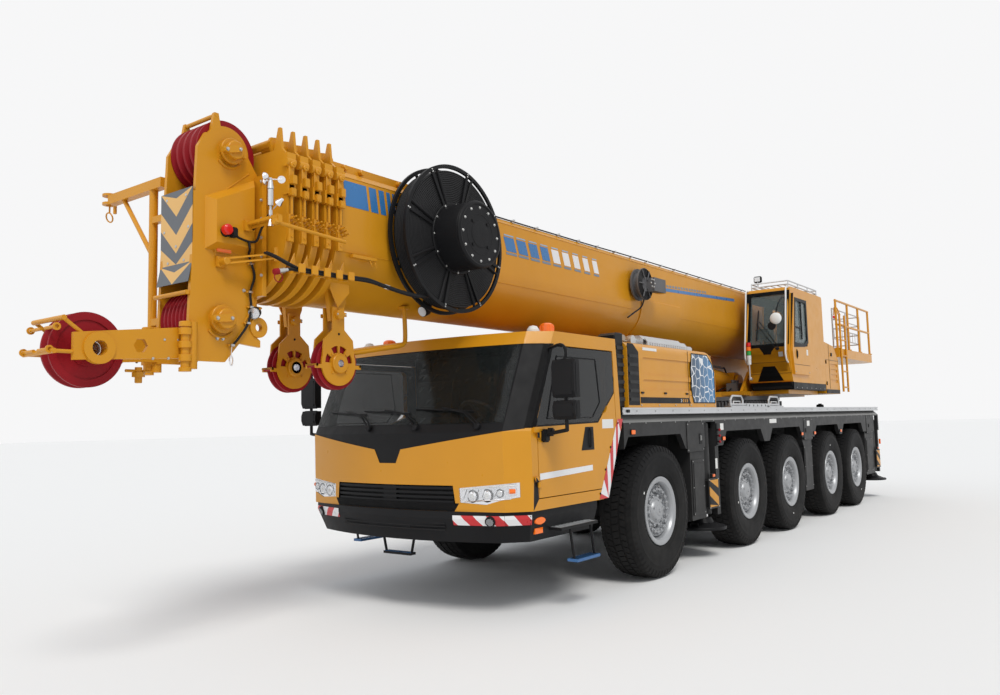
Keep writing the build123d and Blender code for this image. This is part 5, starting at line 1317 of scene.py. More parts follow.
# ---------------------------------------------------------------- boom collars
COLLARS = ["boom_base", "boom_section_2", "boom_section_3", "boom_section_4", "boom_section_5"]
for name in COLLARS:
    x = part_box(name)[1].x - 0.028
    kit = Piece(
        f"{name}_fittings", name, "yellow_paint", boom_yellow, nut_steel, black, hose, cable_black, grey_iron
    )
    for side in (-1, 1):
        # adjusting block of the upper wear pad, with bolts
        y0 = side * 0.508
        kit.plate(
            [(x - 0.052, 3.36), (x - 0.004, 3.36), (x - 0.004, 3.575), (x - 0.022, 3.60), (x - 0.052, 3.585)],
            "y", y0 - side * 0.012, side * 0.532, 0.003, 0,
        )
        kit.box((x - 0.055, x - 0.006), (y0, side * 0.566), (3.40, 3.47), 0.005, 0)
        kit.box((x - 0.055, x - 0.006), (y0, side * 0.556), (3.315, 3.375), 0.005, 0)
        kit.rod((x - 0.03, side * 0.53, 3.55), (x - 0.03, side * 0.553, 3.55), 0.024, 14, 0, chamfer=0.004)
        for z in (3.335, 3.42, 3.45, 3.55):
            kit.bolt((x - 0.03, side * 0.55, z), (0, side, 0), 0.009, 0)
        # push rod under the block
        kit.rod((x - 0.03, side * 0.528, 3.18), (x - 0.03, side * 0.528, 3.32), 0.011, 10, 0)
        # lower wear pad and its two plates
        kit.plate(
            [(x - 0.05, 2.98), (x - 0.004, 2.98), (x - 0.004, 3.185), (x - 0.05, 3.185)], "y", side * 0.50,
            side * 0.529, 0.004, 0,
        )
        for z in (3.02, 3.08, 3.15):
            kit.bolt((x - 0.027, side * 0.526, z), (0, side, 0), 0.009, 0)
        # black plate in the gap beside the pad: painted shade, standing in for the shade in the gap
        kit.box((x - 0.058, x - 0.054), (side * 0.49, side * 0.515), (3.19, 3.31), 0, 2)
        # studs that stand out over the lower pad
        for step in range(3):
            stud_x, z = x - 0.05 + 0.018 * step, 3.10 + 0.022 * step
            kit.rod((stud_x, side * 0.525, z), (stud_x, side * 0.60, z + 0.012), 0.0065, 6, 0)
            kit.rod((stud_x, side * 0.55, z + 0.004), (stud_x, side * 0.565, z + 0.006), 0.013, 6, 0)
    # bolts round the curved lower flange
    for step in range(7):
        turn = radians(-66 + 22 * step)
        kit.bolt((x + 0.027, 0.40 * sin(turn), 3.02 - 0.375 * cos(turn)), (1, 0, 0), 0.011, 0)
    # clamp block of the hose bundle
    kit.plate(
        [(0.50, 2.80), (0.545, 2.80), (0.645, 2.775), (0.645, 2.745), (0.50, 2.745)], "x", x - 0.04,
        x - 0.028, 0, 0,
    )
    kit.plate([(x - 0.05, 2.80), (x + 0.005, 2.80), (x - 0.045, 2.90)], "y", 0.53, 0.542, 0.002, 0)
    for y in (0.585, 0.645):
        kit.box((x - 0.05, x + 0.01), (y, y + 0.012), (2.735, 2.80), 0.002, 0)
    if name != "boom_base":
        # its length of the hose bundle, which meets the next one when the boom is drawn in
        for line in range(4):
            drop, out = 0.016 * (line % 2), 0.014 * (line // 2)
            kit.rod(
                (x + 0.012, 0.607 + out, 2.755 + drop), (x - 0.104, 0.607 + out, 2.755 + drop), 0.010, 8, 3
            )
    # round bars across the collar's top
    kit.rod((x - 0.045, 0.18, 3.735), (x - 0.045, 0.40, 3.735), 0.030, 16, 0, chamfer=0.004)
    kit.done()

# hose bundle, its quick coupling and the line to the reel: it lies in the clamps with the boom drawn in
bundle = Piece("boom_hose_bundle", "boom_base", "dark_paint", hose, label_white, nut_steel)
for number in range(4):
    drop, out = 0.016 * (number % 2), 0.014 * (number // 2)
    bundle.tube(
        [
            (5.797, 0.607 + out, 2.755 + drop), (5.69, 0.612 + out, 2.757 + drop),
            (5.56, 0.615 + out, 2.757 + drop), (5.45, 0.63 + out, 2.742 + drop * 0.5),
        ],
        0.010, 8, 0,
    )
bundle.tube(
    [(5.46, 0.64, 2.745), (5.30, 0.66, 2.715), (5.15, 0.672, 2.695), (5.0, 0.672, 2.695), (4.86, 0.66, 2.72)],
    0.017, 10, 0,
)
bundle.rod((5.405, 0.645, 2.735), (5.36, 0.65, 2.727), 0.0185, 10, 1)
bundle.done()

# front end of the bundle: two lines that turn up towards the head, and the capped quick coupling
ends = Piece("hose_bundle_end", "boom_section_5", "dark_paint", hose, nut_steel, red)
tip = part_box("boom_section_5")[1].x - 0.016
for out in (0.0, 0.022):
    ends.tube(
        [
            (tip, 0.607 + out, 2.771), (tip + 0.06, 0.585 + out, 2.80), (tip + 0.10, 0.50 + out, 2.855),
            (tip + 0.115, 0.42 + out, 2.89),
        ],
        0.010, 8, 0,
    )
ends.tube([(tip, 0.621, 2.755), (tip + 0.05, 0.632, 2.752), (tip + 0.09, 0.635, 2.742)], 0.012, 8, 0)
ends.rod((tip + 0.085, 0.635, 2.743), (tip + 0.115, 0.635, 2.735), 0.014, 12, 1, chamfer=0.003)
ends.rod((tip + 0.112, 0.635, 2.736), (tip + 0.165, 0.635, 2.722), 0.019, 14, 1, chamfer=0.004)
ends.rod((tip + 0.163, 0.635, 2.7225), (tip + 0.200, 0.635, 2.7125), 0.023, 16, 2, chamfer=0.005)
loop = [
    (tip + 0.165 + 0.035 * cos(t), 0.640, 2.678 + 0.032 * sin(t))
    for t in [2 * pi * n / 14 for n in range(15)]
]
ends.tube(loop, 0.004, 6, 2, smooth=False)
ends.done()


# ---------------------------------------------------------------- boom and what hangs on it
BOOM_SIDE = 0.48


def flat(piece, outline, y, finish=0, thick=0.0025):
    """A film on a plane across Y, its outline in (x, z)."""
    piece.plate(outline, "y", y, y + thick * (1 if y > 0 else -1), 0, finish)


def slanted(left, right, low, high, lean=0.06):
    """A four-cornered outline that leans forwards."""
    return [(left, low), (right, low), (right + lean, high), (left + lean, high)]


grey_blue = material("grey_blue_line", (0.16, 0.21, 0.27), 0.35, spread=0.04)
for side_name, side in SIDES:
    film = Piece(
        f"boom_films_{side_name}", "boom_base", "yellow_paint", blue, pale_blue, white_film, grey_blue
    )
    y = side * BOOM_SIDE
    # block of blue bars near the collars
    for left, right in ((5.44, 5.685), (5.33, 5.41), (5.24, 5.30), (5.17, 5.21), (5.12, 5.14)):
        flat(film, slanted(left - 0.03, right - 0.03, 3.37, 3.57, 0.03), y, 0)
    # panel behind the cable reel: bars that fade from blue to white, over a dark base line
    for number in range(9):
        left = 3.36 - 0.205 * number
        flat(film, slanted(left, left + 0.17 - 0.008 * number, 3.33, 3.47, 0.05), y, 0 if number < 4 else 2)
        flat(film, slanted(left - 0.008, left + 0.174 - 0.008 * number, 3.295, 3.318, 0.008), y, 3)
        flat(film, slanted(left + 0.05, left + 0.21 - 0.008 * number, 3.482, 3.495, 0.005), y, 1)
    # long thin stripe towards the tail
    film.plate(
        [(0.35, 3.305), (0.35, 3.348), (-2.50, 3.478), (-2.50, 3.435)], "y", y, y + side * 0.0025, 0, 0
    )
    for number in range(16):
        left = -0.05 - 0.09 * number
        rise = 3.362 + 0.0455 * (0.35 - left)
        flat(film, slanted(left, left + 0.055, rise, rise + 0.03, 0.01), y, 3)
    film.done()

boom_kit = Piece("boom_fittings", "boom_base", "yellow_paint", boom_yellow, nut_steel, black, hose, aluminium)
# bolts of the rail on the boom's top, and lugs along the upper edge
for number in range(8):
    boom_kit.bolt((4.36 + 0.19 * number, 0.35, 3.735), (0, 0, 1), 0.012, 0)
for x in (4.98, 5.42, 5.60):
    boom_kit.rod((x, 0.392, 3.70), (x, 0.43, 3.70), 0.022, 12, 0, chamfer=0.003)
# strut from the near hanging sheave backwards
boom_kit.rod((5.50, 0.27, 2.212), (4.86, 0.27, 2.318), 0.022, 12, 0)
boom_kit.tube([(4.88, 0.27, 2.315), (4.80, 0.27, 2.34), (4.76, 0.25, 2.42), (4.76, 0.24, 2.68)], 0.020, 10, 0)
boom_kit.box((4.72, 4.80), (0.20, 0.28), (2.65, 2.675), 0.004, 0)
# hooked bar behind the collars
boom_kit.box((5.35, 5.62), (0.478, 0.515), (2.955, 2.985), 0.004, 0)
for x in (5.37, 5.42):
    boom_kit.tube(
        [
            (x, 0.50, 2.96), (x, 0.515, 2.925), (x, 0.525, 2.905), (x + 0.012, 0.525, 2.925),
            (x + 0.006, 0.51, 2.95),
        ],
        0.005, 6, 0,
    )
# weld seams along the boom's sides, the lower one on the belly edge
for side in (-1, 1):
    boom_kit.tube([(5.76, side * 0.481, 3.60), (-5.30, side * 0.481, 3.60)], 0.0035, 5, 0, smooth=False)
    boom_kit.tube([(5.76, side * 0.469, 3.0), (-5.30, side * 0.469, 3.0)], 0.0045, 5, 0, smooth=False)
# hose and cable line along the top edge towards the tail
boom_kit.tube(
    [
        (4.30, 0.43, 3.668), (2.0, 0.43, 3.668), (0.9, 0.45, 3.668), (-1.0, 0.45, 3.668), (-3.0, 0.45, 3.668),
        (-5.0, 0.44, 3.668),
    ],
    0.008, 6, 3,
)
for number in range(22):
    x = 4.2 - 0.42 * number
    boom_kit.box((x - 0.012, x + 0.012), (0.418, 0.466), (3.658, 3.680), 0.002, 4)
# work lamp under the boom, over the cab
boom_kit.box((4.52, 4.58), (0.30, 0.36), (2.68, 2.80), 0.004, 2)
boom_kit.rod((4.56, 0.33, 2.66), (4.62, 0.33, 2.635), 0.05, 18, 2, chamfer=0.004)
boom_kit.rod((4.612, 0.33, 2.639), (4.624, 0.33, 2.634), 0.044, 18, 4)
boom_kit.done()


def on_small_reel(spot, normal):
    return 0.55 < spot.x < 1.12 and 3.02 < spot.z < 3.58 and spot.y > BOOM_SIDE + 0.006


paint("boom_base", boom_yellow, (grey_iron, on_small_reel))
small = Piece("small_hose_reel_fittings", "boom_base", "dark_paint", grey_iron, hose, nut_steel, dark)
sx, sz = 0.835, 3.30
low = 0.50
for number in range(6):
    radius = 0.10 + 0.018 * number
    small.lathe(
        [
            (low + 0.118, radius - 0.008), (low + 0.126, radius), (low + 0.118, radius + 0.008),
            (low + 0.110, radius),
        ],
        (sx, 0.012, sz), "y", 40, 1, closed=True,
    )
for out in spokes(6):
    small.rod(Vector((sx, 0.642, sz)) + out * 0.06, Vector((sx, 0.642, sz)) + out * 0.19, 0.008, 6, 0)
    small.bolt(Vector((sx, 0.73, sz)) + out * 0.05, (0, 1, 0), 0.009, 2)
small.tube(
    [
        (sx, 0.60, sz - 0.19), (sx + 0.02, 0.57, sz - 0.28), (sx + 0.10, 0.50, sz - 0.36),
        (sx + 0.20, 0.47, sz - 0.42),
    ],
    0.010, 8, 1,
)
small.done()

# cable reel: windings, spokes, hub bolts
rx, rz = 4.585, 3.240


def on_windings(spot, normal):
    """The cable between the reel's side spokes."""
    return 0.54 < spot.y < 0.70 and (spot - Vector((rx, spot.y, rz))).length < 0.5965


paint("cable_reel", black, (cable_black, on_windings))
reel = Piece("cable_reel_windings", "cable_reel", "black_paint", cable_black, black, nut_steel, plastic)
# section of one turn of cable: along the surface and out of it
turn_line = ((-0.0085, 0.0), (-0.005, 0.007), (0.0, 0.0085), (0.005, 0.007), (0.0085, 0.0))
for number in range(19):
    radius = 0.302 + 0.0162 * number
    for flank, out, sides in ((0.695, 1, 72), (0.545, -1, 48)):
        reel.lathe(
            [(flank + out * rise, radius + step) for step, rise in turn_line], (rx, 0, rz), "y", sides, 0
        )
rim_line = ((-0.008, 0.594), (-0.005, 0.601), (0.0, 0.6035), (0.005, 0.601), (0.008, 0.594))
for number in range(9):
    y = 0.554 + 0.0165 * number
    reel.lathe([(y + step, radius) for step, radius in rim_line], (rx, 0, rz), "y", 72, 0)
for out in spokes(8, 2 * pi * 0.35 / 8):
    across = Vector((-out.z, 0, out.x))
    for y0, y1 in ((0.705, 0.717), (0.5235, 0.5345)):
        near, far = Vector((rx, y0, rz)) + out * 0.275, Vector((rx, y0, rz)) + out * 0.642
        corners = [near - across * 0.014, far - across * 0.014, far + across * 0.014, near + across * 0.014]
        reel.solid([corners, [spot + Vector((0, y1 - y0, 0)) for spot in corners]], 1)
    for radius in (0.615, 0.635):
        reel.bolt(Vector((rx, 0.719, rz)) + out * radius, (0, 1, 0), 0.006, 2)
# hub: flange ring, ribs, cap and its bolts
reel.lathe(
    [(0.705, 0.285), (0.705, 0.315), (0.716, 0.315), (0.722, 0.309), (0.722, 0.285)], (rx, 0, rz), "y", 64, 1
)
reel.lathe(
    [(0.978, 0.255), (0.984, 0.258), (0.988, 0.268), (0.984, 0.282), (0.975, 0.291), (0.962, 0.291)],
    (rx, 0, rz), "y", 64, 1,
)
reel.lathe(
    [(0.978, 0.0), (0.983, 0.0), (0.985, 0.09), (0.983, 0.115), (0.978, 0.118)], (rx, 0, rz), "y", 48, 3
)
reel.lathe([(0.978, 0.165), (0.982, 0.168), (0.982, 0.178), (0.978, 0.181)], (rx, 0, rz), "y", 48, 3)
for out in spokes(12):
    reel.bolt(Vector((rx, 0.978, rz)) + out * 0.232, (0, 1, 0), 0.010, 2)
    reel.bolt(Vector((rx, 0.722, rz)) + out * 0.300, (0, 1, 0), 0.008, 2)
for out in spokes(4, pi / 4):
    reel.box(
        *((a - s, a + s) for a, s in zip(Vector((rx, 0.984, rz)) + out * 0.142, (0.012, 0.004, 0.012))),
        0.002, 1,
    )
reel.done()

# ---------------------------------------------------------------- hanging sheaves
paint(
    "hanging_sheaves", boom_yellow,
    (red, lambda spot, normal: 0.2315 < abs(spot.y) < 0.3085 and spot.z < 2.372),
)
hang = Piece("hanging_sheave_fittings", "boom_base", "yellow_paint", boom_yellow, nut_steel, chrome, black)
hx, hz = 5.605, 2.130
for side in (-1, 1):
    for y, out in ((0.33, 1), (0.21, -1)):
        y, out = side * y, side * out
        # bearing ring and its four lock screws
        hang.lathe(
            [
                (0, 0.052), (out * 0.020, 0.052), (out * 0.024, 0.058), (out * 0.024, 0.072),
                (out * 0.018, 0.078), (0, 0.078),
            ],
            (hx, y, hz), "y", 32, 0, closed=True,
        )
        for arm in spokes(4, pi / 4):
            hang.bolt(Vector((hx, y, hz)) + arm * 0.10, (0, out, 0), 0.009, 0)
        hang.bolt((hx, y, hz + 0.235), (0, out, 0), 0.008, 3)
        # guard bars at the yoke's lower corners
        for step in (-0.225, 0.225):
            hang.rod(
                (hx + step, side * 0.205, hz - 0.015), (hx + step, side * 0.335, hz - 0.015), 0.011, 10, 0
            )
        # pin at the yoke's top
        hang.rod((hx, y, 2.52), (hx, y + out * 0.034, 2.52), 0.040, 20, 0, chamfer=0.005)
        hang.box((hx - 0.055, hx + 0.055), (y + out * 0.026, y + out * 0.036), (2.503, 2.535), 0.003, 0)
        for step in (-0.042, 0.042):
            hang.bolt((hx + step, y + out * 0.034, 2.52), (0, out, 0), 0.007, 1)
    # hollow shaft
    washer(hang, (hx, 0, hz), "y", (side * 0.185, side * 0.352), (0.030, 0.050), 24, 2)
    # stiffening web that ties the hanger to the boom
    hang.plate(
        [(hx - 0.10, 2.70), (hx + 0.02, 2.575), (hx + 0.10, 2.72), (hx + 0.10, 2.78), (hx - 0.10, 2.78)], "y",
        side * 0.335, side * 0.347, 0.002, 0,
    )
hang.done()


# ---------------------------------------------------------------- engine hood
HOOD_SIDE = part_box("engine_hood")[1].y
HOOD_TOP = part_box("engine_hood")[1].z


def cells(tree, place, mixed):
    """White lines between blue cells that darken forwards."""
    web = tree.nodes.new("ShaderNodeTexVoronoi")
    web.feature = "DISTANCE_TO_EDGE"
    web.inputs["Scale"].default_value = 8.5
    web.inputs["Randomness"].default_value = 0.62
    squash = tree.nodes.new("ShaderNodeMapping")
    squash.inputs["Scale"].default_value = (1.0, 0.0, 1.0)
    tree.links.new(place, squash.inputs["Vector"])
    tree.links.new(squash.outputs[0], web.inputs["Vector"])
    line = tree.nodes.new("ShaderNodeMath")
    line.operation = "LESS_THAN"
    line.inputs[1].default_value = 0.04
    tree.links.new(web.outputs["Distance"], line.inputs[0])
    parts = tree.nodes.new("ShaderNodeSeparateXYZ")
    tree.links.new(place, parts.inputs[0])
    fade = tree.nodes.new("ShaderNodeMapRange")
    for key, number in (("From Min", 0.5), ("From Max", 1.15), ("To Min", 0.0), ("To Max", 1.0)):
        fade.inputs[key].default_value = number
    tree.links.new(parts.outputs["X"], fade.inputs["Value"])
    body = mixed(fade.outputs[0], (0.05, 0.22, 0.45), (0.03, 0.05, 0.085))
    return mixed(line.outputs[0], body, (0.72, 0.74, 0.76))


cell_film = material("cell_pattern_film", (0.05, 0.1, 0.2), 0.3, spread=0.02, pattern=cells)
for side_name, side in SIDES:
    hood = Piece(
        f"hood_fittings_{side_name}", "carrier", "dark_paint", black, cell_film, nut_steel, label_white, dark,
        yellow,
    )
    y = side * HOOD_SIDE
    # film with the cell pattern in its thin frame
    outline = [
        (0.50, 1.805), (1.12, 1.805), (1.17, 1.95), (1.17, 2.22), (1.13, 2.37), (0.70, 2.37), (0.56, 2.27),
        (0.50, 2.17),
    ]
    hood.plate(outline, "y", y, y + side * 0.004, 0, 1)
    hood.tube([(a, y + side * 0.003, b) for a, b in outline + outline[:1]], 0.006, 6, 0, smooth=False)
    # black strip along the lower edge with its small arrows
    hood.plate([(1.20, 1.795), (2.42, 1.795), (2.42, 1.857), (1.24, 1.857)], "y", y, y + side * 0.003, 0, 0)
    for number in range(4):
        left = 1.30 + 0.05 * number
        hood.plate(
            [
                (left, 1.808), (left + 0.02, 1.808), (left, 1.827), (left + 0.02, 1.846), (left, 1.846),
                (left - 0.02, 1.827),
            ],
            "y", y + side * 0.003, y + side * 0.0045, 0, 5 if number < 3 else 2,
        )
    # black surround of the air intake, with its slats
    hood.plate(
        [(2.44, 1.775), (2.675, 1.775), (2.675, 2.40), (2.56, 2.40), (2.44, 2.32)], "y", y, y + side * 0.003,
        0, 0,
    )
    for number in range(6):
        z = 1.83 + 0.088 * number
        hood.box((2.455, 2.655), (y - side * 0.012, y + side * 0.010), (z - 0.018, z + 0.022), 0.006, 4)
    # intake block between the hood and the cab
    hood.plate(
        [(2.69, 1.752), (2.862, 1.752), (2.862, 2.47), (2.80, 2.50), (2.69, 2.50)], "y", side * 1.08,
        side * 1.285, 0.012, 0,
    )
    for number in range(7):
        z = 1.84 + 0.085 * number
        hood.box((2.705, 2.85), (side * 1.284, side * 1.298), (z - 0.026, z + 0.018), 0.006, 4)
    # blank labels, latches and screws
    hood.plate(
        [(2.02, 2.345), (2.34, 2.345), (2.34, 2.375), (2.02, 2.375)], "y", y - side * 0.003, y + side * 0.002,
        0, 3,
    )
    for x in (1.30, 1.85, 2.38):
        hood.box((x - 0.03, x + 0.03), (y - side * 0.002, y + side * 0.012), (1.893, 1.913), 0.004, 0)
    for x in (0.50, 0.80, 1.19, 1.60, 2.0, 2.41):
        hood.bolt((x, y, 1.775), (0, side, 0), 0.008, 2)
    hood.tube([(0.475, y + side * 0.001, 1.885), (1.195, y + side * 0.001, 1.885)], 0.003, 4, 4, smooth=False)
    hood.tube([(1.235, y + side * 0.001, 1.765), (1.235, y + side * 0.001, 2.39)], 0.003, 4, 4, smooth=False)
    hood.done()

# exhaust: heat shield, straps, bent tail pipe; hatches on the hood
ex_low, ex_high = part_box("exhaust")
ex_y = (ex_low.y + ex_high.y) / 2
stack = Piece(
    "exhaust_fittings", "carrier", "bare_aluminium", aluminium, nut_steel, black,
    material("heat_tinted_steel", (0.33, 0.28, 0.23), 0.4, metal=0.8, spread=0.25, bump=0.2),
)
for x in (0.80, 1.20, 1.60):
    stack.box(
        (x - 0.02, x + 0.02), (ex_low.y - 0.012, ex_low.y + 0.004), (HOOD_TOP, ex_high.z - 0.05), 0.003, 0
    )
    stack.box(
        (x - 0.02, x + 0.02), (ex_high.y - 0.004, ex_high.y + 0.012), (HOOD_TOP, ex_high.z - 0.05), 0.003, 0
    )
    stack.bolt((x, ex_high.y + 0.012, HOOD_TOP + 0.03), (0, 1, 0), 0.009, 1)
stack.plate(
    [
        (ex_high.y + 0.004, HOOD_TOP + 0.005), (ex_high.y + 0.05, HOOD_TOP + 0.005),
        (ex_high.y + 0.05, HOOD_TOP + 0.075), (ex_high.y + 0.02, ex_high.z - 0.035),
        (ex_high.y + 0.012, ex_high.z - 0.04), (ex_high.y + 0.040, HOOD_TOP + 0.072),
    ],
    "x", 0.66, 1.70, 0, 0,
)
for number in range(9):
    stack.bolt((0.72 + 0.115 * number, ex_high.y + 0.05, HOOD_TOP + 0.02), (0, 1, 0), 0.007, 1)
for row in range(2):
    for number in range(16):
        x = 0.74 + 0.06 * number
        stack.rod(
            (x, ex_high.y + 0.049, HOOD_TOP + 0.042 + 0.018 * row),
            (x, ex_high.y + 0.052, HOOD_TOP + 0.042 + 0.018 * row), 0.005, 8, 2,
        )
stack.box((0.60, 1.74), (ex_low.y - 0.10, ex_high.y + 0.06), (HOOD_TOP, HOOD_TOP + 0.008), 0.002, 0)
stack.box((0.50, 0.68), (0.80, 1.06), (2.255, 2.50), 0.012, 0)
for z in (2.30, 2.36, 2.42):
    stack.tube([(0.495, 0.82, z), (0.495, 1.04, z)], 0.006, 6, 2, smooth=False)
tail = [
    (1.93, ex_y, HOOD_TOP + 0.07), (2.02, ex_y, HOOD_TOP + 0.075), (2.07, ex_y + 0.03, HOOD_TOP + 0.09),
    (2.10, ex_y + 0.09, HOOD_TOP + 0.10),
]
stack.tube(tail, 0.034, 16, 3)
washer(stack, (0, ex_y, HOOD_TOP + 0.07), "x", (1.925, 1.945), (0.05, 0.056), 24)
stack.done()

top = Piece("hood_top_fittings", "carrier", "yellow_paint", yellow, black, nut_steel, underside)
for x, wide, y, deep in ((1.45, 0.42, 0.0, 0.55), (2.28, 0.26, 0.0, 0.60), (0.93, 0.22, 0.0, 0.45)):
    top.box((x - wide, x + wide), (y - deep, y + deep), (HOOD_TOP, HOOD_TOP + 0.012), 0.004, 0)
    for number in range(9):
        at = y - deep * 0.8 + deep * 0.2 * number
        top.box(
            (x - wide * 0.8, x + wide * 0.8), (at - 0.012, at + 0.012), (HOOD_TOP + 0.012, HOOD_TOP + 0.024),
            0.003, 1,
        )
for x, y in ((2.55, 1.15), (2.55, -1.15), (0.75, -1.15), (1.65, -1.15)):
    handle(top, (x - 0.05, y, HOOD_TOP), (x + 0.05, y, HOOD_TOP), 0.035, 0.008, 8, 1)
top.done()

# ---------------------------------------------------------------- deck
deck = Piece("deck_fittings", "carrier", "bare_aluminium", aluminium, nut_steel, black, plastic, rubber, hose)
DECK_FRONT, DECK_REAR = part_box("deck")[1].x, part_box("deck")[0].x
for side_name, side in SIDES:
    # rubbing rail along the edge: two lips and a run of screws, and the end cap
    edge = side * DECK_HALF
    for z in (DECK_TOP - 0.012, DECK_TOP - 0.058):
        deck.box((DECK_REAR, DECK_FRONT), (edge, edge + side * 0.008), (z - 0.010, z + 0.010), 0.003, 0)
    deck.box(
        (DECK_FRONT, DECK_FRONT + 0.012), (edge - side * 0.20, edge), (DECK_TOP - 0.068, DECK_TOP), 0.004, 2
    )
    deck.box(
        (DECK_FRONT - 0.14, DECK_FRONT - 0.08), (edge, edge + side * 0.010),
        (DECK_TOP - 0.052, DECK_TOP - 0.020), 0.003, 2,
    )
    for number in range(24):
        x = DECK_FRONT - 0.3 - 0.42 * number
        deck.bolt((x, edge, DECK_TOP - 0.035), (0, side, 0), 0.007, 1, washer=False)
    # folded hand rails that lie on the deck
    if side > 0:
        for left, right in ((-0.62, -0.20), (-2.05, -1.62)):
            middle = (left + right) / 2
            deck.tube(
                [
                    (left, 1.24, DECK_TOP), (left, 1.24, DECK_TOP + 0.10),
                    (left + 0.06, 1.24, DECK_TOP + 0.15), (right - 0.06, 1.24, DECK_TOP + 0.15),
                    (right, 1.24, DECK_TOP + 0.10), (right, 1.24, DECK_TOP),
                ],
                0.014, 8, 0, smooth=False,
            )
            deck.tube(
                [
                    (left + 0.08, 1.24, DECK_TOP + 0.005), (left + 0.10, 1.24, DECK_TOP + 0.08),
                    (right - 0.10, 1.24, DECK_TOP + 0.08), (right - 0.08, 1.24, DECK_TOP + 0.005),
                ],
                0.009, 8, 0, smooth=False,
            )
            deck.box((middle - 0.30, middle + 0.30), (1.19, 1.285), (DECK_TOP, DECK_TOP + 0.022), 0.005, 0)
        deck.rod((-0.15, 1.24, DECK_TOP + 0.04), (-2.0, 1.24, DECK_TOP + 0.04), 0.016, 10, 0)
        deck.box((-1.50, -0.72), (1.215, 1.265), (DECK_TOP, DECK_TOP + 0.052), 0.004, 0)
        for number in range(5):
            deck.rod(
                (-1.42 + 0.155 * number, 1.266, DECK_TOP + 0.026),
                (-1.42 + 0.155 * number, 1.268, DECK_TOP + 0.026), 0.013, 10, 2,
            )
# raised pattern of the walking plates
for x_low, x_high in ((-2.1, 0.40), (-7.55, -4.15)):
    columns = int((x_high - x_low) / 0.11)
    for side in (-1, 1):
        for column in range(columns):
            for row in range(6):
                if side > 0 and row == 5:
                    continue
                x, y = x_low + 0.11 * column + 0.055 * (row % 2), side * (0.60 + 0.10 * row)
                turn = 0.02 if (row + column) % 2 else -0.02
                corners = ((-1, -1), (1, -1), (1, 1), (-1, 1))
                bar = [(x + 0.020 * along, y + turn * along + 0.005 * across) for along, across in corners]
                deck.plate(bar, "z", DECK_TOP, DECK_TOP + 0.004)
# hatches, filler caps and a tool box between the hood and the turntable
for x, y, wide, deep in (
    (-0.15, 0.35, 0.32, 0.22), (-0.15, -0.55, 0.32, 0.30), (-1.2, -0.95, 0.42, 0.22), (-5.9, 0.0, 0.5, 0.4)
):
    deck.box((x - wide, x + wide), (y - deep, y + deep), (DECK_TOP, DECK_TOP + 0.014), 0.004, 3)
    handle(deck, (x - 0.06, y, DECK_TOP + 0.014), (x + 0.06, y, DECK_TOP + 0.014), 0.031, 0.007, 6, 2)
for x, y in ((0.22, 0.95), (0.22, -1.0), (-4.6, 1.1)):
    deck.rod((x, y, DECK_TOP), (x, y, DECK_TOP + 0.05), 0.06, 24, 2, chamfer=0.01)
    deck.rod((x, y, DECK_TOP + 0.05), (x, y, DECK_TOP + 0.065), 0.03, 12, 2, chamfer=0.004)
deck.done()

# teeth and bolts of the slew ring
slew = Piece("slew_ring_teeth", "carrier", "machine_grey", grey_iron, nut_steel)
ring_low, ring_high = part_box("slew_ring")
ring_radius = (ring_high.x - ring_low.x) / 2
for number in range(110):
    turn = 2 * pi * number / 110
    rings = []
    for z in (ring_low.z + 0.02, ring_low.z + 0.09):
        ring = []
        for radius, half in ((ring_radius - 0.004, 0.019), (ring_radius + 0.030, 0.009)):
            pair = [
                (SLEW_X + radius * cos(turn + s * half), radius * sin(turn + s * half), z) for s in (-1, 1)
            ]
            ring += pair if not ring else pair[::-1]
        rings.append(ring)
    slew.solid(rings)
slew.done()

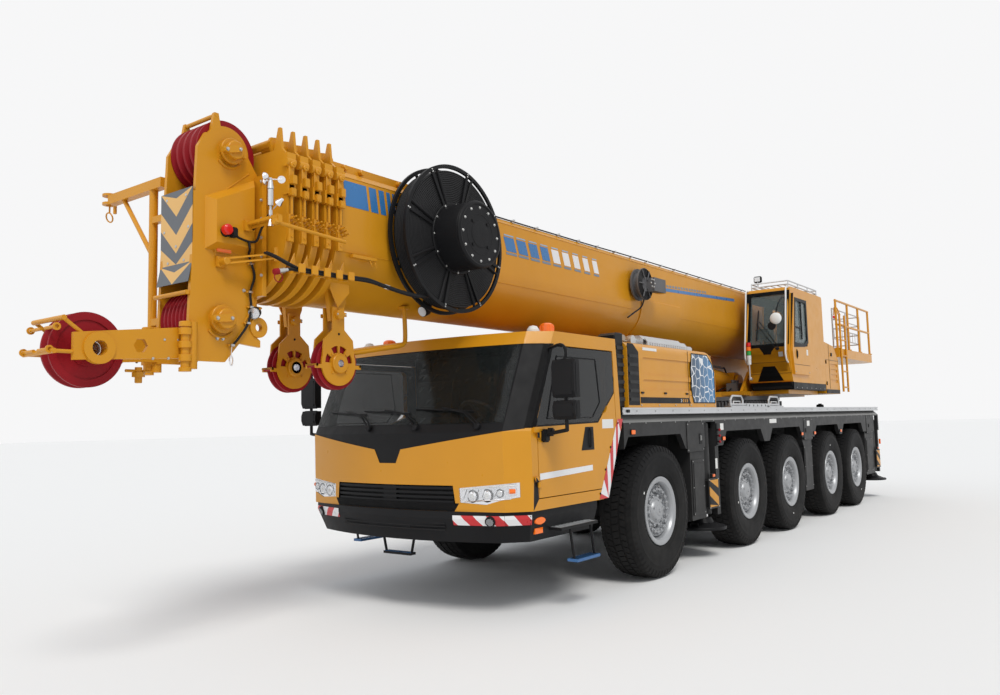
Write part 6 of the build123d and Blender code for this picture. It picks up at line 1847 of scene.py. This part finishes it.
# ---------------------------------------------------------------- side skirts and outriggers
for side_name, side in SIDES:
    skirt = Piece(
        f"skirt_fittings_{side_name}", "carrier", "dark_paint", dark, black, orange_lens, label_white,
        nut_steel, red, plastic, edge_grey,
    )
    flush, back = side * DECK_HALF, side * (DECK_HALF - 0.020)
    # cover panels on the recessed cabinets between the wheel openings
    door_zone = (0.915, 1.235) if side > 0 else (0.465, 0.795)
    low, high = 0.53, 1.16
    for rear, front in (door_zone, (-3.255, -2.86), (-7.08, -6.66)):
        skirt.box((rear, front), (back, back + side * 0.010), (low, high), 0.004, 0)
        skirt.box(
            (rear + 0.03, front - 0.03), (back + side * 0.008, back + side * 0.016),
            (low + 0.04, high - 0.04), 0.005, 0,
        )
        for x in (rear + 0.018, front - 0.018):
            for z in (low + 0.02, (low + high) / 2, high - 0.02):
                skirt.bolt((x, back + side * 0.010, z), (0, side, 0), 0.006, 4, washer=False)
    # upper doors above them
    for rear, front in ((door_zone[0] + 0.005, door_zone[1] + 0.14), (-3.265, -2.86), (-7.10, -6.70)):
        skirt.box((rear, front), (flush, flush + side * 0.006), (1.245, 1.585), 0.003, 0)
        for x in (rear + 0.02, front - 0.02):
            skirt.bolt((x, flush + side * 0.006, 1.56), (0, side, 0), 0.006, 4, washer=False)
            skirt.bolt((x, flush + side * 0.006, 1.27), (0, side, 0), 0.006, 4, washer=False)
    # row of bolts and a light strip on the sloping upper edge
    for number in range(30):
        x = 2.70 - 0.35 * number
        skirt.bolt((x, side * (DECK_HALF - 0.001), 1.592), (0, side, 0), 0.006, 4, washer=False)
    # latch with its dark bowl
    x = door_zone[0] + 0.10
    # control box beside the outrigger: dark recess and red knobs; then blank labels and the rear side lamp
    slot_x = 0.52 if side > 0 else 1.205
    for rear, front, sunk, proud, low, high, bevel, finish in (
        (x - 0.035, x + 0.035, 0.004, 0.010, 1.33, 1.45, 0.004, 6),
        (x - 0.020, x + 0.020, 0.008, 0.020, 1.37, 1.43, 0.005, 7),
        (-2.97, -2.91, 0.004, 0.014, 1.36, 1.43, 0.004, 6),
        (-6.90, -6.84, 0.004, 0.014, 1.36, 1.43, 0.004, 6),
        (slot_x - 0.022, slot_x + 0.022, 0, 0.012, 1.30, 1.56, 0.004, 6),
        (slot_x - 0.03, slot_x + 0.03, -0.020, -0.017, 1.02, 1.14, 0, 3),
        (0.30, 0.40, 0, 0.002, 1.475, 1.555, 0, 3), (-1.64, -1.36, 0, 0.002, 1.53, 1.588, 0, 3),
        (-3.15, -3.02, 0.005, 0.008, 1.46, 1.54, 0, 3), (-7.66, -7.62, 0, 0.030, 1.02, 1.12, 0.006, 2),
    ):
        skirt.box((rear, front), (flush + side * sunk, flush + side * proud), (low, high), bevel, finish)
    for z in (1.34, 1.41, 1.48):
        skirt.rod((slot_x, flush + side * 0.010, z), (slot_x, flush + side * 0.040, z), 0.010, 12, 1)
        skirt.rod(
            (slot_x, flush + side * 0.034, z), (slot_x, flush + side * 0.052, z), 0.017, 14, 5, chamfer=0.006
        )
    # orange reflectors on their dark plates
    for x, z in ((2.645, 1.505), (0.32, 1.372), (-2.76, 1.347), (-3.40, 1.345), (-4.90, 1.345)):
        hit, normal, _, _ = skin("side_skirts").ray_cast(Vector((x, side * 2.2, z)), Vector((0, -side, 0)))
        if hit is None or abs(hit.y) < 1.25:
            continue
        skirt.box((x - 0.048, x + 0.048), (hit.y, hit.y + side * 0.010), (z - 0.028, z + 0.028), 0.004, 1)
        skirt.box(
            (x - 0.040, x + 0.040), (hit.y + side * 0.008, hit.y + side * 0.016), (z - 0.021, z + 0.021),
            0.005, 2,
        )
    skirt.done()

# inner walls of the wheel arches
arches = Piece("arch_liners", "carrier", "dark_paint", underside)
for side in (-1, 1):
    arches.box((-7.62, 2.80), (side * 0.595, side * 0.605), (1.18, 1.672))
    arches.box((-7.60, -7.59), (side * 0.60, side * 1.06), (1.18, 1.672))
arches.done()

for end in ("front", "rear"):
    for side_name, side in SIDES:
        body = f"beam_{end}_{side_name}"
        low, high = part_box(f"outrigger_beam_{end}_{side_name}")
        middle = (low.x + high.x) / 2
        y = side * (DECK_HALF + 0.015)
        kit = Piece(
            f"outrigger_fittings_{end}_{side_name}", body, "dark_paint", boom_yellow, black, dark, nut_steel,
            orange_lens, hose,
        )
        corners = [
            (middle - 0.125, y, 0.59), (middle + 0.125, y, 0.59), (middle + 0.125, y, 0.90),
            (middle - 0.125, y, 0.90),
        ]
        bands(kit, corners, 3, 1.3, (0, 1), 0.003 * -side)
        for step in (-0.128, 0.128):
            for z in (0.585, 0.905):
                kit.bolt((middle + step, y, z), (0, side, 0), 0.008, 3)
        # cylinder head on the sleeve, its hose fitting and lamp
        top = high.z
        jack_y = side * (DECK_HALF - 0.150)
        kit.rod((middle, jack_y, top), (middle, jack_y, top + 0.016), 0.10, 24, 2, chamfer=0.004)
        for out in spokes(8, axis="z"):
            kit.bolt(Vector((middle, jack_y, top + 0.014)) + out * 0.080, (0, 0, 1), 0.008, 3)
        kit.tube(
            [
                (middle + 0.118, jack_y, 1.36), (middle + 0.135, jack_y, 1.34),
                (middle + 0.135, jack_y, 1.10), (middle + 0.130, jack_y - side * 0.02, 0.93),
            ],
            0.010, 8, 5,
        )
        kit.box((middle - 0.04, middle + 0.04), (y - side * 0.03, y + side * 0.005), (0.928, 0.972), 0.005, 2)
        kit.box((middle - 0.03, middle + 0.03), (y, y + side * 0.012), (0.935, 0.965), 0.004, 4)
        kit.done()
        # rod wiper, pad collar and the pad's carrying handles
        foot = Piece(
            f"jack_fittings_{end}_{side_name}", f"jack_{end}_{side_name}", "dark_paint", black, nut_steel,
            plastic,
        )
        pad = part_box(f"outrigger_jack_{end}_{side_name}")[0].z
        foot.lathe(
            [(pad + 0.105, 0.118), (pad + 0.135, 0.106), (pad + 0.135, 0.085), (pad + 0.105, 0.085)],
            (middle, jack_y, 0), "z", 32, 0, closed=True,
        )
        foot.lathe(
            [
                (pad + 0.002, 0.268), (pad + 0.002, 0.278), (pad + 0.018, 0.280), (pad + 0.034, 0.272),
                (pad + 0.034, 0.262),
            ],
            (middle, jack_y, 0), "z", 48, 0, closed=True,
        )
        for out in spokes(8, 0.2, "z"):
            steps = ((0.125, 0.085), (0.25, 0.032), (0.125, 0.032))
            rib = [Vector((middle, jack_y, pad + rise)) + out * reach for reach, rise in steps]
            across = Vector((-out.y, out.x, 0)) * 0.005
            foot.solid([[corner - across for corner in rib], [corner + across for corner in rib]], 0)
        for x in (middle + 0.225, middle - 0.225):
            handle(foot, (x, jack_y - 0.05, pad + 0.035), (x, jack_y + 0.05, pad + 0.035), 0.04, 0.007, 6, 2)
        foot.done()


# ---------------------------------------------------------------- operator's cab
OP_IN, OP_OUT = 0.640, 1.310


def op_front(z):
    """x of the operator's cab's front at a height."""
    if z < 2.60:
        return -2.445 - 0.25 * (2.60 - z)
    return -2.445 - 0.190 * (z - 2.60)


def op_front_strip(piece, points, off, thick, finish):
    """A plate over the cab's front from (y, z) points on both sides of the crease, given in level rows."""
    pane(piece, [[(op_front(z) + off, y, z) for y, z in row] for row in points], thick, finish)


def op_base(spot, normal):
    """Faces of the black base and of the inner walls' edges."""
    return spot.z < 2.135


def op_inside(spot, normal):
    return OP_IN + 0.03 < spot.y < OP_OUT - 0.02 and 2.16 < spot.z < 3.52 and -4.26 < spot.x < op_front(
        spot.z
    ) - 0.02


paint("operator_cab", yellow, (black, op_base), (trim, op_inside))
opcab = Piece(
    "operator_cab_fittings", "turntable", "black_paint", black, pale_glass, yellow, white, aluminium, plastic,
    nut_steel, label_white, mirror, seat_cloth, trim,
)
# windscreen, its black frame and the panel below with its notch
low_z, sill_z, top_z = 2.30, 2.70, 3.51
y0, y1 = 0.702, 1.248
mid = (y0 + y1) / 2
op_front_strip(opcab, [[(y0, z), (y1, z)] for z in (2.62, 2.8, 3.1, 3.3, top_z)], -0.012, 0.004, 1)
for a, b in ((OP_IN + 0.002, y0 + 0.012), (y1 - 0.012, OP_OUT - 0.002)):
    op_front_strip(opcab, [[(a, z), (b, z)] for z in (sill_z, 2.9, 3.2, 3.545)], 0.004, 0.004, 0)
op_front_strip(opcab, [[(y0, 3.49), (y1, 3.49)], [(y0, 3.545), (y1, 3.545)]], 0.004, 0.004, 0)
op_front_strip(
    opcab, [[(y0, sill_z - 0.03), (y1, sill_z - 0.03)], [(y0, sill_z + 0.02), (y1, sill_z + 0.02)]], 0.004,
    0.004, 0,
)
panel = [[(y0 - 0.001, low_z), (mid - 0.10, low_z), (mid + 0.10, low_z), (y1 + 0.001, low_z)]]
for z, half in ((2.45, 0.10), (2.56, 0.055), (2.60, 0.07), (2.68, 0.13)):
    panel.append([(y0 - 0.001, z), (mid - half, z), (mid + half, z), (y1 + 0.001, z)])
op_front_strip(opcab, [row[:2] for row in panel], 0.001, 0.016, 2)
op_front_strip(opcab, [row[2:] for row in panel], 0.001, 0.016, 2)
op_front_strip(opcab, [row[1:3] for row in panel[:3]], 0.001, 0.016, 2)
op_front_strip(opcab, [row[1:3] for row in panel[2:]], -0.002, 0.010, 0)
op_front_strip(
    opcab,
    [
        [(mid - 0.20, 2.155), (mid + 0.20, 2.155)], [(mid - 0.13, 2.30), (mid + 0.13, 2.30)],
        [(mid - 0.09, 2.38), (mid + 0.09, 2.38)],
    ],
    0.004, 0.004, 0,
)
op_front_strip(
    opcab, [[(mid + 0.17, 2.52), (mid + 0.24, 2.52)], [(mid + 0.17, 2.59), (mid + 0.24, 2.59)]], 0.004, 0.003,
    7,
)
for z in (2.27, 2.44):
    x = op_front(z) + 0.002
    opcab.tube([(x, OP_IN + 0.01, z), (x, OP_OUT - 0.01, z)], 0.003, 4, 5, smooth=False)
# wiper with its two arms
for start, end in (((1.16, 2.66), (0.86, 3.08)), ((1.12, 2.64), (0.82, 3.04))):
    opcab.rod((op_front(start[1]) + 0.03, *start), (op_front(end[1]) + 0.03, *end), 0.006, 6, 0)
opcab.rod((op_front(2.78) + 0.016, 0.82, 2.78), (op_front(3.26) + 0.016, 0.84, 3.26), 0.009, 6, 0)
opcab.rod((op_front(2.64), 1.14, 2.64), (op_front(2.64) + 0.04, 1.14, 2.64), 0.024, 14, 0, chamfer=0.005)
# white grab rails at both edges of the front
for y in (OP_IN + 0.02, OP_OUT - 0.03):
    opcab.tube(
        [
            (op_front(3.56) - 0.02, y, 3.585), (op_front(3.50) + 0.07, y, 3.57),
            (op_front(3.40) + 0.085, y, 3.42), (op_front(2.95) + 0.085, y, 2.95),
            (op_front(2.62) + 0.085, y, 2.60), (op_front(2.50) + 0.075, y, 2.47),
            (op_front(2.44) - 0.005, y, 2.42),
        ],
        0.013, 8, 3, steps=4,
    )
# rack round the roof, with feet and cross bars
roof_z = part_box("operator_cab")[1].z
rack = [(-2.72, OP_IN + 0.05), (-2.72, OP_OUT - 0.05), (-4.18, OP_OUT - 0.05), (-4.18, OP_IN + 0.05)]
for lift in (0.05, 0.105):
    ring = [(x, y, roof_z + lift) for x, y in rack]
    opcab.tube(ring + ring[:1], 0.011, 8, 4, smooth=False)
for x in (-2.72, -3.20, -3.70, -4.18):
    for y in (OP_IN + 0.05, OP_OUT - 0.05):
        opcab.rod((x, y, roof_z - 0.01), (x, y, roof_z + 0.105), 0.009, 8, 4)
    opcab.rod((x, OP_IN + 0.05, roof_z + 0.05), (x, OP_OUT - 0.05, roof_z + 0.05), 0.009, 8, 4)
for number in range(5):
    y = OP_IN + 0.14 + 0.10 * number
    opcab.rod((-2.72, y, roof_z + 0.05), (-4.18, y, roof_z + 0.05), 0.007, 6, 4)
opcab.box((-3.9, -3.0), (0.78, 1.17), (roof_z, roof_z + 0.028), 0.008, 5)
# work lamp on its mast
opcab.rod((-2.76, 0.78, roof_z + 0.05), (-2.76, 0.78, roof_z + 0.15), 0.010, 8, 4)
opcab.box((-2.80, -2.74), (0.72, 0.84), (roof_z + 0.13, roof_z + 0.23), 0.012, 5)
opcab.box((-2.742, -2.736), (0.735, 0.825), (roof_z + 0.145, roof_z + 0.215), 0.002, 4)
# lamp stack on its pole, at the edge beside the boom
stack_x, stack_y = op_front(2.55) + 0.075, 0.715
opcab.rod((stack_x - 0.06, stack_y, 2.20), (stack_x, stack_y, 2.20), 0.024, 14, 4, chamfer=0.004)
opcab.rod((stack_x, stack_y, 2.19), (stack_x, stack_y, 2.42), 0.011, 10, 4)
opcab.rod((stack_x - 0.07, stack_y, 2.44), (stack_x, stack_y, 2.44), 0.012, 10, 4)
opcab.rod((stack_x, stack_y, 2.42), (stack_x, stack_y, 2.50), 0.030, 18, 3, chamfer=0.004)
# mirrors on their arm at the outer edge
arm = [
    (op_front(3.40), 1.25, 3.40), (-2.42, 1.26, 3.41), (-2.30, 1.25, 3.34), (-2.25, 1.22, 3.22),
    (-2.25, 1.20, 3.10),
]
opcab.tube(arm, 0.010, 8, 0)
dome(opcab, Vector((-2.25, 1.20, 3.08)), Vector((1, 0, 0)), 0.05, 0.088, 5, 24, 3, 0.004)
opcab.rod((-2.262, 1.20, 3.08), (-2.25, 1.20, 3.08), 0.090, 24, 0)
opcab.rod((-2.266, 1.20, 3.08), (-2.262, 1.20, 3.08), 0.080, 24, 8)
opcab.rod((-2.26, 1.135, 2.975), (-2.235, 1.135, 2.975), 0.062, 20, 0, chamfer=0.008)
# black base band and mounting brackets
opcab.box((-4.29, -2.60), (OP_OUT - 0.022, OP_OUT - 0.004), (2.022, 2.135), 0.005, 0)
opcab.box((-2.62, -2.585), (OP_IN + 0.03, OP_OUT - 0.03), (2.03, 2.13), 0.01, 0)
for number in range(7):
    opcab.bolt((-2.75 - 0.24 * number, OP_OUT - 0.004, 2.05), (0, 1, 0), 0.007, 6)
# seat, its back, armrests with levers, and a screen
opcab.box((-3.62, -3.15), (0.74, 1.20), (2.60, 2.74), 0.05, 9)
opcab.box((-3.72, -3.58), (0.75, 1.19), (2.70, 3.22), 0.05, 9)
opcab.box((-3.71, -3.61), (0.86, 1.08), (3.22, 3.40), 0.035, 9)
for y in (0.715, 1.225):
    opcab.box((-3.50, -3.08), (y - 0.035, y + 0.035), (2.82, 2.88), 0.02, 10)
    opcab.rod((-3.13, y, 2.87), (-3.11, y, 2.99), 0.012, 10, 0)
    opcab.rod((-3.112, y, 2.985), (-3.108, y, 3.03), 0.022, 12, 0, chamfer=0.006)
opcab.box((-2.72, -2.68), (0.73, 0.93), (2.82, 2.98), 0.008, 0)
opcab.rod((-2.70, 0.80, 2.50), (-2.70, 0.80, 2.84), 0.014, 8, 0)
opcab.done()

stack = Piece(
    "operator_lamp_stack", "turntable", "lamp_plastic", red_lens, orange_lens, green_lens, white, black
)
for number, finish in ((0, 3), (1, 2), (2, 1), (3, 0)):
    z = 2.50 + 0.066 * number
    stack.rod((stack_x, stack_y, z), (stack_x, stack_y, z + 0.060), 0.034, 24, finish, chamfer=0.004)
    stack.rod((stack_x, stack_y, z + 0.058), (stack_x, stack_y, z + 0.067), 0.031, 24, 4)
stack.done()

low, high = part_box("operator_door")


def door_frame(spot, normal):
    """Faces round the door's glass."""
    inside = -3.27 < spot.x < -2.6 and 2.69 < spot.z < 3.41
    return inside and high.y - 0.034 < spot.y < high.y - 0.001


paint("operator_door", yellow, (black, door_frame))
glass_line = [(-2.615, 2.70), (-2.735, 3.40), (-3.265, 3.40), (-3.265, 2.70)]
frame_line = [(-2.585, 2.66), (-2.715, 3.435), (-3.30, 3.435), (-3.30, 2.76), (-3.12, 2.69)]
opdoor = Piece(
    "operator_door_fittings", "operator_door", "dark_paint", pale_glass, black, plastic, label_white,
    nut_steel,
)
opdoor.plate(glass_line, "y", high.y - 0.016, high.y - 0.012, 0, 0)
inner = [(-2.645, 2.735), (-2.748, 3.385), (-3.245, 3.385), (-3.245, 2.80), (-3.10, 2.735)]
for a, b, c, d in zip(frame_line, frame_line[1:] + frame_line[:1], inner[1:] + inner[:1], inner):
    opdoor.plate([a, b, c, d], "y", high.y - 0.001, high.y + 0.005, 0, 1)
opdoor.rod((-2.99, high.y + 0.001, 2.80), (-2.99, high.y + 0.001, 3.385), 0.012, 6, 1)
opdoor.plate(
    [(-2.99, 2.965), (-2.69, 2.965), (-2.69, 2.985), (-2.99, 2.985)], "y", high.y - 0.010, high.y + 0.003, 0,
    1,
)
oval = [(-2.70 + 0.028 * cos(t), 2.56 + 0.075 * sin(t)) for t in [2 * pi * n / 20 for n in range(20)]]
opdoor.plate(oval, "y", high.y, high.y + 0.006, 0.002, 2)
opdoor.box((-2.712, -2.688), (high.y + 0.005, high.y + 0.018), (2.51, 2.61), 0.004, 1)
opdoor.plate([(-3.26, 2.56), (-3.18, 2.56), (-3.18, 2.65), (-3.26, 2.65)], "y", high.y, high.y + 0.002, 0, 3)
opdoor.tube([(-2.56, high.y + 0.001, 2.40), (-3.33, high.y + 0.001, 2.40)], 0.003, 4, 2, smooth=False)
for x in (-2.62, -3.28):
    opdoor.bolt((x, high.y, 2.29), (0, 1, 0), 0.008, 4)
opdoor.done()

# ---------------------------------------------------------------- turntable, counterweight, platform
table = Piece(
    "turntable_fittings", "turntable", "yellow_paint", yellow, black, nut_steel, dark, hose, grey_iron,
    aluminium, orange_lens, red_lens, label_white,
)
for side in (-1, 1):
    # cap of the boom's foot pin, and bolts along the rib
    pin = Vector((SLEW_X - 1.85, side * 0.645, 3.05))
    table.rod(pin, pin + Vector((0, side * 0.03, 0)), 0.075, 28, 0, chamfer=0.006)
    for out in spokes(6):
        table.bolt(pin + Vector((0, side * 0.03, 0)) + out * 0.05, (0, side, 0), 0.009, 2)
    for number in range(8):
        share = number / 7
        table.bolt((SLEW_X - 0.55 - 0.8 * share, side * 0.60, 2.41 + 0.655 * share), (0, side, 0), 0.010, 2)
    # tail: lifting eyes and lamps at the back
    for x in (-7.40, -5.60):
        washer(table, (x, side * 0.95, 2.835), "y", (-0.012, 0.012), (0.026, 0.052), 20)
        table.box((x - 0.05, x + 0.05), (side * 0.936, side * 0.964), (2.785, 2.80), 0.003, 0)
    table.box((-7.70, -7.684), (side * 0.78, side * 1.10), (2.655, 2.765), 0.004, 1)
    table.box((-7.708, -7.698), (side * 0.80, side * 0.93), (2.67, 2.75), 0.004, 8)
    table.box((-7.708, -7.698), (side * 0.95, side * 1.08), (2.67, 2.75), 0.004, 7)
# hydraulic lines and valve blocks between and beside the cheeks
for number in range(5):
    y = -0.36 + 0.17 * number
    table.tube(
        [(-2.50, y, 2.03), (-2.75, y, 2.09), (-3.6, y, 2.06), (-4.6, y + 0.02, 2.08), (-5.2, y, 2.10)], 0.013,
        8, 4,
    )
for x, y in ((-3.9, -0.30), (-4.4, 0.28), (-2.75, 0.33)):
    table.box((x - 0.16, x + 0.16), (y - 0.09, y + 0.09), (2.02, 2.16), 0.01, 5)
    for number in range(3):
        table.rod(
            (x - 0.10 + 0.10 * number, y, 2.16), (x - 0.10 + 0.10 * number, y, 2.21), 0.026, 14, 5,
            chamfer=0.004,
        )
# far side: motor of the slew drive, oil tank and filler
table.box((-4.2, -3.1), (-0.86, -0.64), (2.03, 2.42), 0.03, 0)
table.rod((-3.35, -0.75, 2.42), (-3.35, -0.75, 2.46), 0.055, 24, 1, chamfer=0.008)
for low, high, radius, sides in ((2.02, 2.24, 0.13, 28), (2.24, 2.40, 0.085, 24)):
    table.rod((-2.72, -0.62, low), (-2.72, -0.62, high), radius, sides, 5, chamfer=0.01)
for out in spokes(8, axis="z"):
    table.bolt(Vector((-2.72, -0.62, 2.24)) + out * 0.108, (0, 0, 1), 0.010, 2)
table.tube(
    [
        (-2.70, -0.60, 2.38), (-2.66, -0.52, 2.46), (-2.80, -0.42, 2.40), (-3.0, -0.40, 2.20),
        (-3.1, -0.38, 2.10),
    ],
    0.013, 8, 4,
)
# housing beside the operator's cab: seam, door latch, a black strip and hinges
y = DECK_HALF - 0.025
table.tube([(-4.33, y + 0.001, 2.55), (-5.10, y + 0.001, 2.55)], 0.0035, 4, 3, smooth=False)
table.tube([(-4.55, y + 0.001, 2.06), (-4.55, y + 0.001, 2.82)], 0.0035, 4, 3, smooth=False)
table.box((-4.72, -4.66), (y, y + 0.014), (2.62, 2.68), 0.004, 1)
table.box((-5.10, -4.32), (y, y + 0.010), (1.985, 2.05), 0.003, 1)
for z in (2.12, 2.48):
    table.rod((-4.345, y + 0.006, z), (-4.345, y + 0.006, z + 0.06), 0.010, 8, 1)
table.done()

rails = Piece(
    "platform_fittings", "turntable", "bare_aluminium", aluminium, yellow, black, nut_steel, red_lens, hose
)
# silver rails behind the yellow ones, on the counterweight, with their mesh
posts = [(-5.30, 1.20), (-6.20, 1.20), (-7.20, 1.20), (-7.20, 0.70)]
for x, y in posts:
    rails.rod((x, y, 2.79), (x, y, 3.52), 0.014, 10, 0)
    rails.box((x - 0.04, x + 0.04), (y - 0.04, y + 0.04), (2.785, 2.80), 0.003, 0)
for z in (2.98, 3.16, 3.34, 3.52):
    rails.tube([(x, y, z) for x, y in posts], 0.011, 8, 0, smooth=False)
for number in range(10):
    x = -5.38 - 0.18 * number
    rails.rod((x, 1.20, 2.98), (x, 1.20, 3.16), 0.005, 5, 0)
# treads on the platform and ladder rungs' grip sleeves
for number in range(26):
    x = -5.34 - 0.085 * number
    rails.box((x - 0.006, x + 0.006), (0.64, 1.24), (2.792, 2.80), 0, 2)
for x in (-5.35, -5.46):
    rails.tube([(x, 1.30, 3.40), (x, 1.24, 3.55), (x, 1.22, 3.40)], 0.010, 8, 1)
for x, y in ((-6.6, 0.95), (-6.9, 0.95)):
    rails.rod((x, y, 2.80), (x, y, 2.86), 0.05, 20, 2, chamfer=0.008)
rails.tube([(-7.25, 0.70, 3.52), (-7.25, 0.70, 3.60)], 0.008, 8, 2)
rails.rod((-7.20, 0.72, 3.53), (-7.20, 0.72, 3.60), 0.034, 18, 4, chamfer=0.008)
rails.done()

# winch: rope turns on the drum, flange bolts
drum = Piece("winch_rope", "winch_drum", "bare_aluminium", rope_steel, nut_steel, black)
d_low, d_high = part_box("winch_drum")
dx, dz = (d_low.x + d_high.x) / 2, (d_low.z + d_high.z) / 2
turns, radius = 34, 0.243
points = []
for step in range(turns * 20 + 1):
    share = step / (turns * 20)
    angle = 2 * pi * turns * share
    points.append((dx + radius * cos(angle), -0.385 + 0.77 * share, dz + radius * sin(angle)))
drum.tube(points, 0.011, 5, 0, smooth=False)
for side in (-1, 1):
    for out in spokes(12):
        drum.bolt(Vector((dx, side * 0.43, dz)) + out * 0.16, (0, side, 0), 0.012, 1)
drum.done()

# lift cylinder: its hard lines along the barrel, their brackets, and the gland's bolts
lift = Piece("lift_barrel_fittings", "lift_barrel", "yellow_paint", yellow, nut_steel, hose, grey_iron)
barrel_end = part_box("lift_barrel")[1].x
foot, tip = Vector((-3.165, 0, 2.200)), Vector((0.185, 0, 2.420))
along = (tip - foot).normalized()
up_way = Vector((0, 1, 0)).cross(along)
up_way = up_way if up_way.z > 0 else -up_way
for side in (-1, 1):
    line = [
        foot + along * share + Vector((0, side * 0.10, 0)) + up_way * 0.192
        for share in (0.35, 0.9, 1.8, 2.85)
    ]
    lift.tube(line, 0.014, 8, 3, smooth=False)
    lift.tube(
        [line[0], line[0] - along * 0.08 + up_way * 0.01, line[0] - along * 0.16 - up_way * 0.06], 0.014, 8, 2
    )
for share in (0.5, 1.2, 1.9, 2.6):
    spot = foot + along * share
    lift.box(*((a - s, a + s) for a, s in zip(spot + up_way * 0.198, (0.025, 0.13, 0.014))), 0.004, 3)
for turn in range(12):
    angle = 2 * pi * turn / 12
    out = Vector((0, 1, 0)) * cos(angle) + up_way * sin(angle)
    end = foot + along * ((barrel_end - foot.x) / along.x - 0.03)
    lift.bolt(end + out * 0.168 + along * 0.004, along, 0.010, 1)
lift.done()
